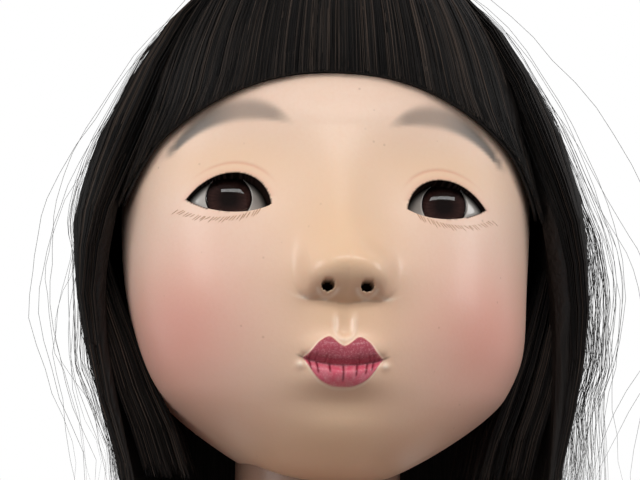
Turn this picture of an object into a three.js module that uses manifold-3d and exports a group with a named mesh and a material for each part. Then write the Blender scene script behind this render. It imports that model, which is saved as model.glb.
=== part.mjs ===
// An ichimatsu doll: a dressed Japanese play doll with a composition head, glass eyes, a wig of straight hair,
// stuffed upper limbs and a kimono. Millimetres, +Z up, the doll faces -Y and its left side is +X.
// The origin is on the floor, under the middle of the doll's overall box.
import * as THREE from "three";
import { mergeVertices } from "three/addons/utils/BufferGeometryUtils.js";
import Module from "manifold-3d";

const wasm = await Module();
wasm.setup();

// Driving dimensions

// Gaps between neighbours
const CLEARANCE = 0.4; // pieces that are glued, tied or laid on each other
const EYE_GAP = 0.15; // between the layers of a glass eye
const RUNNING_GAP = 0.6; // round what turns: the arm roots

// Heights of the body, stacked from the floor up
const SOLE_THICKNESS = 9;
const SHIN_LENGTH = 78;
const THIGH_LENGTH = 60;
const HIP_HEIGHT = 62;
const MIDRIFF_HEIGHT = 84;
const CHEST_HEIGHT = 72;
const NECK_LENGTH = 27; // from the chest block's top to the underside of the chin

// Widths and depths of the body, as half sizes
const CROTCH_HALF_WIDTH = 38;
const CROTCH_HALF_DEPTH = 30;
const HIP_HALF_WIDTH = 45;
const HIP_HALF_DEPTH = 35;
const WAIST_HALF_WIDTH = 39;
const WAIST_HALF_DEPTH = 31;
const CHEST_HALF_WIDTH = 43;
const CHEST_HALF_DEPTH = 32;
const SHOULDER_HALF_WIDTH = 46;
const SHOULDER_HALF_DEPTH = 27;
const SHOULDER_DROP = 18; // from the chest block's top down to the point of the shoulder
const NECK_SEAT_RADIUS = 22;
const NECK_SLOPE_HALF_DEPTH = 24; // of the slope between the shoulders and the neck
const BODY_SQUARENESS = 2.4; // exponent of the body's oval sections

// Neck
const NECK_RADIUS = 17.5;
const NECK_BASE_RADIUS = 20;
const NECK_IN_HEAD = 9; // how far the neck reaches into the head
const NECK_SETBACK = 4; // the neck's axis lies this far behind the head's middle
const PEG_RADIUS = 6;
const PEG_IN_NECK = 20;
const PEG_IN_CHEST = 26;

// Head, from its middle at the height of the eyes
const CHEEK_HALF_WIDTH = 42;
const SKULL_HALF_WIDTH = 44;
const FACE_DEPTH = 45;
const SKULL_DEPTH = 48;
const CHIN_DROP = 49;
const SKULL_RISE = 58;
const HEAD_ROUNDNESS = 2.3; // exponent of the head's rounded box
const HEAD_WALL = 5.5;

// Eyes
const EYE_SPACING = 39.4; // from the middle of one opening to the other
const EYE_WIDTH = 15.2;
const EYE_TOP = 4.6;
const EYE_BOTTOM = 3.1;
const EYE_INNER_DROP = 2.5; // the inner corner lies this far below the eye line
const EYE_OUTER_DROP = 0.6;
const EYE_RADIUS = 10.5;
const EYE_BACK = 3.5; // the flat back of the glass lies this far behind its middle
const EYE_INSET = 39.3; // the front of the glass, ahead of the head's middle
const IRIS_RADIUS = 4.5;
const IRIS_THICKNESS = 0.6;
const IRIS_DEPTH = 1.5; // depth of the pit that the iris lies in
const PUTTY_RADIUS = 13.5;

// Nose and mouth
const NOSE_HEIGHT = 7.6;
const NOSE_TIP_DROP = 11.5;
const NOSE_BASE_DROP = 17.5;
const NOSTRIL_SPACING = 7.2;
const NOSTRIL_RADIUS = 1.1;
const NOSTRIL_DEPTH = 5;
const MOUTH_DROP = 28.6;
const MOUTH_HALF_WIDTH = 8.4;

// Hair
const CAP_THICKNESS = 0.9;
const HAIR_HALF_WIDTH = 55;
const HAIR_FRONT = 49;
const HAIR_BACK = 59;
const HAIR_TOP = 67;
const HAIR_DROP = 70; // from the head's middle to the cut ends
const HAIR_END_THICKNESS = 5;
const HAIR_LOCK_DEPTH = 0.5; // depth of the grooves between locks
const FRINGE_INSET = 0.9; // the ends of the fringe lie this far inside the sides of the face
const FRINGE_RISE = 26; // the cut edge of the fringe above the head's middle
const FRINGE_ARCH = 13; // how much lower the fringe is at its two ends
const HAIR_LEFT_FLARE = 5; // the ends of the left side swing out by this much
const HAIR_RIGHT_TUCK = 10; // the ends of the right side turn in by this much

// Arms
const ARM_ROOT_RADIUS = 8.5;
const UPPER_ARM_LENGTH = 55;
const FOREARM_LENGTH = 45;
const ARM_SPLAY = 34; // degrees from hanging straight down
const ELBOW_RADIUS = 8;
const WRIST_RADIUS = 5.5;
const PALM_LENGTH = 14;
const PALM_HALF_WIDTH = 7.5;
const PALM_HALF_DEPTH = 4;
const FINGER_LENGTH = 15;
const FINGER_RADIUS = 1.9;
const FINGER_CURL = 2; // the fingertips lie this far inside the palm's plane
const THUMB_LENGTH = 12;

// Legs and feet
const LEG_SPACING = 37;
const THIGH_RADIUS = 16;
const KNEE_RADIUS = 13;
const ANKLE_RADIUS = 9;
const FOOT_LENGTH = 58;
const FOOT_HALF_WIDTH = 11;
const FOOT_HALF_HEIGHT = 10.5; // at the instep
const HEEL_REACH = 20; // the heel lies this far behind the body's middle
const TABI_THICKNESS = 1.2;
const TOE_SPLIT = 4.6;
const SANDAL_LENGTH = 76;
const SANDAL_HALF_WIDTH = 15.5;
const STRAP_RADIUS = 1.7;

// Kimono
const CLOTH_THICKNESS = 1.6;
const SKIRT_HEM_HEIGHT = 20;
const SKIRT_HALF_WIDTH = 51;
const SKIRT_HALF_DEPTH = 43;
const SKIRT_OVERLAP = 75; // degrees by which the left front lies over the right
const SKIRT_FOLD_DEPTH = 0.8;
const HEM_ROLL_RADIUS = 2.8;
const COLLAR_THICKNESS = 1.8;
const UNDER_COLLAR_RISE = 4;
const COLLAR_STAND = 20; // height over which the collar stands round the neck
const COLLAR_SIDE_FLARE = 2; // the stand opens by this much at the sides
const COLLAR_BACK_FLARE = 5; // and by this much at the front and the nape
const OBI_HEIGHT = 58;
const OBI_THICKNESS = 3;
const OBI_CORD_RADIUS = 2.4;
const OBI_SCARF_RADIUS = 3.4;
const BOW_HALF_SPAN = 50;
const BOW_HEIGHT = 44;
const BOW_DEPTH = 17;
const BOW_CLOTH = 2.4;
const BOW_DROOP = 10; // the tips of the loops hang this far below the knot
const KNOT_HALF_WIDTH = 8;
const TAIL_LENGTH = 62;
const TAIL_HALF_WIDTH = 20;
const TAIL_BULGE = 3; // the middle of the tail stands out by this much
const SLEEVE_LENGTH = 160; // from the wrist to the lower edge
const SLEEVE_HALF_THICKNESS = 3.2;
const SLEEVE_FOLD_DEPTH = 3; // the hanging part waves to and fro by this much
const SLEEVE_INNER_X = 57; // the hanging part clears the skirt

// Places worked out from the dimensions

const kneeZ = SOLE_THICKNESS + SHIN_LENGTH;
const crotchZ = kneeZ + THIGH_LENGTH;
const waistZ = crotchZ + HIP_HEIGHT;
const chestZ = waistZ + MIDRIFF_HEIGHT;
const neckZ = chestZ + CHEST_HEIGHT;
const chinZ = neckZ + NECK_LENGTH;
const headZ = chinZ + CHIN_DROP;
const shoulderZ = neckZ - SHOULDER_DROP;
const obiTopZ = chestZ;
const obiBottomZ = obiTopZ - OBI_HEIGHT;
const cordZ = obiTopZ - OBI_HEIGHT / 2;

// How far each layer of clothing lies outside the body
const layerStep = CLOTH_THICKNESS + CLEARANCE;
const bodiceInner = 2 * CLEARANCE;
const bodiceOuter = bodiceInner + CLOTH_THICKNESS;
const underCollarInner = bodiceInner;
const underCollarOuter = underCollarInner + COLLAR_THICKNESS;
const collarInner = Math.max(underCollarOuter, bodiceOuter) + CLEARANCE;
const collarOuter = collarInner + COLLAR_THICKNESS;
const skirtInner = 2 * CLEARANCE;
const obiInner = skirtInner + 2 * layerStep + CLEARANCE;
const obiOuter = obiInner + OBI_THICKNESS;

const degrees = THREE.MathUtils.degToRad;
const mix = THREE.MathUtils.lerp;
const smooth = THREE.MathUtils.smoothstep;
const point = (x, y, z) => new THREE.Vector3(x, y, z);

// Mesh building

// A closed geometry from points and triangles, turned so that its faces point out.
function closedGeometry(points, triangles) {
  const across = new THREE.Vector3();
  let volume = 0;
  for (const [a, b, c] of triangles) {
    volume += points[a].dot(across.crossVectors(points[b], points[c]));
  }
  const index = triangles.flatMap(([a, b, c]) => (volume < 0 ? [a, c, b] : [a, b, c]));
  return new THREE.BufferGeometry().setFromPoints(points).setIndex(index);
}

// A sheet with a thickness, between an outer and an inner grid of points. A cyclic sheet joins its last column
// to its first, as a skirt or a sash does.
function thickSheet(outer, inner, cyclic = false) {
  const columns = outer.length;
  const rows = outer[0].length;
  const points = [...outer.flat(), ...inner.flat()];
  const o = (i, j) => (i % columns) * rows + j;
  const n = (i, j) => columns * rows + o(i, j);
  const triangles = [];
  const quad = (a, b, c, d) => triangles.push([a, b, c], [a, c, d]);
  const spans = cyclic ? columns : columns - 1;
  for (let i = 0; i < spans; i++) {
    for (let j = 0; j < rows - 1; j++) {
      quad(o(i, j), o(i + 1, j), o(i + 1, j + 1), o(i, j + 1));
      quad(n(i, j + 1), n(i + 1, j + 1), n(i + 1, j), n(i, j));
    }
    quad(o(i + 1, 0), o(i, 0), n(i, 0), n(i + 1, 0));
    quad(o(i, rows - 1), o(i + 1, rows - 1), n(i + 1, rows - 1), n(i, rows - 1));
  }
  if (!cyclic) {
    const last = columns - 1;
    for (let j = 0; j < rows - 1; j++) {
      quad(o(0, j), o(0, j + 1), n(0, j + 1), n(0, j));
      quad(o(last, j + 1), o(last, j), n(last, j), n(last, j + 1));
    }
  }
  return closedGeometry(points, triangles);
}

// A solid through a stack of closed rings, with a flat cap at each end.
function loft(rings) {
  const count = rings[0].length;
  const points = rings.flat();
  const middle = (ring) => ring.reduce((sum, p) => sum.add(p), point(0, 0, 0)).divideScalar(count);
  const first = points.push(middle(rings[0])) - 1;
  const last = points.push(middle(rings.at(-1))) - 1;
  const at = (k, i) => k * count + (i % count);
  const triangles = [];
  for (let i = 0; i < count; i++) {
    for (let k = 0; k < rings.length - 1; k++) {
      triangles.push([at(k, i), at(k, i + 1), at(k + 1, i + 1)], [at(k, i), at(k + 1, i + 1), at(k + 1, i)]);
    }
    const end = rings.length - 1;
    triangles.push([first, at(0, i + 1), at(0, i)], [last, at(end, i), at(end, i + 1)]);
  }
  return closedGeometry(points, triangles);
}

// A point of a rounded oval: angle 0 is the front (-Y) and 90 degrees is the doll's left (+X).
function ovalPoint(angle, halfWidth, halfDepth, squareness = BODY_SQUARENESS) {
  const s = Math.sin(angle);
  const c = Math.cos(angle);
  const sum = Math.abs(s / halfWidth) ** squareness + Math.abs(c / halfDepth) ** squareness;
  const size = sum ** (-1 / squareness);
  return { x: s * size, y: -c * size };
}

// A solid turned about the vertical axis from a profile of [radius, height] pairs.
function turned(profile, segments = 20) {
  const outline = profile.map(([radius, height]) => new THREE.Vector2(radius, height));
  return new THREE.LatheGeometry(outline, segments).rotateX(Math.PI / 2);
}

// A limb through points with a radius at each, its ends rounded off.
function limb(path, radii, sides = 12) {
  const END_STEPS = [0.7];
  const along = new THREE.Vector3();
  const rings = [];
  const ring = (centre, direction, radius) => {
    const turn = new THREE.Quaternion().setFromUnitVectors(point(0, 0, 1), direction);
    return Array.from({ length: sides }, (_, i) => {
      const angle = (2 * Math.PI * i) / sides;
      const spoke = point(radius * Math.cos(angle), radius * Math.sin(angle), 0);
      return spoke.applyQuaternion(turn).add(centre);
    });
  };
  path.forEach((here, k) => {
    along.subVectors(path[Math.min(k + 1, path.length - 1)], path[Math.max(k - 1, 0)]).normalize();
    const direction = along.clone();
    const cap = (share, side) => {
      const centre = here.clone().addScaledVector(direction, side * radii[k] * share * 0.6);
      return ring(centre, direction, radii[k] * Math.sqrt(1 - share ** 2));
    };
    if (k === 0) END_STEPS.toReversed().forEach((share) => rings.push(cap(share, -1)));
    rings.push(ring(here, direction, radii[k]));
    if (k === path.length - 1) END_STEPS.forEach((share) => rings.push(cap(share, 1)));
  });
  return loft(rings);
}

// A round cord along a smooth curve through points.
function tube(points, radius, steps = 7, sides = 6) {
  const path = new THREE.CatmullRomCurve3(points).getPoints(steps);
  return limb(path, path.map(() => radius), sides);
}

// A geometry as a solid that can be joined and cut.
function solid(geometry) {
  const bare = geometry.clone();
  bare.deleteAttribute("normal");
  bare.deleteAttribute("uv");
  const merged = mergeVertices(bare, 1e-4);
  return new wasm.Manifold(
    new wasm.Mesh({
      numProp: 3,
      vertProperties: new Float32Array(merged.attributes.position.array),
      triVerts: new Uint32Array(merged.index.array),
    }),
  );
}

// The geometry of a solid that was joined or cut.
function geometryOf(made) {
  const mesh = made.getMesh();
  return new THREE.BufferGeometry()
    .setAttribute("position", new THREE.BufferAttribute(new Float32Array(mesh.vertProperties), 3))
    .setIndex(new THREE.BufferAttribute(new Uint32Array(mesh.triVerts), 1));
}

// The largest of the bodies that a cut leaves.
const largestBody = (made) => made.decompose().reduce((a, b) => (a.volume() > b.volume() ? a : b));

function ball(radius, centre, segments = 20) {
  return solid(new THREE.SphereGeometry(radius, segments, Math.round(segments * 0.7)).translate(...centre));
}

// A cylinder between two points.
function rod(start, end, radius, sides = 16) {
  const direction = end.clone().sub(start);
  const turn = new THREE.Quaternion().setFromUnitVectors(point(0, 1, 0), direction.clone().normalize());
  const middle = start.clone().add(end).multiplyScalar(0.5);
  return solid(
    new THREE.CylinderGeometry(radius, radius, direction.length(), sides)
      .applyQuaternion(turn)
      .translate(middle.x, middle.y, middle.z),
  );
}

// Finishes

const finish = (color, roughness) => new THREE.MeshStandardMaterial({ color, roughness, metalness: 0 });
const shellWhiteFinish = finish(0xe9cbbb, 0.4);
const woodFinish = finish(0xb98f62, 0.7);
const clothFinish = finish(0xe4dccb, 0.9);
const glassWhiteFinish = finish(0xd8d2c8, 0.1);
const irisFinish = finish(0x2e1a14, 0.3);
const clearGlassFinish = finish(0xf4f4f4, 0.02);
const puttyFinish = finish(0xcfc4ae, 0.9);
const hairFinish = finish(0x14110f, 0.45);
const kimonoFinish = finish(0xa3202c, 0.75);
const liningFinish = finish(0xd9c7a5, 0.8);
const whiteClothFinish = finish(0xf2eee6, 0.8);
const obiFinish = finish(0xc79a3c, 0.55);
const cordFinish = finish(0x2f6a4f, 0.7);
const scarfFinish = finish(0xe7a9b4, 0.8);
const sandalFinish = finish(0x8d1f29, 0.4);

const doll = new THREE.Group();

// Adds one named piece to the doll.
function addPiece(name, geometry, material) {
  const mesh = new THREE.Mesh(geometry, material);
  mesh.name = name;
  doll.add(mesh);
}

// Head

// The head's plain rounded form: distance from its middle along a direction.
function skullRadius(x, y, z) {
  const halfWidth = mix(CHEEK_HALF_WIDTH, SKULL_HALF_WIDTH, smooth(z, -0.5, 0.5));
  const depth = y < 0 ? FACE_DEPTH : SKULL_DEPTH;
  const height = z < 0 ? CHIN_DROP : SKULL_RISE;
  const n = HEAD_ROUNDNESS;
  return (Math.abs(x / halfWidth) ** n + Math.abs(y / depth) ** n + Math.abs(z / height) ** n) ** (-1 / n);
}

const direction = (azimuth, elevation) =>
  point(
    Math.cos(elevation) * Math.sin(azimuth),
    -Math.cos(elevation) * Math.cos(azimuth),
    Math.sin(elevation),
  );

// A soft bump in the front view, 1 at its middle.
const bump = (x, z, atX, atZ, spreadX, spreadZ) =>
  Math.exp(-(((x - atX) / spreadX) ** 2 + ((z - atZ) / spreadZ) ** 2) / 2);

// How far the nose stands out of the face.
function noseRelief(x, z) {
  const bridge = smooth(z, -NOSE_TIP_DROP, NOSE_TIP_DROP + 3);
  const under = smooth(z, -NOSE_BASE_DROP, -NOSE_TIP_DROP - 1.5);
  const height = NOSE_HEIGHT * under * (1 - bridge) ** 1.6;
  const spread = mix(4.6, 3.4, smooth(z, -NOSE_TIP_DROP, 2));
  const wings = 3.2 * bump(Math.abs(x), z, 6.2, -NOSE_BASE_DROP + 3, 2.4, 2.6) * under;
  return height * Math.exp(-(Math.abs(x / spread) ** 2.2) / 1.7) + wings;
}

// How far the lips stand out of the face, with the groove between them.
function lipRelief(x, z) {
  const side = Math.abs(x);
  const upper = 1.7 * bump(side, z, 3.1, -MOUTH_DROP + 2.6, 3.2, 1.7);
  const lower = 2 * bump(x, z, 0, -MOUTH_DROP - 2.7, 4.6, 1.9);
  const line = bump(0, z, 0, -MOUTH_DROP, 1, 0.6) * (1 - smooth(side, MOUTH_HALF_WIDTH - 2, MOUTH_HALF_WIDTH));
  const groove = bump(x, z, 0, -MOUTH_DROP + 7, 1.3, 2.2);
  return upper + lower - 1.6 * line - 0.6 * groove;
}

// How far the whole face stands out of the plain head form.
function faceRelief(x, z) {
  const side = Math.abs(x);
  const cheeks = 2.4 * bump(side, z, 23, -19, 11, 12);
  const chin = 3 * bump(x, z, 0, -43, 10, 6.5);
  const muzzle = 2.2 * bump(x, z, 0, -MOUTH_DROP + 1, 10, 7.5);
  const forehead = 1.2 * bump(x, z, 0, 17, 20, 7);
  const sockets = 2.4 * bump(side, z, EYE_SPACING / 2 - 3, 5, 8, 7);
  const lids = 1.5 * bump(side, z, EYE_SPACING / 2, 0.5, 9, 5.5);
  const underLip = 1.3 * bump(x, z, 0, -MOUTH_DROP - 7.4, 6.5, 2);
  return cheeks + chin + muzzle + forehead - sockets + lids - underLip + noseRelief(x, z) + lipRelief(x, z);
}

// A point of the head's surface about its own middle, pulled in by a depth.
function headPoint(azimuth, elevation, depth = 0, withFace = true) {
  const d = direction(azimuth, elevation);
  const p = d.clone().multiplyScalar(skullRadius(d.x, d.y, d.z) - depth);
  if (withFace) p.y -= faceRelief(p.x, p.z) * smooth(-d.y, 0.1, 0.45);
  return p;
}

// Angles from -180 to 180 degrees, closer together near the front.
function frontWeightedAngles(count, crowding) {
  return Array.from({ length: count }, (_, i) => {
    const t = (2 * i) / count - 1;
    return Math.PI * Math.sign(t) * mix(Math.abs(t), Math.abs(t) ** 2, crowding);
  });
}

// The closed surface of the head, or of the hollow inside it.
function headGeometry(columns, rows, depth, withFace) {
  const azimuths = frontWeightedAngles(columns, withFace ? 0.75 : 0);
  const rings = Array.from({ length: rows }, (_, k) => {
    const t = ((k + 0.5) / rows) * 2 - 1;
    const elevation = (Math.PI / 2) * (withFace ? mix(t, t ** 3, 0.45) : t);
    return azimuths.map((azimuth) => headPoint(azimuth, elevation, depth, withFace));
  });
  return loft(rings);
}

const SKULL_COLUMNS = 24;
const SKULL_ROWS = 14;
const HOLLOW_COLUMNS = 16;
const HOLLOW_ROWS = 10;

const eyeX = EYE_SPACING / 2;
const eyeY = EYE_RADIUS - EYE_INSET;
const sides = [
  { name: "left", sign: 1 },
  { name: "right", sign: -1 },
];

// A bar through the face with the outline of one eye opening.
function eyeOpening(sign) {
  const inner = eyeX - EYE_WIDTH / 2;
  const outer = eyeX + EYE_WIDTH / 2;
  const across = (share) => mix(inner, outer, share);
  const shape = new THREE.Shape();
  shape.moveTo(inner, -EYE_INNER_DROP);
  shape.bezierCurveTo(across(0.05), EYE_TOP * 1.15, across(0.62), EYE_TOP * 1.75, outer, -EYE_OUTER_DROP);
  const low = -EYE_BOTTOM;
  shape.bezierCurveTo(across(0.72), low * 1.05, across(0.29), low * 1.27, inner, -EYE_INNER_DROP);
  const length = FACE_DEPTH + NOSE_HEIGHT + eyeY;
  const bar = new THREE.ExtrudeGeometry(shape, { depth: length, bevelEnabled: false, curveSegments: 9 });
  bar.rotateX(Math.PI / 2).translate(0, eyeY, 0);
  return sign > 0 ? solid(bar) : solid(bar).mirror([1, 0, 0]);
}

// A blind hole up into the underside of the nose.
function nostril(sign) {
  const x = (sign * NOSTRIL_SPACING) / 2;
  const y = -FACE_DEPTH + 1;
  const base = -NOSE_BASE_DROP + 0.5;
  return rod(point(x, y - 1.4, base - 4), point(x, y, base + NOSTRIL_DEPTH), NOSTRIL_RADIUS, 10);
}

// A large block that lies wholly on one side of the head's seam, which runs over the ears.
function halfSpace(front) {
  const size = 4 * SKULL_RISE;
  const shift = size / 2 + CLEARANCE / 2;
  return solid(new THREE.BoxGeometry(size, size, size).translate(0, front ? -shift : shift, 0));
}

function addHead() {
  const hollow = solid(headGeometry(HOLLOW_COLUMNS, HOLLOW_ROWS, HEAD_WALL, false));
  const neckHole = rod(
    point(0, NECK_SETBACK, -2 * CHIN_DROP),
    point(0, NECK_SETBACK, 0),
    NECK_RADIUS + CLEARANCE,
    20,
  );
  const inside = hollow.add(neckHole);
  let face = solid(headGeometry(34, 32, 0, true)).subtract(inside);
  for (const { sign } of sides) {
    face = face.subtract(eyeOpening(sign)).subtract(nostril(sign));
    face = face.subtract(ball(EYE_RADIUS + CLEARANCE, [sign * eyeX, eyeY, 0], 18));
  }
  const skull = solid(headGeometry(SKULL_COLUMNS, SKULL_ROWS, 0, false)).subtract(inside);
  const place = (made) => geometryOf(made.translate([0, 0, headZ]));
  addPiece("face_shell", place(face.intersect(halfSpace(true))), shellWhiteFinish);
  addPiece("skull_shell", place(skull.intersect(halfSpace(false))), shellWhiteFinish);
}

// One glass eye: white glass with a pit in front, the coloured iris in the pit and clear glass over it.
function addEye({ name, sign }) {
  const pitRadius = IRIS_RADIUS + EYE_GAP;
  const rim = Math.sqrt(EYE_RADIUS ** 2 - pitRadius ** 2);
  const floor = rim - IRIS_DEPTH;
  const arc = (from, to, steps) =>
    Array.from({ length: steps + 1 }, (_, i) => {
      const angle = mix(from, to, i / steps);
      return [EYE_RADIUS * Math.cos(angle), EYE_RADIUS * Math.sin(angle)];
    });
  const backAngle = -Math.asin(EYE_BACK / EYE_RADIUS);
  const frontAngle = Math.asin(rim / EYE_RADIUS);
  const irisBack = floor + EYE_GAP;
  const irisFront = irisBack + IRIS_THICKNESS;
  const corneaAngle = Math.acos(IRIS_RADIUS / EYE_RADIUS);
  const facing = (profile) =>
    turned(profile, 16)
      .rotateX(Math.PI / 2)
      .translate(sign * eyeX, eyeY, headZ);
  addPiece(
    `${name}_eye_white`,
    facing([[0, -EYE_BACK], ...arc(backAngle, frontAngle, 6), [pitRadius, floor], [0, floor]]),
    glassWhiteFinish,
  );
  addPiece(
    `${name}_iris`,
    facing([[0, irisBack], [IRIS_RADIUS, irisBack], [IRIS_RADIUS, irisFront], [0, irisFront]]),
    irisFinish,
  );
  const corneaBack = irisFront + EYE_GAP;
  const dome = arc(corneaAngle, Math.PI / 2, 4).map(([radius, height]) => [Math.max(radius, 0), height]);
  dome.at(-1)[0] = 0;
  addPiece(
    `${name}_cornea`,
    facing([[0, corneaBack], [IRIS_RADIUS, corneaBack], ...dome]),
    clearGlassFinish,
  );
}

// The dab of putty behind an eye, pressed against the wall of the head.
function addEyePutty({ name, sign }) {
  const hollow = solid(headGeometry(HOLLOW_COLUMNS, HOLLOW_ROWS, HEAD_WALL + CLEARANCE, false));
  const eye = ball(EYE_RADIUS + 2 * CLEARANCE, [sign * eyeX, eyeY, 0], 10);
  const dab = ball(PUTTY_RADIUS, [sign * (eyeX + 1), eyeY + 3, 0], 8);
  const putty = dab.intersect(hollow).subtract(eye);
  addPiece(`${name}_eye_putty`, geometryOf(largestBody(putty).translate([0, 0, headZ])), puttyFinish);
}

function addNeck() {
  const bore = PEG_RADIUS + CLEARANCE / 2;
  const top = chinZ + NECK_IN_HEAD;
  const bottom = neckZ + CLEARANCE;
  const boreTop = bottom + PEG_IN_NECK;
  const neck = turned(
    [
      [0, boreTop],
      [bore, boreTop],
      [bore, bottom],
      [NECK_BASE_RADIUS, bottom],
      [NECK_BASE_RADIUS - 1.5, mix(bottom, chinZ, 0.35)],
      [NECK_RADIUS, mix(bottom, chinZ, 0.75)],
      [NECK_RADIUS, top],
      [0, top],
    ],
    20,
  );
  addPiece("neck", neck.translate(0, NECK_SETBACK, 0), shellWhiteFinish);
  const peg = turned([
    [0, neckZ - PEG_IN_CHEST],
    [PEG_RADIUS, neckZ - PEG_IN_CHEST],
    [PEG_RADIUS, boreTop - CLEARANCE],
    [0, boreTop - CLEARANCE],
  ]);
  addPiece("neck_peg", peg.translate(0, NECK_SETBACK, 0), woodFinish);
}

// Wig

// A point of the skull's plain form, pushed out by a distance.
const skullPoint = (azimuth, elevation, out) => headPoint(azimuth, elevation, -out, false);

const capInner = 2 * CLEARANCE;
const capOuter = capInner + CAP_THICKNESS;
const hairInner = capOuter + 2 * CLEARANCE;

// A point of the hair's outer form at an elevation, or a drop below the head's middle for the hanging part.
function hairPoint(azimuth, elevation, inward, drop = 0) {
  const d = direction(azimuth, elevation);
  const n = HEAD_ROUNDNESS;
  const depth = d.y < 0 ? HAIR_FRONT : HAIR_BACK;
  const level = Math.abs(d.x / HAIR_HALF_WIDTH) ** n + Math.abs(d.y / depth) ** n;
  const size = (level + Math.abs(d.z / HAIR_TOP) ** n) ** (-1 / n);
  const p = d.clone().multiplyScalar(size - inward);
  const share = drop / HAIR_DROP;
  const swing = p.x > 0 ? HAIR_LEFT_FLARE : -HAIR_RIGHT_TUCK;
  p.x += swing * Math.sign(p.x) * share ** 2 * Math.abs(Math.sin(azimuth));
  p.z -= drop;
  return p;
}

// The angle in the first quarter turn up to which a test holds, found by halving.
function angleUpTo(holds) {
  const HALVINGS = 30;
  let low = 0;
  let high = Math.PI / 2;
  for (let step = 0; step < HALVINGS; step++) {
    const middle = (low + high) / 2;
    if (holds(middle)) low = middle;
    else high = middle;
  }
  return low;
}

// The elevation at which the hair's outer form reaches a height above the head's middle.
const hairElevation = (azimuth, height) => angleUpTo((angle) => hairPoint(azimuth, angle, 0).z < height);

// The azimuth of the fringe's lowest points, which lie level with the sides of the face.
const fringeHalfAngle = angleUpTo((azimuth) => {
  const end = hairPoint(azimuth, hairElevation(azimuth, FRINGE_RISE - FRINGE_ARCH), 0);
  return end.x < (CHEEK_HALF_WIDTH + SKULL_HALF_WIDTH) / 2 - FRINGE_INSET;
});

const CROWN_EDGE = degrees(60); // the panels of hair start below the crown
const crownGap = CLEARANCE / HAIR_TOP;
const panelGap = CLEARANCE / HAIR_HALF_WIDTH;
const lockWave = (azimuth) => HAIR_LOCK_DEPTH * (0.5 + 0.5 * Math.cos(azimuth * 48));

// The inner side of the hair lies on the wig cap over the skull.
function hairThickness(azimuth, elevation) {
  const skull = skullPoint(azimuth, elevation, hairInner).length();
  return hairPoint(azimuth, elevation, 0).length() - skull;
}

// The cap covers the skull above a slanting edge, from the hairline down to the nape.
function addWigCap() {
  const EDGE_FRONT = 40;
  const EDGE_BACK = -20;
  const cap = solid(headGeometry(SKULL_COLUMNS, SKULL_ROWS, -capOuter, false)).subtract(
    solid(headGeometry(SKULL_COLUMNS, SKULL_ROWS, -capInner, false)),
  );
  const size = 6 * SKULL_RISE;
  const slant = Math.atan2(EDGE_FRONT - EDGE_BACK, FACE_DEPTH + SKULL_DEPTH);
  const above = new THREE.BoxGeometry(size, size, size)
    .translate(0, 0, size / 2)
    .rotateX(-slant)
    .translate(0, 0, (EDGE_FRONT + EDGE_BACK) / 2);
  addPiece("wig_cap", geometryOf(cap.intersect(solid(above)).translate([0, 0, headZ])), hairFinish);
}

function addCrownHair() {
  const azimuths = frontWeightedAngles(20, 0);
  const elevations = [0, 0.35, 0.7, 0.97].map((t) => mix(CROWN_EDGE, Math.PI / 2, t));
  const rings = (at) => elevations.map((elevation) => azimuths.map((azimuth) => at(azimuth, elevation)));
  const outer = rings((azimuth, elevation) => hairPoint(azimuth, elevation, 0));
  const inner = rings((azimuth, elevation) => skullPoint(azimuth, elevation, hairInner));
  const below = inner[0].map((p) => p.clone().setZ(p.z - HEAD_WALL));
  const crown = solid(loft(outer)).subtract(solid(loft([below, ...inner])));
  addPiece("hair_crown", geometryOf(crown.translate([0, 0, headZ])), hairFinish);
}

// The fringe hangs over the forehead and ends in an arched cut.
function addFringe() {
  const COLUMNS = 16;
  const columns = (thickness) =>
    Array.from({ length: COLUMNS }, (_, i) => {
      const share = (2 * i) / (COLUMNS - 1) - 1;
      const azimuth = fringeHalfAngle * share;
      const low = hairElevation(azimuth, FRINGE_RISE - FRINGE_ARCH * share ** 2);
      const high = CROWN_EDGE - crownGap;
      return [0, 0.2, 0.45, 0.7, 1].map((t) => {
        const elevation = mix(low, high, t);
        const inward = thickness ? hairThickness(azimuth, elevation) : lockWave(azimuth);
        return hairPoint(azimuth, elevation, inward);
      });
    });
  addPiece("hair_fringe", thickSheet(columns(false), columns(true)).translate(0, 0, headZ), hairFinish);
}

// A panel of long hair between two azimuths, from the crown to the cut ends. The front edge may step back
// below the fringe, to clear the cheek.
function hairPanel(fromTop, fromBottom, to, count) {
  const high = CROWN_EDGE - crownGap;
  const rows = [
    ...[1, 0.8, 0.6, 0.4, 0.2].map((t) => ({ elevation: high * t, drop: 0 })),
    ...[0, 0.35, 0.7, 1].map((t) => ({ elevation: 0, drop: HAIR_DROP * t })),
  ];
  const columns = (inside) =>
    Array.from({ length: count }, (_, i) =>
      rows.map(({ elevation, drop }) => {
        const height = hairPoint(to, elevation, 0).z;
        const from = mix(fromBottom, fromTop, smooth(height, 1, FRINGE_RISE - FRINGE_ARCH + 1));
        const azimuth = mix(from, to, i / (count - 1));
        const full = hairThickness(azimuth, elevation);
        const thickness = mix(full, Math.min(full, HAIR_END_THICKNESS), drop / HAIR_DROP);
        return hairPoint(azimuth, elevation, inside ? thickness : lockWave(azimuth), drop);
      }),
    );
  return thickSheet(columns(false), columns(true)).translate(0, 0, headZ);
}

function addLongHair() {
  const SIDE_FRONT_LOW = 80;
  const SIDE_BACK = 118;
  const top = fringeHalfAngle + panelGap;
  const low = degrees(SIDE_FRONT_LOW);
  const back = degrees(SIDE_BACK);
  addPiece("hair_left", hairPanel(top, low, back, 10), hairFinish);
  addPiece("hair_right", hairPanel(-top, -low, -back, 10), hairFinish);
  const behind = back + panelGap;
  addPiece("hair_back", hairPanel(behind, behind, 2 * Math.PI - behind, 15), hairFinish);
}

// Body

const neckSlopeHalfWidth = mix(SHOULDER_HALF_WIDTH, NECK_SEAT_RADIUS, 0.45);

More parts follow.
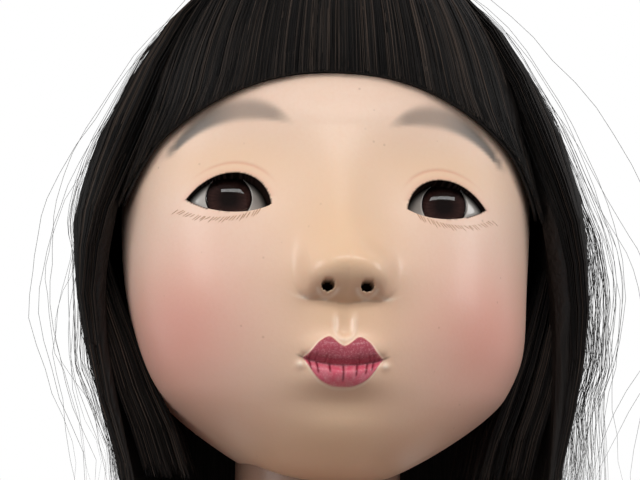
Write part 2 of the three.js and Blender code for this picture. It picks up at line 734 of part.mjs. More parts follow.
// Half sizes of the bare body at each height, from the crotch up to the stand of the collar round the neck.
const bodyStations = [
  { z: crotchZ, halfWidth: CROTCH_HALF_WIDTH, halfDepth: CROTCH_HALF_DEPTH },
  { z: mix(crotchZ, waistZ, 0.45), halfWidth: HIP_HALF_WIDTH, halfDepth: HIP_HALF_DEPTH },
  { z: mix(waistZ, chestZ, 0.4), halfWidth: WAIST_HALF_WIDTH, halfDepth: WAIST_HALF_DEPTH },
  { z: mix(chestZ, neckZ, 0.3), halfWidth: CHEST_HALF_WIDTH, halfDepth: CHEST_HALF_DEPTH },
  { z: shoulderZ, halfWidth: SHOULDER_HALF_WIDTH, halfDepth: SHOULDER_HALF_DEPTH },
  { z: mix(shoulderZ, neckZ, 0.6), halfWidth: neckSlopeHalfWidth, halfDepth: NECK_SLOPE_HALF_DEPTH },
  { z: neckZ, halfWidth: NECK_SEAT_RADIUS, halfDepth: NECK_SEAT_RADIUS },
  {
    z: neckZ + COLLAR_STAND,
    halfWidth: NECK_SEAT_RADIUS + COLLAR_SIDE_FLARE,
    halfDepth: NECK_SEAT_RADIUS + COLLAR_BACK_FLARE,
  },
];

// A half size of the body at a height, smooth through the stations.
function bodySize(z, key) {
  const last = bodyStations.length - 1;
  let k = bodyStations.findIndex((station) => station.z >= z);
  if (k <= 0) k = k < 0 ? last : 1;
  const [a, b] = [bodyStations[k - 1], bodyStations[k]];
  const before = bodyStations[Math.max(k - 2, 0)];
  const after = bodyStations[Math.min(k + 1, last)];
  const span = b.z - a.z;
  const slope = (p, q) => (q.z > p.z ? (q[key] - p[key]) / (q.z - p.z) : 0);
  const t = THREE.MathUtils.clamp((z - a.z) / span, 0, 1);
  const rise = 3 * t ** 2 - 2 * t ** 3;
  const start = slope(before, b) * span * (t ** 3 - 2 * t ** 2 + t);
  const end = slope(a, after) * span * (t ** 3 - t ** 2);
  return mix(a[key], b[key], rise) + start + end;
}

// A point of the body's surface, pushed out by a distance.
function bodyPoint(angle, z, out) {
  const neckShift = NECK_SETBACK * smooth(z, shoulderZ, neckZ);
  const oval = ovalPoint(angle, bodySize(z, "halfWidth") + out, bodySize(z, "halfDepth") + out);
  return point(oval.x, oval.y + neckShift, z);
}

const aroundBody = (count) => Array.from({ length: count }, (_, i) => (2 * Math.PI * i) / count);

const CHEST_INSET = 2 * CLEARANCE; // the chest block is a little smaller than the padded body round it

function bodyBlock(fromZ, toZ, rows, out = 0) {
  const angles = aroundBody(20);
  return loft(
    Array.from({ length: rows }, (_, k) => {
      const z = mix(fromZ, toZ, k / (rows - 1));
      return angles.map((angle) => bodyPoint(angle, z, out));
    }),
  );
}

function addTorso() {
  const socket = rod(
    point(0, NECK_SETBACK, neckZ - PEG_IN_CHEST - CLEARANCE),
    point(0, NECK_SETBACK, neckZ + 1),
    PEG_RADIUS + CLEARANCE / 2,
    20,
  );
  const chest = solid(bodyBlock(chestZ + CLEARANCE, neckZ, 8, -CHEST_INSET)).subtract(socket);
  addPiece("chest_block", geometryOf(chest), woodFinish);
  addPiece("midriff_pad", bodyBlock(waistZ + CLEARANCE, chestZ, 4), clothFinish);
  addPiece("hip_block", bodyBlock(crotchZ + CLEARANCE, waistZ, 4), woodFinish);
}

// Legs, feet and sandals

const footBase = SOLE_THICKNESS + CLEARANCE + TABI_THICKNESS + CLEARANCE;

// Sections of the foot from heel to toe: place along the foot, half width and half height, as shares.
const FOOT_SECTIONS = [
  { along: 0, width: 0.35, height: 0.38 },
  { along: 0.06, width: 0.78, height: 0.76 },
  { along: 0.26, width: 0.86, height: 1 },
  { along: 0.48, width: 0.95, height: 0.86 },
  { along: 0.72, width: 1.05, height: 0.67 },
  { along: 0.92, width: 0.92, height: 0.46 },
  { along: 1, width: 0.5, height: 0.28 },
];

const footY = (along) => HEEL_REACH - FOOT_LENGTH * along;

// The half width and half height of the foot at a place along it.
function footSize(along) {
  const k = Math.max(1, FOOT_SECTIONS.findIndex((section) => section.along >= along));
  const [a, b] = [FOOT_SECTIONS[k - 1], FOOT_SECTIONS[k]];
  const t = (along - a.along) / (b.along - a.along);
  return {
    halfWidth: FOOT_HALF_WIDTH * mix(a.width, b.width, t),
    halfHeight: FOOT_HALF_HEIGHT * mix(a.height, b.height, t),
  };
}

// A point round the foot, pushed out by a distance: angle 0 is outwards and 90 degrees is up.
function footPoint(along, angle, out, legX) {
  const { halfWidth, halfHeight } = footSize(along);
  const reach = along <= 0 ? out : along >= 1 ? -out : 0;
  return point(
    legX + (halfWidth + out) * Math.cos(angle),
    footY(along) + reach,
    footBase + halfHeight + (halfHeight + out) * Math.sin(angle),
  );
}

function footSolid(out, legX) {
  const SIDES = 10;
  const rings = FOOT_SECTIONS.map(({ along }) =>
    Array.from({ length: SIDES }, (_, i) => footPoint(along, (2 * Math.PI * i) / SIDES, out, legX)),
  );
  return solid(loft(rings));
}

// The lower leg inside its outline, pushed out by a distance and cut off at a height.
function shinSolid(out, legX, topZ) {
  const bottom = footBase + ANKLE_RADIUS * 0.89;
  const CALF_SHARE = 0.7;
  const at = (share) => mix(bottom, kneeZ, share);
  const profile = [
    [0, bottom],
    [ANKLE_RADIUS + out, bottom],
    [ANKLE_RADIUS + out, at(0.15)],
    [mix(ANKLE_RADIUS, KNEE_RADIUS, 0.95) + out, at(CALF_SHARE)],
    [KNEE_RADIUS + out, kneeZ],
    [0, kneeZ],
  ];
  const shin = solid(turned(profile, 12).translate(legX, HEEL_REACH - FOOT_LENGTH * 0.24, 0));
  const size = 2 * kneeZ;
  return shin.intersect(solid(new THREE.BoxGeometry(size, size, size).translate(legX, 0, topZ - size / 2)));
}

// The slot between the big toe and the others, on the inner side of the foot.
function toeSlot(legX, out) {
  const length = FOOT_LENGTH * 0.27 - out;
  const x = legX - Math.sign(legX) * FOOT_HALF_WIDTH * 0.32;
  const box = new THREE.BoxGeometry(TOE_SPLIT - 2 * out, length, 6 * FOOT_HALF_HEIGHT);
  return solid(box.translate(x, footY(1) - TABI_THICKNESS - 1 + length / 2, footBase));
}

function addLeg({ name, sign }) {
  const legX = (sign * LEG_SPACING) / 2;
  const legY = HEEL_REACH - FOOT_LENGTH * 0.24;
  const skin = CLEARANCE + TABI_THICKNESS;
  const leg = footSolid(0, legX).subtract(toeSlot(legX, -skin)).add(shinSolid(0, legX, kneeZ));
  addPiece(`${name}_lower_leg`, geometryOf(leg), shellWhiteFinish);

  const cuffZ = footBase + SHIN_LENGTH * 0.36;
  const sock = footSolid(skin, legX).subtract(toeSlot(legX, 0)).add(shinSolid(skin, legX, cuffZ));
  const inside = footSolid(CLEARANCE, legX)
    .subtract(toeSlot(legX, -TABI_THICKNESS))
    .add(shinSolid(CLEARANCE, legX, kneeZ));
  addPiece(`${name}_tabi`, geometryOf(sock.subtract(inside)), whiteClothFinish);

  const thigh = turned(
    [
      [0, kneeZ + CLEARANCE],
      [KNEE_RADIUS, kneeZ + CLEARANCE],
      [mix(KNEE_RADIUS, THIGH_RADIUS, 0.9), mix(kneeZ, crotchZ, 0.5)],
      [THIGH_RADIUS, crotchZ - 3],
      [THIGH_RADIUS - 2, crotchZ],
      [0, crotchZ],
    ],
    16,
  );
  addPiece(`${name}_thigh`, thigh.translate(legX, legY, 0), clothFinish);
}

function addSandal({ name, sign }) {
  const legX = (sign * LEG_SPACING) / 2;
  const middleY = footY(0.5);
  const straight = SANDAL_LENGTH / 2 - SANDAL_HALF_WIDTH;
  const outline = new THREE.Shape();
  outline.absarc(0, straight, SANDAL_HALF_WIDTH * 0.94, 0, Math.PI, false);
  outline.absarc(0, -straight, SANDAL_HALF_WIDTH, Math.PI, 2 * Math.PI, false);
  const cut = { depth: SOLE_THICKNESS, bevelEnabled: false, curveSegments: 12 };
  const sole = new THREE.ExtrudeGeometry(outline, cut);
  addPiece(`${name}_sandal_sole`, sole.translate(legX, middleY, 0), sandalFinish);

  // The strap runs from a post between the toes over both sides of the foot to the edge of the sole.
  const out = CLEARANCE + TABI_THICKNESS + CLEARANCE + STRAP_RADIUS;
  const postX = legX - sign * FOOT_HALF_WIDTH * 0.32;
  const POST_ALONG = 0.82;
  const SIDE_ALONG = 0.42;
  const LOWEST = 14;
  const postAngle = Math.acos((postX - legX) / (footSize(POST_ALONG).halfWidth + out));
  const top = footPoint(POST_ALONG, postAngle, out, legX);
  const post = rod(point(postX, top.y, SOLE_THICKNESS + CLEARANCE), top, STRAP_RADIUS * 0.8, 8);
  const branch = (endAngle) => {
    const points = [0, 0.3, 0.65, 1].map((t) =>
      footPoint(mix(POST_ALONG, SIDE_ALONG, t), mix(postAngle, degrees(endAngle), t), out, legX),
    );
    const end = points.at(-1).clone().setZ(SOLE_THICKNESS + CLEARANCE + STRAP_RADIUS);
    return solid(tube([...points, end.setY(end.y + STRAP_RADIUS)], STRAP_RADIUS));
  };
  const strap = post.add(branch(LOWEST)).add(branch(180 - LOWEST));
  addPiece(`${name}_sandal_strap`, geometryOf(strap), sandalFinish);
}

// Arms

const sleeveSeamX = SHOULDER_HALF_WIDTH + bodiceOuter + CLEARANCE;
const armLine = (() => {
  const splay = degrees(ARM_SPLAY);
  const down = point(Math.sin(splay), 0, -Math.cos(splay));
  const shoulder = point(sleeveSeamX + ARM_ROOT_RADIUS, 0, shoulderZ - 1);
  const elbow = shoulder.clone().addScaledVector(down, UPPER_ARM_LENGTH);
  const wrist = elbow.clone().addScaledVector(down, FOREARM_LENGTH);
  return { down, shoulder, elbow, wrist };
})();

// A stuffed cloth upper arm whose root passes through the bodice and ends at the chest block.
function upperArm() {
  const { down, shoulder, elbow } = armLine;
  const end = elbow.clone().addScaledVector(down, -ELBOW_RADIUS * 0.5 - CLEARANCE);
  const middle = shoulder.clone().lerp(end, 0.5);
  const root = rod(
    shoulder.clone().setX(SHOULDER_HALF_WIDTH + CLEARANCE),
    shoulder,
    ARM_ROOT_RADIUS,
    14,
  );
  return solid(limb([shoulder, middle, end], [ARM_ROOT_RADIUS, ARM_ROOT_RADIUS, ELBOW_RADIUS])).add(root);
}

// A composition forearm with a hand whose fingers hang down, slightly curled.
function forearm() {
  const { down, elbow, wrist } = armLine;
  const inward = point(-down.z, 0, down.x).multiplyScalar(-1);
  const start = elbow.clone().addScaledVector(down, ELBOW_RADIUS * 0.5);
  let made = solid(limb([start, wrist], [ELBOW_RADIUS, WRIST_RADIUS], 10));
  const palmEnd = wrist.clone().addScaledVector(down, PALM_LENGTH);
  const palmSection = (along, width, depth) => {
    const centre = wrist.clone().addScaledVector(down, along);
    return Array.from({ length: 8 }, (_, i) => {
      const angle = (2 * Math.PI * i) / 8;
      return centre
        .clone()
        .addScaledVector(inward, depth * Math.cos(angle))
        .add(point(0, width * Math.sin(angle), 0));
    });
  };
  made = made.add(
    solid(
      loft([
        palmSection(0, WRIST_RADIUS * 0.9, WRIST_RADIUS * 0.8),
        palmSection(PALM_LENGTH * 0.5, PALM_HALF_WIDTH, PALM_HALF_DEPTH),
        palmSection(PALM_LENGTH, PALM_HALF_WIDTH, PALM_HALF_DEPTH * 0.85),
        palmSection(PALM_LENGTH * 1.14, PALM_HALF_WIDTH * 0.8, PALM_HALF_DEPTH * 0.55),
      ]),
    ),
  );
  const FINGERS = 4;
  for (let k = 0; k < FINGERS; k++) {
    const across = mix(-1, 1, k / (FINGERS - 1)) * (PALM_HALF_WIDTH - FINGER_RADIUS);
    const root = palmEnd.clone().add(point(0, across, 0));
    const length = FINGER_LENGTH * (1 - 0.12 * Math.abs(k - 1.3));
    const knuckle = root.clone().addScaledVector(down, length * 0.55);
    const tip = root.clone().addScaledVector(down, length).addScaledVector(inward, FINGER_CURL);
    made = made.add(
      solid(limb([root, knuckle, tip], [FINGER_RADIUS, FINGER_RADIUS, FINGER_RADIUS * 0.75], 5)),
    );
  }
  const thumbRoot = wrist
    .clone()
    .addScaledVector(down, PALM_LENGTH * 0.36)
    .add(point(0, -PALM_HALF_WIDTH * 0.7, 0));
  const thumbTip = thumbRoot
    .clone()
    .addScaledVector(down, THUMB_LENGTH)
    .addScaledVector(inward, THUMB_LENGTH * 0.25)
    .add(point(0, -THUMB_LENGTH * 0.33, 0));
  return made.add(solid(limb([thumbRoot, thumbTip], [FINGER_RADIUS * 1.2, FINGER_RADIUS * 0.9], 6)));
}

// A long hanging sleeve: a flat padded bag that is thick where the arm runs through it. Its outer edge drops
// from the inner side of the wrist, so that the hand hangs free.
function sleeve() {
  const { down, shoulder, wrist } = armLine;
  const tunnel = ARM_ROOT_RADIUS + RUNNING_GAP;
  const rise = tunnel + CLOTH_THICKNESS + RUNNING_GAP;
  const outward = point(-down.z, 0, down.x);
  const mouth = wrist.clone().addScaledVector(down, -3);
  const seam = shoulder.clone().setX(sleeveSeamX);
  const mouthLow = mouth.clone().addScaledVector(outward, -rise);
  const bottomZ = mouthLow.z - SLEEVE_LENGTH;

  // Lines across the sleeve from its seam to its outer edge: over the arm, under it, at the sash, at the bottom.
  const CORNER = 0.22;
  const overCorner = shoulder.clone().addScaledVector(outward, rise);
  const over = (u) =>
    u < CORNER
      ? seam.clone().setZ(seam.z + rise).lerp(overCorner, u / CORNER)
      : overCorner.clone().lerp(mouth.clone().addScaledVector(outward, rise), (u - CORNER) / (1 - CORNER));
  const under = (u) => seam.clone().setZ(seam.z - rise).lerp(mouthLow, u);
  const across = (u) => mix(SLEEVE_INNER_X, mouthLow.x, u);
  const atSash = (u) => point(across(u), 0, mix(obiTopZ - rise / 2, mouthLow.z - 1.5 * rise, u));
  const atBottom = (u) => point(across(u), 0, mix(bottomZ + SLEEVE_LENGTH * 0.2, bottomZ, u));
  const lines = [over, under, atSash, atBottom];
  const ROWS = [0, 0.3, 0.6, 1, 1.5, 2, 2.5, 2.9, 3];
  const COLUMNS = 11;
  const limbLines = [new THREE.Line3(seam, shoulder), new THREE.Line3(shoulder, mouth)];
  const nearest = new THREE.Vector3();
  const surface = (side) =>
    Array.from({ length: COLUMNS }, (_, i) => {
      const u = i / (COLUMNS - 1);
      return ROWS.map((row) => {
        const k = Math.min(Math.floor(row), lines.length - 2);
        const p = lines[k](u).lerp(lines[k + 1](u), row - k);
        const reach = (line) => p.distanceTo(line.closestPointToPoint(p, true, nearest));
        const away = Math.min(...limbLines.map(reach));
        const hug = rise * Math.sqrt(Math.max(0, 1 - (away / (rise * 1.25)) ** 2));
        const rim = Math.max(Math.abs(2 * u - 1), row - 2) ** 6;
        const fold = SLEEVE_FOLD_DEPTH * Math.sin(2 * Math.PI * u) * smooth(row, 1, 2);
        return p.setY(side * Math.max(SLEEVE_HALF_THICKNESS * (1 - 0.6 * rim), hug) + fold);
      });
    });
  const bore = solid(limb([shoulder, mouth.clone().addScaledVector(down, 12)], [tunnel, tunnel], 14)).add(
    rod(seam.clone().setX(sleeveSeamX - 2), shoulder, tunnel, 14),
  );
  return largestBody(solid(thickSheet(surface(-1), surface(1))).subtract(bore));
}

function addArms() {
  const pieces = [
    ["upper_arm", upperArm(), clothFinish],
    ["forearm", forearm(), shellWhiteFinish],
    ["sleeve", sleeve(), kimonoFinish],
  ];
  for (const [part, made, material] of pieces) {
    addPiece(`left_${part}`, geometryOf(made), material);
    addPiece(`right_${part}`, geometryOf(made.mirror([1, 0, 0])), material);
  }
}

// Kimono and sash

// Stations of the collar's lower and upper edge, as heights from the neck seat in shares of the chest's height,
// from the nape round to the end of the left front above the sash.
const COLLAR_STATIONS = [
  { angle: 180, low: 0.028, high: 0.236 },
  { angle: 140, low: 0.014, high: 0.229 },
  { angle: 100, low: -0.056, high: 0.153 },
  { angle: 65, low: -0.167, high: 0.028 },
  { angle: 40, low: -0.32, high: -0.125 },
  { angle: 20, low: -0.5, high: -0.292 },
  { angle: 6, low: -0.625, high: -0.43 },
  { angle: -18, low: -0.806, high: -0.639 },
  { angle: -30, low: -0.917, high: -0.764 },
];
const COLLAR_CROSSING = 6; // degrees: the right front ends here, under the left

// The lower edge of the collar at an angle from the front, the same on both sides.
function collarLow(angle) {
  const turn = THREE.MathUtils.radToDeg(Math.abs(angle));
  const k = Math.max(1, COLLAR_STATIONS.findLastIndex((station) => station.angle >= turn) + 1);
  const [a, b] = [COLLAR_STATIONS[k - 1], COLLAR_STATIONS[k]];
  return neckZ + CHEST_HEIGHT * mix(a.low, b.low, (a.angle - turn) / (a.angle - b.angle));
}

// The bodice reaches up to the edge that the collar is sewn to.
function bodiceSheet(outer, inner) {
  const angles = aroundBody(26).map((angle) => (angle > Math.PI ? angle - 2 * Math.PI : angle));
  const SHARES = [0, 0.3, 0.56, 0.72, 0.84, 0.93, 1];
  const bottom = mix(obiBottomZ, obiTopZ, 0.5);
  const height = (angle, t) => mix(bottom, collarLow(angle) - CLEARANCE, t);
  const sheet = (out) => angles.map((angle) => SHARES.map((t) => bodyPoint(angle, height(angle, t), out)));
  return solid(thickSheet(sheet(outer), sheet(inner), true));
}

function addBodice() {
  const { shoulder } = armLine;
  const armhole = rod(
    shoulder.clone().setX(-2 * sleeveSeamX),
    shoulder.clone().setX(2 * sleeveSeamX),
    ARM_ROOT_RADIUS + RUNNING_GAP,
    16,
  );
  addPiece("kimono_bodice", geometryOf(bodiceSheet(bodiceOuter, bodiceInner).subtract(armhole)), kimonoFinish);
}

// A band round the neck. Each front stops at an angle; the left one lies over the right one by a lap.
function collarBand(inner, outer, rise, { leftEnd, rightEnd, lap }) {
  const upTo = (end) => COLLAR_STATIONS.filter((station) => station.angle >= end);
  const right = upTo(rightEnd).toReversed().map((station) => ({ ...station, sign: -1 }));
  const left = upTo(leftEnd).slice(1).map((station) => ({ ...station, sign: 1 }));
  const sheet = (out) =>
    [...right, ...left].map(({ angle, low, high, sign }) => {
      const over = sign > 0 ? lap * smooth(-angle, -60, -10) : 0;
      return [0, 0.33, 0.67, 1].map((t) =>
        bodyPoint(sign * degrees(angle), neckZ + rise + CHEST_HEIGHT * mix(low, high, t), out + over),
      );
    });
  return solid(thickSheet(sheet(outer), sheet(inner)));
}

function addCollars() {
  const flat = { leftEnd: COLLAR_CROSSING, rightEnd: COLLAR_CROSSING, lap: 0 };
  const crossed = { leftEnd: -180, rightEnd: COLLAR_CROSSING, lap: COLLAR_THICKNESS + CLEARANCE };
  const chestRoom = solid(bodyBlock(chestZ, neckZ, 8, -CHEST_INSET + CLEARANCE));
  const under = collarBand(underCollarInner, underCollarOuter, UNDER_COLLAR_RISE, flat).subtract(chestRoom);
  addPiece("under_collar", geometryOf(under), whiteClothFinish);
  const underRoom = collarBand(underCollarInner - 2, underCollarOuter + CLEARANCE, UNDER_COLLAR_RISE, flat);
  const bodiceRoom = bodiceSheet(bodiceOuter + CLEARANCE, 0);
  const collar = collarBand(collarInner, collarOuter, 0, crossed)
    .subtract(underRoom)
    .subtract(underRoom.translate([0, 0, -CLEARANCE]))
    .subtract(bodiceRoom)
    .subtract(bodiceRoom.translate([0, 0, CLEARANCE]));
  addPiece("kimono_collar", geometryOf(largestBody(collar)), kimonoFinish);
}

const skirtTopZ = mix(obiBottomZ, obiTopZ, 0.3);

// A point of the wrapped skirt: the angle runs on past a full turn where the left front lies over the right.
function skirtPoint(angle, share, out) {
  const z = mix(SKIRT_HEM_HEIGHT, skirtTopZ, share);
  const top = smooth(share, 0.68, 0.9);
  const halfWidth = mix(SKIRT_HALF_WIDTH, bodySize(z, "halfWidth") + skirtInner, top);
  const halfDepth = mix(SKIRT_HALF_DEPTH, bodySize(z, "halfDepth") + skirtInner, top);
  const folds = SKIRT_FOLD_DEPTH * Math.cos(9 * angle) * (1 - smooth(share, 0.3, 0.8));
  const wound = (layerStep * angle) / (2 * Math.PI);
  const oval = ovalPoint(angle, halfWidth + wound + folds + out, halfDepth + wound + folds + out);
  return point(-oval.x, oval.y, z);
}

function addSkirt() {
  const COLUMNS = 38;
  const start = -degrees(SKIRT_OVERLAP / 2);
  const end = 2 * Math.PI + degrees(SKIRT_OVERLAP / 2);
  const SHARES = [0, 0.3, 0.62, 0.76, 0.9, 1];
  const sheet = (out) =>
    Array.from({ length: COLUMNS }, (_, i) =>
      SHARES.map((share) => skirtPoint(mix(start, end, i / (COLUMNS - 1)), share, out)),
    );
  addPiece("kimono_skirt", thickSheet(sheet(CLOTH_THICKNESS), sheet(0)), kimonoFinish);

  // The padded roll under the hem stops short of where the two fronts lie on each other.
  const ROLL_STEPS = 28;
  const rollStart = degrees(SKIRT_OVERLAP / 2 + 9);
  const path = Array.from({ length: ROLL_STEPS }, (_, i) => {
    const p = skirtPoint(mix(rollStart, end, i / (ROLL_STEPS - 1)), 0, CLOTH_THICKNESS / 2);
    return p.setZ(SKIRT_HEM_HEIGHT - CLEARANCE - HEM_ROLL_RADIUS);
  });
  addPiece("kimono_hem_roll", limb(path, path.map(() => HEM_ROLL_RADIUS), 6), liningFinish);
}

// A closed roll of cloth round the body.
function hoop(z, out, halfHeight, halfDepth, count = 30, sectionSides = 5) {
  const column = (angle) =>
    Array.from({ length: sectionSides }, (_, j) => {
      const turn = (2 * Math.PI * j) / sectionSides;
      return bodyPoint(angle, z, out + halfDepth * Math.cos(turn)).setZ(z + halfHeight * Math.sin(turn));
    });
  const columns = aroundBody(count).map(column);
  const triangles = [];
  const at = (i, j) => (i % count) * sectionSides + (j % sectionSides);
  for (let i = 0; i < count; i++) {
    for (let j = 0; j < sectionSides; j++) {
      triangles.push([at(i, j), at(i + 1, j), at(i + 1, j + 1)], [at(i, j), at(i + 1, j + 1), at(i, j + 1)]);
    }
  }
  return closedGeometry(columns.flat(), triangles);
}

function addSash() {
  const angles = aroundBody(30);
  const rows = [0, 0.33, 0.67, 1].map((t) => mix(obiBottomZ, obiTopZ, t));
  const sheet = (out) => angles.map((angle) => rows.map((z) => bodyPoint(angle, z, out)));
  addPiece("obi", thickSheet(sheet(obiOuter), sheet(obiInner), true), obiFinish);
  const outside = obiOuter + CLEARANCE;
  const cord = hoop(cordZ, outside + OBI_CORD_RADIUS, OBI_CORD_RADIUS, OBI_CORD_RADIUS);
  const front = bodyPoint(0, cordZ, outside + OBI_CORD_RADIUS + 1);
  const knot = ball(OBI_CORD_RADIUS * 1.6, [front.x, front.y - 1, front.z], 10);
  addPiece("obi_cord", geometryOf(solid(cord).add(knot)), cordFinish);
  const scarfZ = obiTopZ + CLEARANCE + OBI_SCARF_RADIUS * 0.7;
  const scarfOut = bodiceOuter + CLEARANCE + OBI_SCARF_RADIUS;
  addPiece("obi_scarf", hoop(scarfZ, scarfOut, OBI_SCARF_RADIUS * 0.7, OBI_SCARF_RADIUS), scarfFinish);
}

// The sash is tied behind: two loops, the knot between them and a hanging tail.
function addBow() {
  const cordOut = obiOuter + CLEARANCE + 2 * OBI_CORD_RADIUS;
  const middleZ = mix(obiBottomZ, obiTopZ, 0.62);
  const backY = bodyPoint(Math.PI, cordZ, cordOut + CLEARANCE).y;
  const STEPS = 14;
  const loop = (sign) => {
    const sheet = (inset) =>
      Array.from({ length: STEPS }, (_, i) => {
        const turn = mix(-Math.PI * 0.96, Math.PI * 0.96, i / (STEPS - 1));
        const reach = (BOW_HALF_SPAN - KNOT_HALF_WIDTH - CLEARANCE) / 2;
        const x = KNOT_HALF_WIDTH + CLEARANCE + reach + (reach - inset) * Math.cos(turn);
        const y = backY + BOW_DEPTH / 2 + (BOW_DEPTH / 2 - inset) * Math.sin(turn);
        const spread = mix(0.45, 1, smooth(x, KNOT_HALF_WIDTH, BOW_HALF_SPAN * 0.7));
        const droop = -BOW_DROOP * (x / BOW_HALF_SPAN) ** 2;
        return [-0.5, 0, 0.5].map((t) => point(sign * x, y, middleZ + droop + BOW_HEIGHT * spread * t));
      });
    return thickSheet(sheet(0), sheet(BOW_CLOTH));
  };
  for (const { name, sign } of sides) addPiece(`obi_bow_${name}`, loop(sign), obiFinish);

  const knotRings = [-1, -0.8, 0, 0.8, 1].map((t) => {
    const size = mix(1, 0.75, smooth(Math.abs(t), 0.75, 1));
    return aroundBody(14).map((angle) => {
      const oval = ovalPoint(angle, KNOT_HALF_WIDTH * size, (BOW_DEPTH / 2) * size, 3);
      return point(oval.x, backY + BOW_DEPTH / 2 + oval.y, middleZ + BOW_HEIGHT * 0.28 * t);
    });
  });
  addPiece("obi_knot", loft(knotRings), obiFinish);

  const tailTop = middleZ - BOW_HEIGHT * 0.28 - CLEARANCE;
  const tail = (inset) =>
    [-1, -0.5, 0, 0.5, 1].map((across) =>
      [0, 0.3, 0.65, 1].map((t) => {
        const width = mix(KNOT_HALF_WIDTH, TAIL_HALF_WIDTH, smooth(t, 0, 0.4));
        const curve = TAIL_BULGE * Math.cos(across * Math.PI * 0.5);
        const y = backY + BOW_DEPTH / 2 + curve - inset;
        return point(across * width, y, tailTop - TAIL_LENGTH * t);
      }),
    );
  addPiece("obi_tail", thickSheet(tail(0), tail(BOW_CLOTH)), obiFinish);
}

addHead();
sides.forEach(addEye);
sides.forEach(addEyePutty);
addNeck();
addWigCap();
addCrownHair();
addFringe();
addLongHair();
addTorso();
sides.forEach(addLeg);
sides.forEach(addSandal);
addArms();
addBodice();
addCollars();
addSkirt();
addSash();
addBow();

const wholeBox = new THREE.Box3().setFromObject(doll);
doll.position.y = -(wholeBox.min.y + wholeBox.max.y) / 2;

export default doll;
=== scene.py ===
"""Looks of an ichimatsu doll, in metres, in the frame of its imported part.

The doll stands on z = 0 and faces -Y; its left side is +X. Sizes in the classes below are millimetres, as in
the part's source, and become metres when a mesh is made. The head follows the photograph and the rest is dressed
as dolls of this kind usually are.
"""
import logging
import math
from collections.abc import Callable
from dataclasses import dataclass
from enum import Enum
from functools import cache
from typing import Any

import bpy
import numpy as np
from mathutils import Matrix, Vector


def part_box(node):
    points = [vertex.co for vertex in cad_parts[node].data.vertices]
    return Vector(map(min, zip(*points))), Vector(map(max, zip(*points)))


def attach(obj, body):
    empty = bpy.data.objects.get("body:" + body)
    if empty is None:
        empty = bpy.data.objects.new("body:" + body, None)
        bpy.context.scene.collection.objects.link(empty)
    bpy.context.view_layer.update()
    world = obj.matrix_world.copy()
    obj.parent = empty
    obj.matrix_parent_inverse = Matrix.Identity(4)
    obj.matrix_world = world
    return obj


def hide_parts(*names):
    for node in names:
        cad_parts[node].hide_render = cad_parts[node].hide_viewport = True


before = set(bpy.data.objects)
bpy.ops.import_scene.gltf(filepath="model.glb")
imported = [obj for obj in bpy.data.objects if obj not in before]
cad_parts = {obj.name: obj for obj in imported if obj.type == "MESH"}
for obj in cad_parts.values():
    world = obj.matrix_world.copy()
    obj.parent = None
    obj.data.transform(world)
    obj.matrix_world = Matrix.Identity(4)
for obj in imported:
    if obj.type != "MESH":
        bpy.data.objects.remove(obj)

LOG = logging.getLogger("doll")
MM = 0.001
GAP = 0.4  # clearance between neighbouring pieces, in millimetres

Array = np.ndarray
Colour = tuple[float, float, float]
Material = bpy.types.Material
Object = bpy.types.Object
Socket = bpy.types.NodeSocket
Tree = bpy.types.NodeTree


# Numbers and curves


def smooth(x: Array, low: float, high: float) -> Array:
    """Eases from 0 at low to 1 at high."""
    t = np.clip((np.asarray(x, float) - low) / (high - low), 0, 1)
    return t * t * (3 - 2 * t)


def mix(a: Any, b: Any, t: Any) -> Any:
    """The value a share t of the way from a to b."""
    return a + (b - a) * t


def bell(x: Array, width: float) -> Array:
    """A soft bell about 0, 1 at its middle."""
    return np.exp(-((x / width) ** 2))


def bump(x: Array, z: Array, at_x: float, at_z: float, spread_x: float, spread_z: float) -> Array:
    """A soft bump in the front view, 1 at its middle."""
    return np.exp(-(((x - at_x) / spread_x) ** 2 + ((z - at_z) / spread_z) ** 2) / 2)


def rounded(x: Array, width: float) -> Array:
    """Rises like a quarter of a circle from nothing to one over a width."""
    return np.sqrt(1 - (1 - np.clip((x + 0.3) / width, 0, 1)) ** 2)


def circle(count: int) -> Array:
    """Angles of a full turn, without its end."""
    return np.linspace(0, 2 * math.pi, count, endpoint=False)


def direction(azimuth: Array, elevation: Array) -> Array:
    """Unit vectors; azimuth 0 is the front and a quarter turn is the doll's left."""
    level = np.cos(elevation)
    return np.stack([level * np.sin(azimuth), -level * np.cos(azimuth), np.sin(elevation)], -1)


def form_reach(way: Array, sizes: tuple, roundness: float) -> Array:
    """How far a rounded form with three half sizes reaches along unit vectors."""
    total = sum(np.abs(way[..., k] / size) ** roundness for k, size in enumerate(sizes))
    return total ** (-1 / roundness)


def last_true(low: Array, high: Array, test: Callable[[Array], Array]) -> Array:
    """Where a test stops being true between two bounds, found by halving."""
    for _ in range(30):
        middle = (low + high) / 2
        passed = test(middle)
        low, high = np.where(passed, middle, low), np.where(passed, high, middle)
    return low


def bezier(start: tuple, first: tuple, second: tuple, end: tuple, count: int) -> Array:
    """Points along a cubic curve.

    Args:
        start: the curve's first point.
        first: the point that it leaves towards.
        second: the point that it arrives from.
        end: its last point.
        count: the number of points.

    Returns:
        The points, one a row.
    """
    t = np.linspace(0, 1, count)[:, None]
    start, first, second, end = (np.asarray(p, float) for p in (start, first, second, end))
    return (1 - t) ** 3 * start + 3 * (1 - t) ** 2 * t * first + 3 * (1 - t) * t**2 * second + t**3 * end


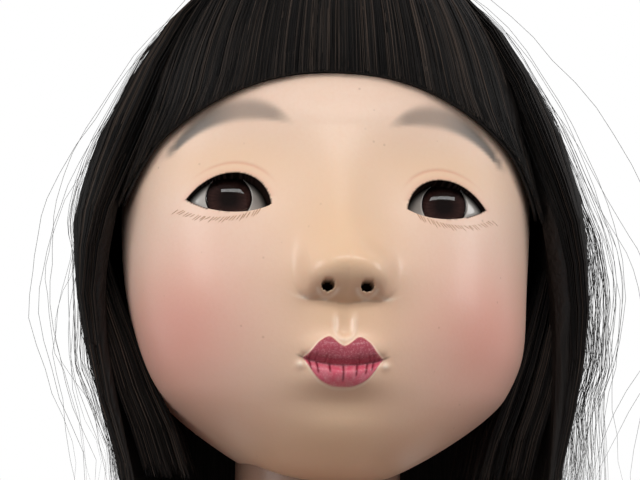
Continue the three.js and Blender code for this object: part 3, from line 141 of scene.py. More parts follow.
def smooth_through(places: Any, values: Any, at: Array) -> Array:
    """A smooth curve through a few values, read at any places.

    Args:
        places: rising places of the values.
        values: one value for each place.
        at: where to read the curve.

    Returns:
        The values there, held constant past both ends.
    """
    places, values = np.asarray(places, float), np.asarray(values, float)
    wide, tall = (np.concatenate([v[:1], v, v[-1:]]) for v in (places, values))
    slopes = (tall[2:] - tall[:-2]) / (wide[2:] - wide[:-2])
    at = np.clip(np.asarray(at, float), places[0], places[-1])
    k = np.clip(np.searchsorted(places, at) - 1, 0, len(places) - 2)
    span = places[k + 1] - places[k]
    t = (at - places[k]) / span
    rise = 3 * t**2 - 2 * t**3
    start = slopes[k] * span * (t**3 - 2 * t**2 + t)
    end = slopes[k + 1] * span * (t**3 - t**2)
    return mix(values[k], values[k + 1], rise) + start + end


def line_distance(x: Array, z: Array, line: Array) -> tuple[Array, Array, Array]:
    """Distance from points to a polyline in the front view.

    Args:
        x: the points' sideways places.
        z: the points' heights.
        line: the polyline's points, one (x, z) a row.

    Returns:
        The distance, the share along the line and the nearest point, each for every point.
    """
    points = np.stack([np.ravel(x), np.ravel(z)], -1)
    best = np.full(len(points), np.inf)
    share = np.zeros(len(points))
    nearest = np.zeros_like(points)
    steps = len(line) - 1
    for k in range(steps):
        a, b = line[k], line[k + 1]
        ab = b - a
        t = np.clip((points - a) @ ab / max(ab @ ab, 1e-12), 0, 1)
        foot = a + t[:, None] * ab
        away = np.linalg.norm(points - foot, axis=1)
        closer = away < best
        best[closer] = away[closer]
        share[closer] = (k + t[closer]) / steps
        nearest[closer] = foot[closer]
    shape = np.shape(x)
    return best.reshape(shape), share.reshape(shape), nearest.reshape(*shape, 2)


def inside_outline(x: Array, z: Array, outline: Array) -> Array:
    """Whether points lie inside a closed outline in the front view.

    Args:
        x: the points' sideways places.
        z: the points' heights.
        outline: the outline's points, one (x, z) a row.

    Returns:
        True for each point inside.
    """
    inside = np.zeros(np.shape(x), bool)
    for (ax, az), (bx, bz) in zip(outline, np.roll(outline, -1, axis=0)):
        crosses = (az > z) != (bz > z)
        safe = np.where(crosses, bz - az, 1)
        inside ^= crosses & (x < ax + (z - az) / safe * (bx - ax))
    return inside


def arc_lengths(points: Array, axis: int) -> Array:
    """Running length along one axis of a grid of points, starting at 0.

    Args:
        points: a grid of points.
        axis: the grid's axis to run along.

    Returns:
        A length for each point.
    """
    steps = np.linalg.norm(np.diff(points, axis=axis), axis=-1)
    start = np.zeros_like(np.take(steps, [0], axis=axis))
    return np.concatenate([start, np.cumsum(steps, axis=axis)], axis=axis)


# Meshes


def added(name: str, data: bpy.types.ID) -> Object:
    """A new object in the scene.

    Args:
        name: its name.
        data: its mesh, lamp or camera.

    Returns:
        The object.
    """
    obj = bpy.data.objects.new(name, data)
    bpy.context.scene.collection.objects.link(obj)
    return obj


def smooth_faces(mesh: bpy.types.Mesh) -> None:
    """Shades all faces of a mesh as one smooth surface."""
    mesh.polygons.foreach_set("use_smooth", np.ones(len(mesh.polygons), bool))


def plain_mesh(obj: Object, name: str) -> bpy.types.Mesh:
    """The smooth mesh that an object's modifiers make.

    Args:
        obj: the object.
        name: the mesh's name.

    Returns:
        The mesh.
    """
    mesh = bpy.data.meshes.new_from_object(obj.evaluated_get(bpy.context.evaluated_depsgraph_get()))
    mesh.name = name
    smooth_faces(mesh)
    return mesh


def add_layer(mesh: bpy.types.Mesh, key: str, values: Array) -> None:
    """Keeps a value for each point of a mesh."""
    layer = mesh.attributes.new(key, "FLOAT", "POINT")
    layer.data.foreach_set("value", np.asarray(values, np.float32).ravel())


def vectors(items: Any, key: str) -> Array:
    """A property of a mesh's points or faces, as rows of three.

    Args:
        items: the points or faces.
        key: the property's name.

    Returns:
        One row for each item.
    """
    values = np.empty(len(items) * 3)
    items.foreach_get(key, values)
    return values.reshape(-1, 3)


def dress(obj: Object, body: str, slot: str, *nodes: str) -> Object:
    """Puts a piece on a body, in the place of CAD nodes.

    Args:
        obj: the piece.
        body: the body that carries it.
        slot: not used.
        nodes: the CAD nodes that it replaces.

    Returns:
        The piece.
    """
    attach(obj, body)
    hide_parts(*nodes)
    return obj


class Sketch:
    """Collects grids and lofts of points, in millimetres, into one closed mesh with flat coordinates."""

    def __init__(self) -> None:
        """Starts without points and faces."""
        self.points: list[Array] = []
        self.faces: list[Array] = []
        self.corners: list[Array] = []
        self.finishes: list[int] = []
        self.count = 0

    def add_points(self, points: Array) -> Array:
        """Adds points.

        Args:
            points: points of any grid shape.

        Returns:
            Their numbers in that shape.
        """
        flat = np.asarray(points, float).reshape(-1, 3)
        numbers = np.arange(self.count, self.count + len(flat)).reshape(np.shape(points)[:-1])
        self.points.append(flat)
        self.count += len(flat)
        return numbers

    def add_faces(self, faces: Array, corners: Array | None = None, finish: int = 0) -> None:
        """Adds faces.

        Args:
            faces: rows of point numbers.
            corners: a flat coordinate for each corner.
            finish: the number of their finish.
        """
        self.faces.append(faces)
        self.corners.append(np.zeros((*faces.shape, 2)) if corners is None else corners)
        self.finishes += [finish] * len(faces)

    def patch(
        self, numbers: Array, flat: Array | None = None, wrap: bool = False, flip: bool = False, finish: int = 0
    ) -> None:
        """Joins a grid of numbers with four-sided faces.

        Args:
            numbers: point numbers, columns by rows.
            flat: flat coordinates of the grid, with one more column where it wraps.
            wrap: whether the last column joins the first.
            flip: whether the faces look the other way.
            finish: the number of the faces' finish.
        """
        ring = np.concatenate([numbers, numbers[:1]]) if wrap else numbers
        order = [3, 2, 1, 0] if flip else [0, 1, 2, 3]

        def quads(grid: Array) -> Array:
            """The four corners of each face."""
            return np.stack([grid[:-1, :-1], grid[1:, :-1], grid[1:, 1:], grid[:-1, 1:]], 2)[:, :, order]

        faces = quads(ring).reshape(-1, 4)
        self.add_faces(faces, None if flat is None else quads(flat).reshape(-1, 4, 2), finish)

    def fan(self, ring: Array, middle: Array, flip: bool) -> None:
        """Closes a ring of numbers with triangles round a middle point.

        Args:
            ring: numbers of the ring's points.
            middle: the point that closes it.
            flip: whether the faces look the other way.
        """
        centre = self.add_points(middle[None])[0]
        after = np.roll(ring, -1)
        self.add_faces(np.stack([np.full_like(ring, centre), *((after, ring) if flip else (ring, after))], 1))

    def thick_sheet(
        self,
        outer: Array,
        inner: Array,
        flat: Array | None = None,
        wrap: bool = False,
        rim: int = 0,
        fold: bool = False,
    ) -> "Sketch":
        """A sheet of cloth between two grids of points, closed by a rim.

        Args:
            outer: points of its outer side, columns by rows.
            inner: points of its inner side.
            flat: flat coordinates of both sides, with one more column where it wraps.
            wrap: whether the last column joins the first.
            rim: the number of the rim's finish.
            fold: whether the first row is a fold, with the sheet's own finish.

        Returns:
            This sketch.
        """
        o, n = self.add_points(outer), self.add_points(inner)
        self.patch(o, flat, wrap)
        self.patch(n, flat, wrap, flip=True)
        edges = [(np.s_[:, 0], True, 0 if fold else rim), (np.s_[:, -1], False, rim)]
        if not wrap:
            edges += [(0, False, rim), (-1, True, rim)]
        for at, flip, finish in edges:
            edge = None if flat is None else np.stack([flat[at], flat[at]], 1)
            self.patch(np.stack([o[at], n[at]], 1), edge, wrap, flip, finish)
        return self

    def loft(self, rings: Array, flat: Array | None = None) -> "Sketch":
        """A solid through a stack of closed rings, its ends closed by fans.

        Args:
            rings: closed rings of points, one a row.
            flat: flat coordinates, with one more for the closing edge.

        Returns:
            This sketch.
        """
        numbers = self.add_points(rings)
        self.patch(numbers.T, flat, wrap=True)
        for k, flip in ((0, True), (-1, False)):
            self.fan(numbers[k], rings[k].mean(0), flip)
        return self

    def hoop(self, points: Array, flat: Array) -> "Sketch":
        """A closed hoop of closed sections.

        Args:
            points: closed sections, one a row.
            flat: flat coordinates, with one more each way.

        Returns:
            This sketch.
        """
        numbers = self.add_points(points)
        self.patch(np.concatenate([numbers, numbers[:, :1]], 1), flat, wrap=True)
        return self

    def build(self, name: str, *materials: Material, **attributes: Array) -> Object:
        """Makes the object, its faces looking outwards.

        Args:
            name: the piece's name.
            materials: its finishes, in the order of their numbers.
            attributes: values for each point, under their names.

        Returns:
            The new object at the origin, with smooth faces.
        """
        points = np.concatenate(self.points) * MM
        volume = 0.0
        for faces in self.faces:
            first, *others = (points[column] for column in faces.T)
            for second, third in zip(others, others[1:]):
                volume += np.einsum("ij,ij->", first, np.cross(second, third))
        step = -1 if volume < 0 else 1
        rows = [face for faces in self.faces for face in faces[:, ::step].tolist()]
        mesh = bpy.data.meshes.new(name)
        mesh.from_pydata(points.tolist(), [], rows)
        flat = mesh.uv_layers.new(name="flat")
        flat.data.foreach_set("uv", np.concatenate([c[:, ::step].reshape(-1, 2) for c in self.corners]).ravel())
        for key, values in attributes.items():
            add_layer(mesh, key, values)
        smooth_faces(mesh)
        for material in materials:
            mesh.materials.append(material)
        mesh.polygons.foreach_set("material_index", self.finishes)
        mesh.update()
        LOG.info("%s: %d points, %d faces", name, len(mesh.vertices), len(mesh.polygons))
        return added(name, mesh)


# Materials


def srgb(red: int, green: int, blue: int) -> Colour:
    """A colour from its screen values, as linear light."""
    def linear(value: float) -> float:
        """One channel as linear light."""
        return value / 12.92 if value <= 0.04045 else ((value + 0.055) / 1.055) ** 2.4

    return linear(red / 255), linear(green / 255), linear(blue / 255)


class Nodes:
    """A node tree with short calls that add nodes, set their inputs and join them."""

    def __init__(self, tree: Tree) -> None:
        """Takes the tree that is added to."""
        self.tree = tree

    def put(self, socket: Socket, value: Any) -> None:
        """Links a socket to another one, or sets its value."""
        if isinstance(value, Socket):
            self.tree.links.new(value, socket)
        elif isinstance(value, tuple) and len(value) == 3 and socket.type == "RGBA":
            socket.default_value = (*value, 1)
        else:
            socket.default_value = value

    def node(self, kind: str, inputs: dict[str | int, Any] | None = None, **settings: Any) -> bpy.types.Node:
        """Adds a node.

        Args:
            kind: its type, without the first part for a shader node.
            inputs: values or sockets for its inputs, by name or number.
            settings: its properties, which are set first.

        Returns:
            The new node.
        """
        made = self.tree.nodes.new(kind if "Node" in kind else f"ShaderNode{kind}")
        for key, value in settings.items():
            setattr(made, key, value)
        for key, value in (inputs or {}).items():
            self.put(made.inputs[key], value)
        return made

    def noise(self, vector: Any, scale: float, detail: float = 2.0, roughness: float = 0.5) -> Socket:
        """Cloudy noise from 0 to 1, with scale features a metre."""
        inputs = {"Vector": vector, "Scale": scale, "Detail": detail, "Roughness": roughness}
        return self.node("TexNoise", inputs).outputs["Fac"]

    def range(self, value: Any, low: float, high: float, to_low: float = 0.0, to_high: float = 1.0) -> Socket:
        """A value carried from one range to another, held at its ends."""
        inputs = {"Value": value, "From Min": low, "From Max": high, "To Min": to_low, "To Max": to_high}
        return self.node("MapRange", inputs).outputs["Result"]

    def math(self, operation: str, first: Any, second: Any = 0.0) -> Socket:
        """One sum of two values."""
        return self.node("Math", {0: first, 1: second}, operation=operation).outputs[0]

    def blend(self, share: Any, first: Any, second: Any) -> Socket:
        """A colour between two colours."""
        return self.node("Mix", {0: share, 6: first, 7: second}, data_type="RGBA").outputs[2]

    def layer(self, under: Any, over: Any, value: Any, low: float, high: float, most: float = 1.0) -> Socket:
        """A colour laid over another as a value goes from low to high, up to a share."""
        return self.blend(self.range(value, low, high, 0, most), under, over)

    def ramp(self, value: Any, stops: list[tuple[float, Colour]]) -> Socket:
        """A colour read from stops along a value.

        Args:
            value: a value from 0 to 1.
            stops: places on the way with their colours.

        Returns:
            The colour.
        """
        made = self.node("ValToRGB", {0: value})
        bar = made.color_ramp.elements
        while len(bar) < len(stops):
            bar.new(0.5)
        for element, (at, colour) in zip(bar, stops):
            element.position = at
            element.color = (*colour, 1)
        return made.outputs["Color"]


class Shader(Nodes):
    """A material's node tree, with what its finishes read and set."""

    def __init__(self, name: str) -> None:
        """Starts a material with its main surface.

        Args:
            name: the material's name.
        """
        self.material = bpy.data.materials.new(name)
        self.material.use_nodes = True
        super().__init__(self.material.node_tree)
        self.surface = self.tree.nodes["Principled BSDF"]

    def set(self, **values: Any) -> None:
        """Sets or links inputs of the main surface, with _ for the spaces in their names."""
        for key, value in values.items():
            self.put(self.surface.inputs[key.replace("_", " ")], value)

    def attribute(self, name: str) -> Socket:
        """A value that the mesh holds for each point."""
        return self.node("Attribute", attribute_name=name).outputs["Fac"]

    def flat(self) -> Socket:
        """The cloth's flat coordinates, in metres."""
        return self.node("UVMap", uv_map="flat").outputs["UV"]

    def place(self) -> Socket:
        """The point in the doll's frame, in metres."""
        return self.node("TexCoord").outputs["Object"]

    def scaled(self, vector: Any, scale: tuple[float, float, float]) -> Socket:
        """A vector stretched along each axis."""
        return self.node("Mapping", {"Vector": vector, "Scale": scale}).outputs["Vector"]

    def bumps(self, height: Any, strength: float, distance: float) -> Socket:
        """A surface normal roughened by a height, with its distance in metres."""
        inputs = {"Height": height, "Strength": strength, "Distance": distance}
        return self.node("Bump", inputs).outputs["Normal"]

    def group(self, tree: Tree, **inputs: Any) -> Any:
        """The outputs of a shared node group with its named inputs set or linked."""
        return self.node("Group", inputs, node_tree=tree).outputs


def new_group(name: str, inputs: dict[str, str], outputs: dict[str, str], family: str = "Shader") -> tuple:
    """Starts a node group.

    Args:
        name: the group's name.
        inputs: the kinds of its input sockets, by name.
        outputs: the kinds of its output sockets, by name.
        family: what the group is for.

    Returns:
        Its nodes, the sockets that hold its inputs and those that take its outputs.
    """
    tree = bpy.data.node_groups.new(name, f"{family}NodeTree")
    for way, sockets in (("INPUT", inputs), ("OUTPUT", outputs)):
        for key, kind in sockets.items():
            tree.interface.new_socket(key, in_out=way, socket_type=f"NodeSocket{kind}")
    return Nodes(tree), tree.nodes.new("NodeGroupInput").outputs, tree.nodes.new("NodeGroupOutput").inputs


@cache
def aged_lacquer() -> Tree:
    """The shared effect of age on a lacquered surface: cloudy tone, small specks and a fine grain.

    Returns:
        The group, made once.
    """
    outputs = dict.fromkeys(("Cloud", "Specks", "Grain"), "Float")
    g, start, end = new_group("aged_lacquer", {"Vector": "Vector"}, outputs)
    place = start["Vector"]
    dots = g.node("TexVoronoi", {"Vector": place, "Scale": 330}).outputs
    small, few = g.range(dots["Distance"], 0.1, 0.05), g.range(dots["Color"], 0.55, 0.6)
    g.put(end["Cloud"], g.noise(place, 70, 4))
    g.put(end["Grain"], g.noise(place, 1500, 3))
    g.put(end["Specks"], g.math("MULTIPLY", small, few))
    return g.tree


@cache
def plain_weave() -> Tree:
    """The shared effect of a plain weave: the height of the threads and a little difference between them.

    Returns:
        The group, made once.
    """
    inputs = {"Vector": "Vector", "Threads": "Float"}
    g, start, end = new_group("plain_weave", inputs, {"Height": "Float", "Tone": "Float"})
    grown = g.node("VectorMath", {0: start["Vector"], "Scale": start["Threads"]}, operation="SCALE")
    parts = g.node("SeparateXYZ", {0: grown.outputs["Vector"]}).outputs
    waves = [g.math("SINE", g.math("MULTIPLY", parts[k], math.pi)) for k in "XY"]
    over = g.math("GREATER_THAN", g.math("MULTIPLY", *waves), 0.0)
    tops = [g.math("MULTIPLY", g.math("ABSOLUTE", wave), share)
            for wave, share in zip(waves, (over, g.math("SUBTRACT", 1.0, over)))]
    g.put(end["Height"], g.math("ADD", *tops))
    g.put(end["Tone"], g.noise(start["Vector"], 900, 3))
    return g.tree


@cache
def plum_blossoms() -> Tree:
    """Scattered five-petalled blossoms, a traditional pattern: masks of petals and hearts and a chance value.

    Returns:
        The group, made once.
    """
    outputs = dict.fromkeys(("Petals", "Heart", "Chance", "Vein"), "Float")
    g, start, end = new_group("plum_blossoms", {"Vector": "Vector", "Size": "Float"}, outputs)
    spread = g.node("CombineXYZ", dict.fromkeys("XYZ", start["Size"])).outputs[0]
    grown = g.node("VectorMath", {0: start["Vector"], 1: spread}, operation="DIVIDE").outputs[0]
    inputs = {"Vector": grown, "Scale": 1, "Randomness": 0.55}
    cells = g.node("TexVoronoi", inputs, voronoi_dimensions="2D").outputs
    local = g.node("VectorMath", {0: grown, 1: cells["Position"]}, operation="SUBTRACT").outputs[0]
    parts = g.node("SeparateXYZ", {0: local}).outputs
    chance = g.node("SeparateColor", {0: cells["Color"]}).outputs
    radius = g.node("VectorMath", {0: local}, operation="LENGTH").outputs["Value"]
    turned = g.math("ADD", g.math("ARCTAN2", parts["Y"], parts["X"]), g.math("MULTIPLY", chance[1], 6.0))
    fifth = 2 * math.pi / 5
    folded = g.math("SUBTRACT", g.math("FLOORED_MODULO", turned, fifth), fifth / 2)
    reach = g.math("MULTIPLY", radius, g.math("ADD", 0.8, g.math("MULTIPLY", chance[2], 0.5)))
    along = g.math("SUBTRACT", g.math("MULTIPLY", reach, g.math("COSINE", folded)), 0.155)
    aside = g.math("MULTIPLY", reach, g.math("SINE", folded))
    away = g.math("SQRT", g.math("ADD", g.math("MULTIPLY", along, along), g.math("MULTIPLY", aside, aside)))
    g.put(end["Petals"], g.range(away, 0.108, 0.1))
    g.put(end["Heart"], g.range(reach, 0.062, 0.052))
    g.put(end["Vein"], g.range(g.math("ABSOLUTE", aside), 0.012, 0.004))
    g.put(end["Chance"], chance[0])
    return g.tree


class Finish:
    """A finish of the doll's surfaces; each kind says in paint how its material looks."""

    name: str

    def make(self) -> Material:
        """Builds the material.

        Returns:
            The material.
        """
        shader = Shader(self.name)
        self.paint(shader)
        return shader.material

    def paint(self, s: Shader) -> None:
        """Sets up the material's nodes.

        Args:
            s: holds the nodes and the main surface.
        """
        raise NotImplementedError


@dataclass(frozen=True)
class GofunFinish(Finish):
    """Polished ground-shell lacquer, tinted like skin; the face adds its paint from the mesh's own values."""

    name: str
    base: Colour = srgb(234, 205, 186)
    warm: Colour = srgb(229, 193, 169)
    speck: Colour = srgb(120, 84, 62)
    blush: Colour = srgb(222, 120, 110)
    # painted highlights round the nostrils, along the nose's base, at the mouth and its corners
    pale: Colour = srgb(250, 228, 208)
    brow: Colour = srgb(108, 99, 92)
    lip: Colour = srgb(208, 82, 104)
    lip_streak: Colour = srgb(214, 130, 140)
    lip_sparkle: Colour = srgb(232, 166, 172)
    lip_shade: Colour = srgb(164, 68, 82)
    lip_line: Colour = srgb(122, 14, 40)
    crease: Colour = srgb(208, 138, 116)
    # painted shade in the nostrils and on the walls of the eye openings, also the dark of the upper lid's edge and of
    # the line between the lips
    dark: Colour = srgb(22, 14, 12)
    nail: Colour = srgb(226, 158, 146)
    # a warmer tint on the nose and over the eyes, which under the chin is painted warm shade
    tan: Colour = srgb(228, 190, 154)
    # painted shade under the chin, on the neck
    shade: Colour = srgb(110, 80, 65)
    painted: bool = False

    def paint(self, s: Shader) -> None:
        """Lays the tinted lacquer and over it the face's paint with its painted shade and highlights, or the nails and
        the painted shade of the neck under the chin.

        Args:
            s: holds the nodes and the main surface.
        """
        place = s.place()
        age = s.group(aged_lacquer(), Vector=place)
        colour = s.layer(self.base, self.warm, age["Cloud"], 0.35, 0.75, 0.55)
        colour = s.layer(colour, self.speck, age["Specks"], 0, 1, 0.35)
        colour = s.layer(colour, self.warm, s.noise(place, 1500, 3, 0.6), 0.42, 0.7, 0.3)
        for key in ("tan", "blush", "crease", "pale", "brow") if self.painted else ("nail", "shade"):
            colour = s.blend(s.attribute(key), colour, getattr(self, key))
        roughness = s.range(age["Cloud"], 0.3, 0.7, 0.34, 0.44)
        mirror, polish = 0.4, 0.1
        if self.painted:
            lip, dark = s.attribute("lip"), s.attribute("dark")
            streaks = s.noise(s.scaled(place, (1, 1, 0.25)), 900, 2)
            rouge = s.layer(self.lip, self.lip_streak, streaks, 0.35, 0.7, 0.7)
            rouge = s.blend(s.attribute("lip_shade"), rouge, self.lip_shade)
            rouge = s.layer(rouge, self.lip_sparkle, s.noise(place, 2600, 2, 0.7), 0.5, 0.8, 0.5)
            rouge = s.blend(s.attribute("lip_line"), rouge, self.lip_line)
            colour = s.blend(dark, s.blend(lip, colour, rouge), self.dark)
            roughness = s.math("ADD", roughness, s.math("MULTIPLY", lip, 0.08))
            mirror = s.range(dark, 0, 1, 0.4, 0)
            polish = s.range(s.attribute("gloss"), 0, 1, 0.05, 0.65)
        s.set(Base_Color=colour, Roughness=roughness, Normal=s.bumps(age["Grain"], 0.12, 0.0002))
        s.set(Specular_IOR_Level=mirror, Subsurface_Weight=0.06, Subsurface_Scale=0.002)
        s.set(Coat_Weight=polish, Coat_Roughness=0.14)


@dataclass(frozen=True)
class EyeWhiteFinish(Finish):
    """White glass, a little cloudy and darker under the lids."""

    name: str = "eye_white_glass"

    def paint(self, s: Shader) -> None:
        """Lays the cloudy white and the lids' shade.

        Args:
            s: holds the nodes and the main surface.
        """
        tone = s.layer(srgb(204, 198, 192), srgb(186, 180, 174), s.noise(s.place(), 260, 3), 0.3, 0.7)
        tone = s.blend(s.attribute("shade"), tone, srgb(30, 26, 24))
        s.set(Base_Color=tone, Roughness=0.12, Coat_Weight=0.4, Coat_Roughness=0.04)


@dataclass(frozen=True)
class IrisFinish(Finish):
    """Dark brown glass with fine fibres, a wide pupil and a dark rim."""

    name: str = "iris_glass"

    def paint(self, s: Shader) -> None:
        """Lays the rings from the pupil to the rim, the fibres and the lids' shade.

        Args:
            s: holds the nodes and the main surface.
        """
        radius = s.attribute("radius")
        inputs = {"X": s.attribute("turn_x"), "Y": s.attribute("turn_y"), "Z": s.math("MULTIPLY", radius, 0.15)}
        around = s.node("CombineXYZ", inputs).outputs["Vector"]
        rings = [(0.0, srgb(22, 16, 15)), (0.3, srgb(26, 18, 17)), (0.74, srgb(62, 41, 37))]
        rings += [(0.88, srgb(54, 36, 33)), (1.0, srgb(16, 11, 11))]
        tone = s.layer(s.ramp(radius, rings), srgb(18, 10, 9), s.noise(around, 9, 3, 0.6), 0.35, 0.75, 0.6)
        tone = s.blend(s.attribute("shade"), tone, srgb(4, 3, 3))
        s.set(Base_Color=tone, Roughness=0.6, Specular_IOR_Level=0)


@dataclass(frozen=True)
class LashFinish(Finish):
    """Thin brown paint, paler from stroke to stroke."""

    name: str = "lash_paint"

    def paint(self, s: Shader) -> None:
        """Lays each stroke's tone, worn in places.

        Args:
            s: holds the nodes and the main surface.
        """
        tone = s.blend(s.attribute("shade"), srgb(180, 138, 106), srgb(202, 164, 132))
        tone = s.layer(tone, srgb(212, 176, 148), s.noise(s.place(), 900, 2), 0.4, 0.7, 0.4)
        s.set(Base_Color=tone, Roughness=0.5)


@dataclass(frozen=True)
class ClearGlassFinish(Finish):
    """Clear glass that only mirrors, so that the iris stays in the light."""

    name: str = "clear_glass"
    refraction: float = 1.5

    def paint(self, s: Shader) -> None:
        """Mixes a mirror into a clear surface, by how flat the light falls on its outer side.

        Args:
            s: holds the nodes and the main surface.
        """
        haze = s.range(s.noise(s.place(), 500, 2), 0.3, 0.8, 0.02, 0.06)
        mirror = s.node("BsdfGlossy", {"Roughness": haze}).outputs[0]
        clear = s.node("BsdfTransparent").outputs[0]
        edge = s.node("Fresnel", {"IOR": self.refraction}).outputs[0]
        outside = s.math("SUBTRACT", 1.0, s.node("NewGeometry").outputs["Backfacing"])
        both = s.node("MixShader", {0: s.math("MULTIPLY", edge, outside), 1: clear, 2: mirror})
        s.put(s.tree.nodes["Material Output"].inputs["Surface"], both.outputs[0])
        s.tree.nodes.remove(s.surface)


@dataclass(frozen=True)
class HairFinish(Finish):
    """Straight black hair, a little different from strand to strand."""

    name: str = "hair"
    streaked: bool = False

    def paint(self, s: Shader) -> None:
        """Lays a tone for each strand, or streaks where the layer has no strands of its own.

        Args:
            s: holds the nodes and the main surface.
        """
        place = s.place()
        streaks = s.noise(s.scaled(place, (1, 1, 0.04)), 1100, 3) if self.streaked else s.attribute("shade")
        tone = s.ramp(streaks, [(0.2, srgb(12, 11, 11)), (0.75, srgb(30, 26, 24)), (1.0, srgb(68, 57, 50))])
        s.set(Base_Color=tone, Roughness=s.range(streaks, 0, 1, 0.42, 0.55), Specular_IOR_Level=0.22)
        if self.streaked:
            s.set(Normal=s.bumps(streaks, 0.6, 0.0006))


@dataclass(frozen=True)
class CrepeFinish(Finish):
    """Red silk crepe with scattered plum blossoms."""

    name: str
    ground: Colour = srgb(168, 28, 42)
    deep: Colour = srgb(132, 16, 32)
    thread: Colour = srgb(190, 52, 62)
    gold: Colour = srgb(222, 168, 70)
    threads: float = 1500.0
    flower: float = 0.03
    bud: float = 0.0145

    def paint(self, s: Shader) -> None:
        """Lays the red ground, the gold buds, the blossoms with their veins and hearts, and the crinkle.

        Args:
            s: holds the nodes and the main surface.
        """
        flat = s.flat()
        weave = s.group(plain_weave(), Vector=flat, Threads=self.threads)
        flowers = s.group(plum_blossoms(), Vector=flat, Size=self.flower)
        buds = s.group(plum_blossoms(), Vector=flat, Size=self.bud)
        colour = s.layer(self.ground, self.deep, s.noise(flat, 28, 3), 0.35, 0.7)
        colour = s.layer(colour, self.thread, weave["Tone"], 0.3, 0.7, 0.25)
        few = s.math("GREATER_THAN", buds["Chance"], 0.72)
        colour = s.blend(s.math("MULTIPLY", buds["Petals"], few), colour, srgb(226, 168, 84))
        petals = [(0.0, srgb(244, 232, 222)), (0.4, srgb(240, 190, 196))]
        petals += [(0.7, srgb(246, 236, 226)), (1.0, srgb(232, 160, 150))]
        petal = s.ramp(flowers["Chance"], petals)
        petal = s.blend(s.math("MULTIPLY", flowers["Vein"], 0.5), petal, srgb(214, 120, 128))
        colour = s.blend(flowers["Petals"], colour, petal)
        colour = s.blend(flowers["Heart"], colour, self.gold)
        crinkle = s.noise(s.scaled(flat, (1, 0.35, 1)), 1700, 3, 0.65)
        height = s.math("ADD", s.math("MULTIPLY", weave["Height"], 0.35), crinkle)
        s.set(Base_Color=colour, Roughness=s.range(crinkle, 0.3, 0.7, 0.52, 0.72))
        s.set(Normal=s.bumps(height, 0.35, 0.0003), Sheen_Weight=0.25, Sheen_Roughness=0.4, Specular_IOR_Level=0.35)


@dataclass(frozen=True)
class PlainClothFinish(Finish):
    """Plainly woven cloth in one tone, with threads a metre."""

    name: str
    light: Colour
    shade: Colour
    threads: float

    def paint(self, s: Shader) -> None:
        """Lays the cloudy tone and the threads.

        Args:
            s: holds the nodes and the main surface.
        """
        place = s.place()
        weave = s.group(plain_weave(), Vector=place, Threads=self.threads)
        tone = s.layer(self.light, self.shade, s.noise(place, 55, 3), 0.35, 0.7, 0.6)
        tone = s.layer(tone, self.shade, weave["Tone"], 0.35, 0.7, 0.35)
        s.set(Base_Color=tone, Roughness=s.range(weave["Tone"], 0, 1, 0.7, 0.9))
        s.set(Normal=s.bumps(weave["Height"], 0.3, 0.0002), Sheen_Weight=0.15, Specular_IOR_Level=0.3)


@dataclass(frozen=True)
class BrocadeFinish(Finish):
    """Gold brocade woven in a check of plain and figured squares."""

    name: str = "obi_brocade"
    check: float = 0.0105
    figure: float = 0.021
    threads: float = 1800.0

    def paint(self, s: Shader) -> None:
        """Lays the gold and green squares, the figures and the sunk threads of the green.

        Args:
            s: holds the nodes and the main surface.
        """
        flat = s.flat()
        weave = s.group(plain_weave(), Vector=flat, Threads=self.threads)
        squares = s.node("TexChecker", {"Vector": flat, "Scale": 1 / self.check}).outputs["Fac"]
        figure = s.group(plum_blossoms(), Vector=flat, Size=self.figure)
        thread = s.noise(s.scaled(flat, (0.12, 1, 1)), 2600, 2)
        gold = s.layer(srgb(206, 166, 84), srgb(178, 134, 58), thread, 0.3, 0.7)
        green = s.layer(srgb(38, 76, 70), srgb(26, 56, 54), thread, 0.3, 0.7)
        colour = s.blend(figure["Petals"], s.blend(squares, gold, green), srgb(232, 214, 176))
        colour = s.blend(figure["Heart"], colour, srgb(176, 60, 52))
        height = s.math("ADD", weave["Height"], s.math("MULTIPLY", squares, -0.6))
        s.set(Base_Color=colour, Roughness=s.range(thread, 0.2, 0.8, 0.38, 0.6))
        s.set(Metallic=s.range(squares, 0, 1, 0.35, 0.0), Normal=s.bumps(height, 0.35, 0.0003))


@dataclass(frozen=True)
class DappledFinish(Finish):
    """Pink silk tied and dyed in small raised white dots."""

    name: str = "scarf_silk"
    pink: Colour = srgb(226, 128, 140)
    dots: float = 330.0

    def paint(self, s: Shader) -> None:
        """Lays white rings with pink centres on the pink, and raises them.

        Args:
            s: holds the nodes and the main surface.
        """
        flat = s.flat()
        inputs = {"Vector": flat, "Scale": self.dots, "Randomness": 0.25}
        away = s.node("TexVoronoi", inputs, voronoi_dimensions="2D").outputs["Distance"]
        tone = s.layer(srgb(246, 226, 222), self.pink, away, 0.16, 0.3)
        tone = s.layer(tone, self.pink, away, 0.1, 0.04)
        tone = s.layer(tone, srgb(206, 104, 120), s.noise(flat, 60, 2), 0.4, 0.7, 0.4)
        s.set(Base_Color=tone, Roughness=s.range(away, 0, 0.5, 0.5, 0.7))
        s.set(Normal=s.bumps(away, -0.5, 0.0006), Sheen_Weight=0.3)


@dataclass(frozen=True)
class CordFinish(Finish):
    """Braided silk, green with some pale strands."""

    name: str = "obi_cord"

    def paint(self, s: Shader) -> None:
        """Lays a tone for each strand, and its fibres.

        Args:
            s: holds the nodes and the main surface.
        """
        strands = [(0.0, srgb(34, 96, 76)), (0.6, srgb(44, 112, 88))]
        strands += [(0.62, srgb(214, 196, 142)), (1.0, srgb(226, 210, 160))]
        fibre = s.noise(s.place(), 3200, 2)
        tone = s.layer(s.ramp(s.attribute("shade"), strands), srgb(24, 70, 56), fibre, 0.4, 0.7, 0.35)
        s.set(Base_Color=tone, Roughness=s.range(fibre, 0.3, 0.7, 0.42, 0.62))
        s.set(Normal=s.bumps(fibre, 0.3, 0.0002), Sheen_Weight=0.2)


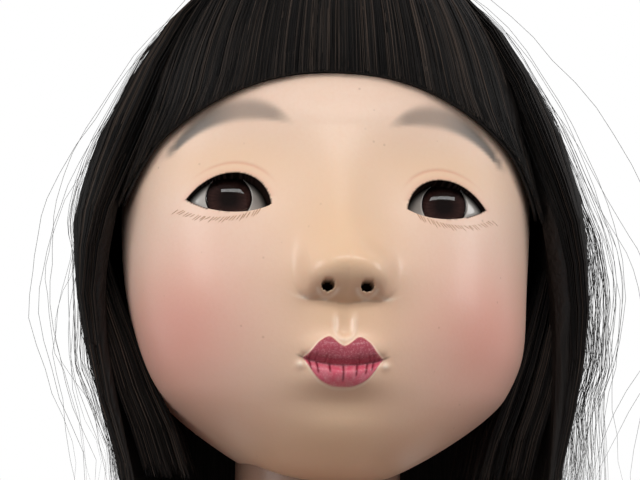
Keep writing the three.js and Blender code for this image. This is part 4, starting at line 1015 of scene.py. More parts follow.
@dataclass(frozen=True)
class WoodFinish(Finish):
    """Pale carved wood with upright grain, lacquered like skin where the collars leave the breast open."""

    name: str = "bare_wood"
    bare_up_to: float = 0.304
    coated_from: float = 0.306

    def paint(self, s: Shader) -> None:
        """Lays the grain, the lacquer above it and worn edges.

        Args:
            s: holds the nodes and the main surface.
        """
        place = s.place()
        grain = s.noise(s.scaled(place, (1, 1, 0.06)), 420, 4, 0.6)
        tone = s.ramp(grain, [(0.3, srgb(150, 112, 72)), (0.5, srgb(190, 150, 104)), (0.7, srgb(206, 170, 124))])
        coat = s.range(s.node("SeparateXYZ", {0: place}).outputs["Z"], self.bare_up_to, self.coated_from)
        skin = s.blend(s.noise(place, 70, 4), srgb(238, 205, 184), srgb(230, 190, 166))
        worn = s.node("Bevel", {"Radius": 0.004}, samples=6).outputs["Normal"]
        s.set(Base_Color=s.blend(coat, tone, skin), Roughness=s.range(coat, 0, 1, 0.7, 0.4), Normal=worn)


@dataclass(frozen=True)
class PuttyFinish(Finish):
    """Dull pressed putty."""

    name: str = "putty"

    def paint(self, s: Shader) -> None:
        """Lays the lumps.

        Args:
            s: holds the nodes and the main surface.
        """
        lumps = s.noise(s.place(), 380, 4)
        tone = s.layer(srgb(208, 196, 172), srgb(184, 168, 140), lumps, 0.35, 0.7)
        s.set(Base_Color=tone, Roughness=s.range(lumps, 0, 1, 0.75, 0.95), Normal=s.bumps(lumps, 0.5, 0.0006))


@dataclass(frozen=True)
class SoleFinish(Finish):
    """Sandal sole: lacquered sides with gold lines and a woven straw top."""

    name: str = "sandal_sole"
    side_up_to: float = 0.00886
    top_from: float = 0.00896
    line_spacing: float = 0.00165

    def paint(self, s: Shader) -> None:
        """Lays the sides with their lines below, and the straw above.

        Args:
            s: holds the nodes and the main surface.
        """
        place = s.place()
        height = s.node("SeparateXYZ", {0: place}).outputs["Z"]
        top = s.range(height, self.side_up_to, self.top_from)
        line = s.math("PINGPONG", s.math("ADD", height, 0.0001), self.line_spacing)
        side = s.layer(srgb(142, 26, 36), srgb(112, 18, 28), s.noise(place, 240, 3), 0.3, 0.7)
        side = s.layer(side, srgb(204, 160, 84), line, 0.00022, 0.00014)
        weave = s.group(plain_weave(), Vector=s.scaled(place, (0.5, 1, 1)), Threads=900.0)
        straw = s.blend(weave["Height"], srgb(150, 120, 72), srgb(206, 178, 122))
        straw = s.layer(straw, srgb(180, 148, 92), weave["Tone"], 0.3, 0.7, 0.5)
        s.set(Base_Color=s.blend(top, side, straw), Roughness=s.range(top, 0, 1, 0.3, 0.8))
        s.set(Normal=s.bumps(s.math("MULTIPLY", weave["Height"], top), 0.5, 0.0004))


# Head


@dataclass
class HeadForm:
    """The head's rounded form and the face modelled on it, about its own middle at the height of the eyes."""

    cheek_half_width: float = 42
    skull_half_width: float = 44
    face_depth: float = 45
    skull_depth: float = 48
    chin_drop: float = 51.5
    skull_rise: float = 58
    roundness: float = 2.3
    left_fullness: float = 0.09
    right_fullness: float = -0.012
    chin_taper: float = 0.22
    chin_shift: float = 2.3
    wall: float = 7
    nose_height: float = 7.4
    nose_base_drop: float = 18.7
    nostril_x: float = 3.35
    mouth_drop: float = 30
    mouth_half_width: float = 7
    lower_shift: float = 1.3  # the nose and mouth lie this far to the doll's left
    eye_x: float = 19.7
    eye_width: float = 15.2
    eye_top: float = 3.8
    eye_bottom: float = 3.7
    eye_inner_drop: float = 2.5
    eye_outer_drop: float = 0.6
    eye_front: float = 39.3
    eye_radius: float = 10.5
    eye_half_width: float = 12.4
    lid_fold: float = 2.0
    brow_half_height: float = 2.0

    def __post_init__(self) -> None:
        """Finds the head's middle in the part and draws the lids and brows."""
        low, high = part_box("left_eye_white")
        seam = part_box("face_shell")[1].y
        self.middle = np.array([0, seam / MM + GAP / 2, (low.z + high.z) / 2 / MM])
        inner, outer = self.eye_x - self.eye_width / 2, self.eye_x + self.eye_width / 2
        top, low = self.eye_top, -self.eye_bottom
        start, end = (inner, -self.eye_inner_drop), (outer, -self.eye_outer_drop)
        upper = (mix(inner, outer, 0.05), top * 1.15), (mix(inner, outer, 0.62), top * 1.75)
        lower = (mix(inner, outer, 0.72), low * 1.05), (mix(inner, outer, 0.29), low * 1.27)
        self.upper_lid = bezier(start, *upper, end, 40)
        self.lower_lid = bezier(end, *lower, start, 40)
        self.eye_outline = np.concatenate([self.upper_lid[:-1], self.lower_lid[:-1]])
        self.brow_line = bezier((8.0, 12.2), (15.2, 17.0), (24, 17.2), (32.4, 7.6), 30)

    def half_width(self, up: Array) -> Array:
        """Half width for a direction's upward part, from the cheeks to the skull."""
        return mix(self.cheek_half_width, self.skull_half_width, smooth(up, -0.5, 0.5))

    def plain(self, azimuth: Array, elevation: Array) -> Array:
        """Points of the head without its face.

        Args:
            azimuth: angles round the head, 0 in front.
            elevation: angles above the eyes.

        Returns:
            Points about the head's middle.
        """
        d = direction(azimuth, elevation)
        depth = np.where(d[..., 1] < 0, self.face_depth, self.skull_depth)
        height = np.where(d[..., 2] < 0, self.chin_drop, self.skull_rise)
        p = d * form_reach(d, (self.half_width(d[..., 2]), depth, height), self.roundness)[..., None]
        full = bell(p[..., 2] + 30, 13) * smooth(np.cos(azimuth), 0, 0.2)
        side = np.where(p[..., 0] > 0, self.left_fullness, self.right_fullness)
        p[..., 0] *= 1 + side * full - self.chin_taper * smooth(-p[..., 2], 33, 52)
        p[..., 0] += self.chin_shift * smooth(-p[..., 2], 28, 46) * smooth(np.cos(azimuth), 0, 0.4)
        return p

    def front(self, x: Array, z: Array) -> Array:
        """Depth of the face's surface at places seen from the front.

        Args:
            x: sideways places seen from the front.
            z: heights above the eyes.

        Returns:
            Places along y, about the head's middle.
        """
        y = np.full_like(x, self.face_depth)
        n = self.roundness
        high = np.abs(z / np.where(z < 0, self.chin_drop, self.skull_rise)) ** n
        for _ in range(4):
            wide = self.half_width(z / np.sqrt(x**2 + y**2 + z**2))
            rest = 1 - np.abs(x / wide) ** n - high
            y = self.face_depth * np.clip(rest, 0.01, 1) ** (1 / n)
        return -y - self.relief(x, z)

    def lowered(self, x: Array, z: Array) -> Array:
        """Sideways places from the middle of the nose and mouth."""
        return x - self.lower_shift * smooth(-z, 4, 14)

    def nose(self, x: Array, z: Array) -> Array:
        """How far the nose stands out of the face: a soft bridge, a round tip and two wings on a flat base.

        Args:
            x: sideways places seen from the front.
            z: heights above the eyes.

        Returns:
            Heights in millimetres.
        """
        side, up = np.abs(x), z + self.nose_base_drop
        bridge = smooth_through([-2, 0, 3, 6, 9, 13, 18, 24, 31], [3.2, 3.4, 3.7, 3.9, 3.8, 3.2, 2.2, 1.0, 0], up)
        bridge = bridge * bell(side, smooth_through([0, 6, 14, 24], [8.0, 7.2, 5.8, 5.2], up))
        tip = self.nose_height * 0.5 * bump(x, up, 0, 4.9, 4.8, 4.0)
        wings = 2.7 * bump(side, up, 5.4, 2.9, 2.7, 3.3) * (1 - smooth(side, 6.4, 9.6))
        base = 4.2 * np.clip((side - 5.6) / 4.6, 0, 1) ** 2.2 - 0.5 * bell(side, 2.2)
        under = mix(rounded(up - base, 6.4), smooth(up, -5, 7), smooth(side, 5.5, 9.5))
        return (bridge + tip) * under + wings * rounded(up - base, 3.6)

    def lips(self, x: Array, z: Array) -> Array:
        """How far the lips stand out of the face, with the groove between them and the one above.

        Args:
            x: sideways places seen from the front.
            z: heights above the eyes.

        Returns:
            Heights in millimetres.
        """
        side, drop = np.abs(x), -self.mouth_drop
        upper = 1.7 * bump(side, z, 2.5, drop + 2.6, 2.9, 1.6)
        lower = 2 * bump(x, z, 0, drop - 1.9, 4.2, 1.7)
        ends = 1 - smooth(side, self.mouth_half_width - 1.2, self.mouth_half_width + 1.0)
        line = bell(z - self.mouth_line(x), 0.75) * ends
        groove = bump(x, z, 0, drop + 7.2, 1.1, 2.2)
        pillows = bump(side, z, self.mouth_half_width + 0.5, drop - 0.1, 0.6, 0.5)
        return upper + lower - 1.4 * line - 0.55 * groove + 0.3 * self.groove_edge(x, z) + 0.4 * pillows

    def groove_edge(self, x: Array, z: Array) -> Array:
        """The raised edge round the groove under the nose, open at its top.

        Args:
            x: sideways places seen from the front.
            z: heights above the eyes.

        Returns:
            Shares from 0 to 1.
        """
        side, low = np.abs(x), 5.9 - self.mouth_drop
        away = np.where(z > low, side, np.hypot(side, z - low)) - 1.65
        return bell(away, 0.5) * smooth(-z, self.mouth_drop - 9.5, self.mouth_drop - 7)

    def mouth_line(self, x: Array) -> Array:
        """Height of the line between the lips."""
        return -self.mouth_drop + 1.2 * np.minimum(np.abs(x) / self.mouth_half_width, 1.2) ** 2

    def relief(self, x: Array, z: Array) -> Array:
        """How far the whole face stands out of the plain head.

        Args:
            x: sideways places seen from the front.
            z: heights above the eyes.

        Returns:
            Heights in millimetres.
        """
        side, low_x = np.abs(x), self.lowered(x, z)
        cheeks = 2.4 * bump(side, z, 23, -19, 11, 12)
        chin = 1.2 * bump(x, z, 0, -40, 10, 6.5)
        muzzle = 2.2 * bump(low_x, z, 0, 1 - self.mouth_drop, 10, 7.5)
        forehead = 1.2 * bump(x, z, 0, 17, 20, 7)
        sockets = 2.4 * bump(side, z, self.eye_x - 3, 5, 8, 7)
        lids = 1.5 * bump(side, z, self.eye_x, 0.5, 9, 5.5)
        under_lip = 1.3 * bump(low_x, z, 0, -6.6 - self.mouth_drop, 6.0, 2)
        features = self.nose(low_x, z) + self.lips(low_x, z)
        return cheeks + chin + muzzle + forehead - sockets + lids - under_lip + features

    def eye_glass(self, x: Array, z: Array) -> Array:
        """Depth of the glass eye's front in the face's own direction, about the head's middle."""
        share = 1 - ((np.abs(x) - self.eye_x) / self.eye_half_width) ** 2 - (z / self.eye_radius) ** 2
        return -(self.eye_front - self.eye_radius) - self.eye_radius * np.sqrt(np.clip(share, 0, 1))


@dataclass
class Face:
    """The front half of the head with its features, paint and openings."""

    form: HeadForm
    lower_cuts: tuple[tuple[float, float], ...] = (
        (-5.9, 0.55), (-4.6, 0.62), (-2.4, 0.5), (0.0, 0.85), (2.4, 0.66), (4.2, 0.62), (5.3, 0.5)
    )  # place and reach of each carved line
    upper_cuts: tuple[float, ...] = (-6.0, -5.0, -3.2, 2.8, 4.7, 5.5)
    lash_count: int = 26
    lash_length: float = 1.35
    lash_radius: float = 0.00007
    lash_seed: int = 3
    snap: float = 0.19  # points this close to a lid's edge move onto it
    nostril_depth: float = 3.5
    behind_glass: float = 6  # the floor of an eye's opening lies this far behind the glass

    def angles(self) -> tuple[Array, Array]:
        """Azimuths and elevations of the grid, closest together at the mouth and the eyes.

        Returns:
            Both, in radians.
        """
        half = np.concatenate([np.arange(0, 12, 0.2), np.arange(12, 40, 0.34), np.linspace(40, 90, 24)])
        azimuth = np.radians(np.concatenate([-half[:0:-1], half]))
        fine = [np.arange(*rows) for rows in ((-46, -28, 0.24), (-28, -8, 0.34), (-8, 9, 0.28), (9, 25, 0.6))]
        rows = [np.linspace(-89, -46, 25)[:-1], *fine, np.linspace(25, 89, 20)]
        return azimuth, np.radians(np.concatenate(rows))

    def snap_to_lids(self, base: Array) -> tuple[Array, Array, Array]:
        """Moves points close to the edge of an eye opening onto it.

        Args:
            base: points of the plain head, columns by rows.

        Returns:
            Sideways places, heights, and the distance to the nearest lid edge, which is negative in the opening.
        """
        x, z = base[..., 0].copy(), base[..., 2].copy()
        away = np.full(x.shape, 9.0)
        near = (np.abs(np.abs(x) - self.form.eye_x) < 12) & (np.abs(z) < 9) & (base[..., 1] < 0)
        outline = np.concatenate([self.form.eye_outline, self.form.eye_outline[:1]])
        side = np.abs(x[near])
        distance, _, foot = line_distance(side, z[near], outline)
        inside = inside_outline(side, z[near], self.form.eye_outline)
        signed = np.where(inside, -distance, distance)
        on_edge = distance < self.snap
        x[near] = np.where(on_edge, foot[:, 0], side) * np.sign(x[near])
        z[near] = np.where(on_edge, foot[:, 1], z[near])
        away[near] = np.where(on_edge, 0, signed)
        return x, z, away

    def lip_paint(self, x: Array, z: Array) -> tuple[Array, Array, Array, Array, Array]:
        """Shares of lip colour, of shade on the upper lip, of carved lines, of the line between and of a painted
        highlight round the lips.

        Args:
            x: sideways places seen from the front.
            z: heights above the eyes.

        Returns:
            The five shares, each for every point.
        """
        side, drop = np.abs(x), -self.form.mouth_drop
        top = drop + smooth_through([-0.9, 0, 0.9, 2.6, 4.4, 5.8, 7.0], [3.5, 3.1, 3.5, 4.65, 3.7, 2.1, 1.2], side)
        bottom = drop + smooth_through([0, 2.0, 4.0, 5.3, 6.2, 7.0], [-3.7, -3.5, -2.55, -1.2, 0.1, 1.1], side)
        paint = smooth(z, bottom - 0.12, bottom + 0.15) * (1 - smooth(z, top - 0.15, top + 0.12))
        paint = paint * (1 - smooth(side, 6.9, 7.15))
        line_z = self.form.mouth_line(x)
        above = z - line_z
        upper = smooth(z, line_z - 0.1, line_z + 0.25)
        line = bell(above, 0.2) * (1 - smooth(side, 7.0, 8.6))
        cuts = np.zeros_like(x)
        for at, reach in self.lower_cuts:
            below = -above / 3.7
            cut = bell(x - at * (1 + 0.04 * above), 0.21) * smooth(below, -0.02, 0.05)
            cuts += cut * (1 - smooth(below, reach - 0.2, reach))
        for at in self.upper_cuts:
            cut = bell(x - at * (1 - 0.07 * above), 0.16) * smooth(above / 4, 0, 0.05)
            cuts += 0.7 * cut * (1 - smooth(above / 4, 0.2, 0.45))
        # a painted highlight round the lips
        rim = smooth(z, bottom - 0.7, bottom - 0.3) * (1 - smooth(z, top + 0.2, top + 0.6))
        rim = rim * (1 - smooth(side, 6.4, 7.4))
        return paint, upper * paint, np.clip(cuts * paint, 0, 1), line, rim - paint

    def pale_paint(self, x: Array, z: Array) -> Array:
        """Painted highlights round the nostrils, along the nose's base, at the mouth's corners and on the edges of the
        groove under the nose.

        Args:
            x: sideways places seen from the front.
            z: heights above the eyes.

        Returns:
            Shares from 0 to 1.
        """
        side, form = np.abs(x), self.form
        base = -form.nose_base_drop
        rim = np.hypot((side - form.nostril_x) / 1.75, (z - base - 1.3) / 1.45)
        nostril = bell(rim - 1, 0.2) * smooth(base + 1.3 - z, 0, 0.5)
        crease = bell(z - base + 0.1 - 0.09 * (side - 7) ** 2, 0.28) * bump(side, 0 * z, 7.0, 0, 1.3, 1)
        corner_highlight = bump(side, z, form.mouth_half_width + 0.4, -form.mouth_drop + 0.1, 0.4, 0.35)
        return np.clip(0.9 * nostril + 0.8 * crease + 0.8 * corner_highlight + 0.45 * form.groove_edge(x, z), 0, 1)

    def brow_paint(self, side: Array, z: Array) -> Array:
        """Share of the brow's brushed colour, softest at its upper edge and thin at its outer end.

        Args:
            side: places aside from the middle.
            z: heights above the eyes.

        Returns:
            Shares from 0 to 1.
        """
        away, share, nearest = line_distance(side, z, self.form.brow_line)
        thick = self.form.brow_half_height * smooth(share, -0.12, 0.4) * (1 - 0.62 * smooth(share, 0.5, 1))
        soft = np.where(z > nearest[..., 1], 1.25, 0.85)
        brow = np.exp(-((away / np.maximum(thick * soft, 0.15)) ** 4))
        brow = brow * mix(0.66, 0.98, smooth(share, 0.4, 0.75))
        return brow * smooth(share, 0, 0.2) * (1 - smooth(share, 0.9, 1))

    def close(self, sketch: Sketch, outer: Array, base: Array, azimuth: Array, elevation: Array) -> None:
        """Adds the inner wall of the shell and closes it at the seam, the chin and the crown.

        Args:
            sketch: holds the outer wall.
            outer: numbers of the outer wall's points, columns by rows.
            base: points of the plain head in the same order.
            azimuth: the columns' angles.
            elevation: the rows' angles.
        """
        columns = np.linspace(azimuth[0], azimuth[-1], 25)[1:-1]
        inner = self.form.plain(*np.meshgrid(columns, elevation, indexing="ij"))
        inner = inner * (1 - self.form.wall / np.linalg.norm(inner, axis=-1, keepdims=True))
        lining = sketch.add_points(inner + self.form.middle)
        sketch.patch(np.concatenate([outer[:1], lining, outer[-1:]]), flip=True)
        for row, flip in ((0, True), (-1, False)):
            ring = np.concatenate([outer[:, row], lining[::-1, row]])
            sketch.fan(ring, base[:, row].mean(0) + self.form.middle, flip)

    def build(self) -> None:
        """Makes the face shell and the lashes on it."""
        form = self.form
        azimuth, elevation = self.angles()
        base = form.plain(*np.meshgrid(azimuth, elevation, indexing="ij"))
        x, z, away = self.snap_to_lids(base)
        side, low_x, front = np.abs(x), form.lowered(x, z), base[..., 1] < 0
        forward = -base[..., 1] / np.linalg.norm(base, axis=-1)
        y = base[..., 1] - form.relief(x, z) * smooth(forward, 0.1, 0.45)

        painted = (*self.lip_paint(low_x, z), self.pale_paint(low_x, z))
        lip, lip_shade, lip_line, mouth, rim, pale = (np.where(front, value, 0) for value in painted)
        y += 0.22 * lip_line - 0.3 * lip

        fold_away, fold_share, _ = line_distance(side, z, form.upper_lid)
        above = (away > 0) & (z > -1)
        fold = np.where(above, bell(fold_away - form.lid_fold, 0.26), 0)
        fold = fold * smooth(fold_share, 0.12, 0.4) * (1 - smooth(fold_share, 0.6, 0.95))
        y += 0.12 * fold

        nostril = np.hypot((np.abs(low_x) - form.nostril_x) / 1.12, (z + form.nose_base_drop - 1.5) / 0.78)
        hole = np.where(front, 1 - smooth(nostril, 0.82, 1.1), 0)
        y += self.nostril_depth * hole
        opening = away < 0
        y = np.where(opening, form.eye_glass(x, z) + self.behind_glass, y)

        lid_edge = np.where((away <= 0) | ((away < 0.12) & (z > -1)), 1.0, 0.0)
        # a warmer tint on the nose and over the eyes; the band under the chin is painted warm shade
        tan = 0.9 * bump(low_x, z, 0, -14, 9, 16) + 0.6 * bump(side, z, 20, 6, 9, 4)
        tan = tan + 0.7 * bump(low_x, z, 0, -46, 22, 8)
        gloss = bump(low_x, z, 0, -11.5, 5, 3) + bump(low_x, z, 1.5, -22.5, 2.5, 2) + 0.5 * lip
        paint = {
            "blush": front * (0.44 * bump(side, z, 28.5, -24, 9.5, 9.5) + 0.08 * bump(side, z, 30, -23, 15, 14)),
            "crease": np.clip(0.45 * fold + 0.35 * np.where(above, bell(away, 0.7), 0), 0, 1),
            "brow": front * self.brow_paint(side, z),
            # painted highlights, with the one round the lips
            "pale": np.clip(pale + 0.45 * rim, 0, 1),
            # painted shade in the nostrils and the eye openings, painted shade with the dark lash line along the upper
            # lid's edge, and the dark line between the lips
            "dark": np.clip(hole + lid_edge * (z > -1.9 - 0.04 * side) + opening + 0.7 * mouth, 0, 1),
            "gloss": front * np.clip(gloss, 0, 1),
            "tan": front * np.clip(tan, 0, 1),
            "lip": lip,
            "lip_shade": lip_shade,
            "lip_line": lip_line,
        }

        sketch = Sketch()
        outer = sketch.add_points(np.stack([x, y, z], -1) + form.middle)
        sketch.patch(outer)
        self.close(sketch, outer, base, azimuth, elevation)
        unpainted = np.zeros(sketch.count - outer.size)
        values = {key: np.concatenate([value.ravel(), unpainted]) for key, value in paint.items()}
        face = sketch.build("face", GofunFinish("gofun_face", painted=True).make(), **values)
        dress(face, "head", "gofun", "face_shell")
        self.lashes()

    def lashes(self) -> None:
        """Brushes the short lashes below the eyes, as thin strokes that lie on the lacquer."""
        rng = np.random.default_rng(self.lash_seed)
        count = self.lash_count
        share = np.linspace(0, 1, count)
        x = smooth_through([0, 0.5, 1], [28.6, 21.2, 13.8], share) + rng.normal(0, 0.1, count)
        z = smooth_through([0, 0.25, 0.5, 0.75, 1], [-2.3, -3.9, -4.5, -4.3, -3.2], share)
        slant = (np.radians(mix(18, 62, share)) + rng.normal(0, 0.08, count))[:, None]
        length = (self.lash_length + rng.normal(0, 0.15, count))[:, None] * np.linspace(0, 1, 5)
        side = x[:, None] + np.cos(slant) * length
        height = z[:, None] - np.sin(slant) * length
        lines = [
            np.stack([sign * side, self.form.front(sign * side, height) - 0.02, height], -1) + self.form.middle
            for sign in (1, -1)
        ]
        inputs = dict(Radius=self.lash_radius, Wander=0.0, Sides=4, Seed=2)
        obj = sweep_strands("lower_lashes", np.concatenate(lines), LashFinish().make(), **inputs)
        dress(obj, "head", "gofun", "face_shell")


class Side(Enum):
    """The doll's two sides, with the sign of their x."""

    LEFT = 1
    RIGHT = -1

    @property
    def word(self) -> str:
        """The side's name in a node's name."""
        return self.name.lower()


@dataclass
class GlassEye:
    """One glass eye: the white, the iris in its pit and the clear glass over it."""

    form: HeadForm
    side: Side
    iris_radius: float = 4.15
    iris_depth: float = 1.5
    iris_stand: float = 0.75  # the iris's front lies this far in front of its pit's floor
    iris_thick: float = 0.6
    clear_thick: float = 0.5
    white_back: float = 3
    pit_room: float = 0.1
    spokes: int = 96

    def __post_init__(self) -> None:
        """Finds the middle of the eye's ball."""
        form = self.form
        place = [self.side.value * form.eye_x, -(form.eye_front - form.eye_radius), 0]
        self.middle = form.middle + np.array(place)

    def dome(self, from_radius: float, to_radius: float, steps: int) -> Array:
        """Rings of the glass's front between two radii, seen from the front.

        Args:
            from_radius: the first ring's radius.
            to_radius: the last one's.
            steps: the number of rings.

        Returns:
            Rings by spokes by 3.
        """
        radius = np.linspace(from_radius, to_radius, steps)[:, None]
        turn = circle(self.spokes)[None]
        stretch = self.form.eye_half_width / self.form.eye_radius
        wide = smooth(radius, self.iris_radius, self.form.eye_radius)
        x = radius * np.cos(turn) * mix(1, stretch, wide)
        y = -np.sqrt(np.maximum(self.form.eye_radius**2 - radius**2, 0)) + 0 * turn
        return np.stack([x, y, radius * np.sin(turn)], -1) + self.middle

    def lid_shade(self, sketch: Sketch) -> Array:
        """The shade that the lids keep on the glass, for each point of a sketch.

        Args:
            sketch: the piece that is shaded.

        Returns:
            Shares from 0 to 1.
        """
        points = np.concatenate(sketch.points) - self.form.middle
        side, z = np.abs(points[:, 0]), points[:, 2]
        upper, lower = (line_distance(side, z, lid)[0] for lid in (self.form.upper_lid, self.form.lower_lid))
        return np.clip(1.05 - smooth(upper, 0.1, 1.7) * smooth(lower, -0.4, 0.7), 0, 1)

    def white(self) -> Object:
        """The white glass with its pit.

        Returns:
            The piece.
        """
        pit, edge = self.iris_radius + self.pit_room, self.form.eye_radius
        wall = self.dome(pit, pit, 1) + (0, self.iris_depth, 0)
        back = self.dome(edge, edge, 1) + (0, self.white_back, 0)
        sketch = Sketch().loft(np.concatenate([wall, self.dome(pit, edge, 40), back]))
        return sketch.build(f"{self.side.word}_glass_white", EyeWhiteFinish().make(), shade=self.lid_shade(sketch))

    def iris(self) -> Object:
        """The brown disc, with its polar places for the fibres.

        Returns:
            The piece.
        """
        pit = self.iris_radius + self.pit_room
        front = self.iris_depth - self.iris_stand - math.sqrt(self.form.eye_radius**2 - pit**2)
        radius, turn = np.meshgrid(np.linspace(0.02, 1, 26), circle(self.spokes), indexing="ij")
        across, up = self.iris_radius * radius * np.cos(turn), self.iris_radius * radius * np.sin(turn)
        points = np.stack([across, np.full_like(across, front), up], -1) + self.middle
        sketch = Sketch().loft(np.concatenate([points, points[-1:] + (0, self.iris_thick, 0)]))
        share = np.concatenate([radius.ravel(), np.ones(self.spokes), [0, 1]])
        turns = np.concatenate([turn.ravel(), turn[0], [0, 0]])
        rays = dict(radius=share, turn_x=np.cos(turns), turn_y=np.sin(turns), shade=0.9 * self.lid_shade(sketch))
        return sketch.build(f"{self.side.word}_glass_iris", IrisFinish().make(), **rays)

    def clear(self) -> Object:
        """The clear glass over the iris.

        Returns:
            The piece.
        """
        front = self.dome(0.02, self.iris_radius, 20)
        sketch = Sketch().loft(np.concatenate([front, front[-1:] + (0, self.clear_thick, 0)]))
        return sketch.build(f"{self.side.word}_glass_clear", ClearGlassFinish().make())

    def build(self) -> None:
        """Makes the three pieces of the eye."""
        word = self.side.word
        dress(self.white(), "head", "eye_white_glass", f"{word}_eye_white")
        dress(self.iris(), "head", "iris_glass", f"{word}_iris")
        dress(self.clear(), "head", "clear_glass", f"{word}_cornea")


# Hair


@cache
def strand_group() -> Tree:
    """A geometry-node group that sweeps a thin strand along each guide line.

    Returns:
        The group, made once.
    """
    inputs = {"Guides": "Geometry", "Radius": "Float", "Wander": "Float", "Sides": "Int", "Seed": "Int"}
    inputs["Material"] = "Material"
    g, start, end = new_group("strands", inputs, {"Strands": "Geometry"}, "Geometry")
    lines = g.node("GeometryNodeMeshToCurve", {"Mesh": start["Guides"]}).outputs["Curve"]
    along = g.node("GeometryNodeSplineParameter").outputs["Factor"]

    drift = g.node("TexNoise", {"Scale": 45, "W": start["Seed"]}, noise_dimensions="4D").outputs["Color"]
    centred = g.node("VectorMath", {0: drift, 1: (0.5, 0.5, 0.5)}, operation="SUBTRACT").outputs["Vector"]
    amount = g.math("MULTIPLY", along, start["Wander"])
    shift = g.node("VectorMath", {0: centred, "Scale": amount}, operation="SCALE").outputs["Vector"]
    moved = g.node("GeometryNodeSetPosition", {"Geometry": lines, "Offset": shift}).outputs["Geometry"]

    chance = {2: 0.0, 3: 1.0, "Seed": start["Seed"]}
    pick = g.node("FunctionNodeRandomValue", chance, data_type="FLOAT").outputs[1]
    tone = {"Name": "shade", "Geometry": moved, "Value": pick}
    kept = g.node("GeometryNodeStoreNamedAttribute", tone, data_type="FLOAT", domain="CURVE").outputs["Geometry"]

    ends = {"Value": along, "From Min": 0.8, "From Max": 1.0, "To Min": 1.0, "To Max": 0.35}
    taper = g.node("MapRange", ends, interpolation_type="SMOOTHSTEP").outputs["Result"]
    thick = g.math("MULTIPLY", start["Radius"], taper)
    sized = g.node("GeometryNodeSetCurveRadius", {"Curve": kept, "Radius": thick}).outputs["Curve"]
    section = g.node("GeometryNodeCurvePrimitiveCircle", {"Resolution": start["Sides"], "Radius": 1.0})
    swept = {"Fill Caps": True, "Curve": sized, "Profile Curve": section.outputs["Curve"]}
    sweep = g.node("GeometryNodeCurveToMesh", swept)
    if "Scale" in sweep.inputs:
        g.put(sweep.inputs["Scale"], thick)
    real = g.node("GeometryNodeRealizeInstances", {"Geometry": sweep.outputs["Mesh"]}).outputs["Geometry"]
    coloured = g.node("GeometryNodeSetMaterial", {"Geometry": real, "Material": start["Material"]})
    g.put(end["Strands"], coloured.outputs["Geometry"])
    return g.tree


def sweep_strands(name: str, guides: Array, material: Material, **inputs: float) -> Object:
    """Turns guide lines into one mesh of strands.

    Args:
        name: the piece's name.
        guides: points in millimetres, strands by points by 3.
        material: the strands' finish.
        inputs: values of the group's named inputs.

    Returns:
        A plain mesh object.
    """
    strands, points = guides.shape[:2]
    numbers = np.arange(strands * points).reshape(strands, points)
    edges = np.stack([numbers[:, :-1], numbers[:, 1:]], -1).reshape(-1, 2)
    mesh = bpy.data.meshes.new(f"{name}_guides")
    mesh.from_pydata((guides.reshape(-1, 3) * MM).tolist(), edges.tolist(), [])
    holder = added(f"{name}_guides", mesh)
    modifier = holder.modifiers.new("strands", "NODES")
    modifier.node_group = strand_group()
    values = {"Material": material, "Sides": 3, **inputs}
    for item in modifier.node_group.interface.items_tree:
        if item.in_out == "INPUT" and item.name in values:
            modifier[item.identifier] = values[item.name]
    made = plain_mesh(holder, name)
    bpy.data.objects.remove(holder)
    made.materials.clear()
    made.materials.append(material)
    LOG.info("%s: %d strands, %d faces", name, strands, len(made.polygons))
    return added(name, made)


@dataclass
class WigForm:
    """The outer form of the hair and how it falls, about the head's middle."""

    half_width: float = 55
    front: float = 49
    back: float = 59
    top: float = 64
    drop: float = 70
    roundness: float = 2.3
    fringe_half_angle: float = 52
    fringe_rise: float = 23.2
    fringe_arch: float = 18
    swept_angle: float = 76  # the front hair of the sides falls back to here, behind the face
    swept_share: float = 0.92
    crown_taper: float = 0.17
    left_flare: float = 1.2
    right_narrowing: float = 0.045
    right_tuck: float = 24
    left_tuck: float = 15
    tip_room: float = 2.2  # the hair's ends lie this close together
    crown_angle: float = 86
    side_angle: float = 120  # the sides reach back to here
    back_angle: float = 118

    def outer(self, azimuth: Array, elevation: Array, inward: Array, drop: Array, tucked: Array = 1.0) -> Array:
        """Points of the hair.

        Args:
            azimuth: angles round the head, 0 in front.
            elevation: angles above the eyes.
            inward: how far the points are pulled in from the outer form.
            drop: how far they hang down from it.
            tucked: the share by which hanging hair is tucked in.

        Returns:
            Points about the head's middle.
        """
        azimuth, elevation, inward, drop = np.broadcast_arrays(azimuth, elevation, inward, drop)
        swept = np.maximum(math.radians(self.swept_angle) - np.abs(azimuth), 0) * self.swept_share
        azimuth = azimuth + np.sign(azimuth) * (swept * smooth(drop - 45 * elevation, -20, 28))
        d = direction(azimuth, elevation)
        depth = np.where(d[..., 1] < 0, self.front, self.back)
        p = d * (form_reach(d, (self.half_width, depth, self.top), self.roundness) - inward)[..., None]
        aside = np.abs(np.sin(azimuth))
        narrow = 1 - self.crown_taper * smooth(p[..., 2], -5, 55) * aside
        pull = smooth_through([0, 0.2, 0.4, 0.6, 0.75, 0.9], [0, 0.065, 0.21, 0.42, 0.56, 0.62], drop / self.drop)
        tuck = tucked * pull * aside
        left = p[..., 0] * narrow + self.left_flare * smooth(drop, -8, 18) * aside - self.left_tuck * tuck
        right = p[..., 0] * (narrow - self.right_narrowing * aside) + self.right_tuck * tuck
        p[..., 0] = np.where(p[..., 0] > 0, left, right)
        p[..., 2] -= drop
        return p

    def fringe_end(self, azimuth: Array) -> Array:
        """The elevation at which the fringe is cut.

        Args:
            azimuth: angles round the head, 0 in front.

        Returns:
            Elevations in radians.
        """
        share = np.abs(azimuth) / math.radians(self.fringe_half_angle)
        height = self.fringe_rise - self.fringe_arch * share**2.3 - 5 * smooth(share, 0.8, 1)
        bounds = np.full_like(azimuth, -0.9), np.full_like(azimuth, math.pi / 2)
        return last_true(*bounds, lambda at: self.outer(azimuth, at, 0 * at, 0 * at)[..., 2] < height)


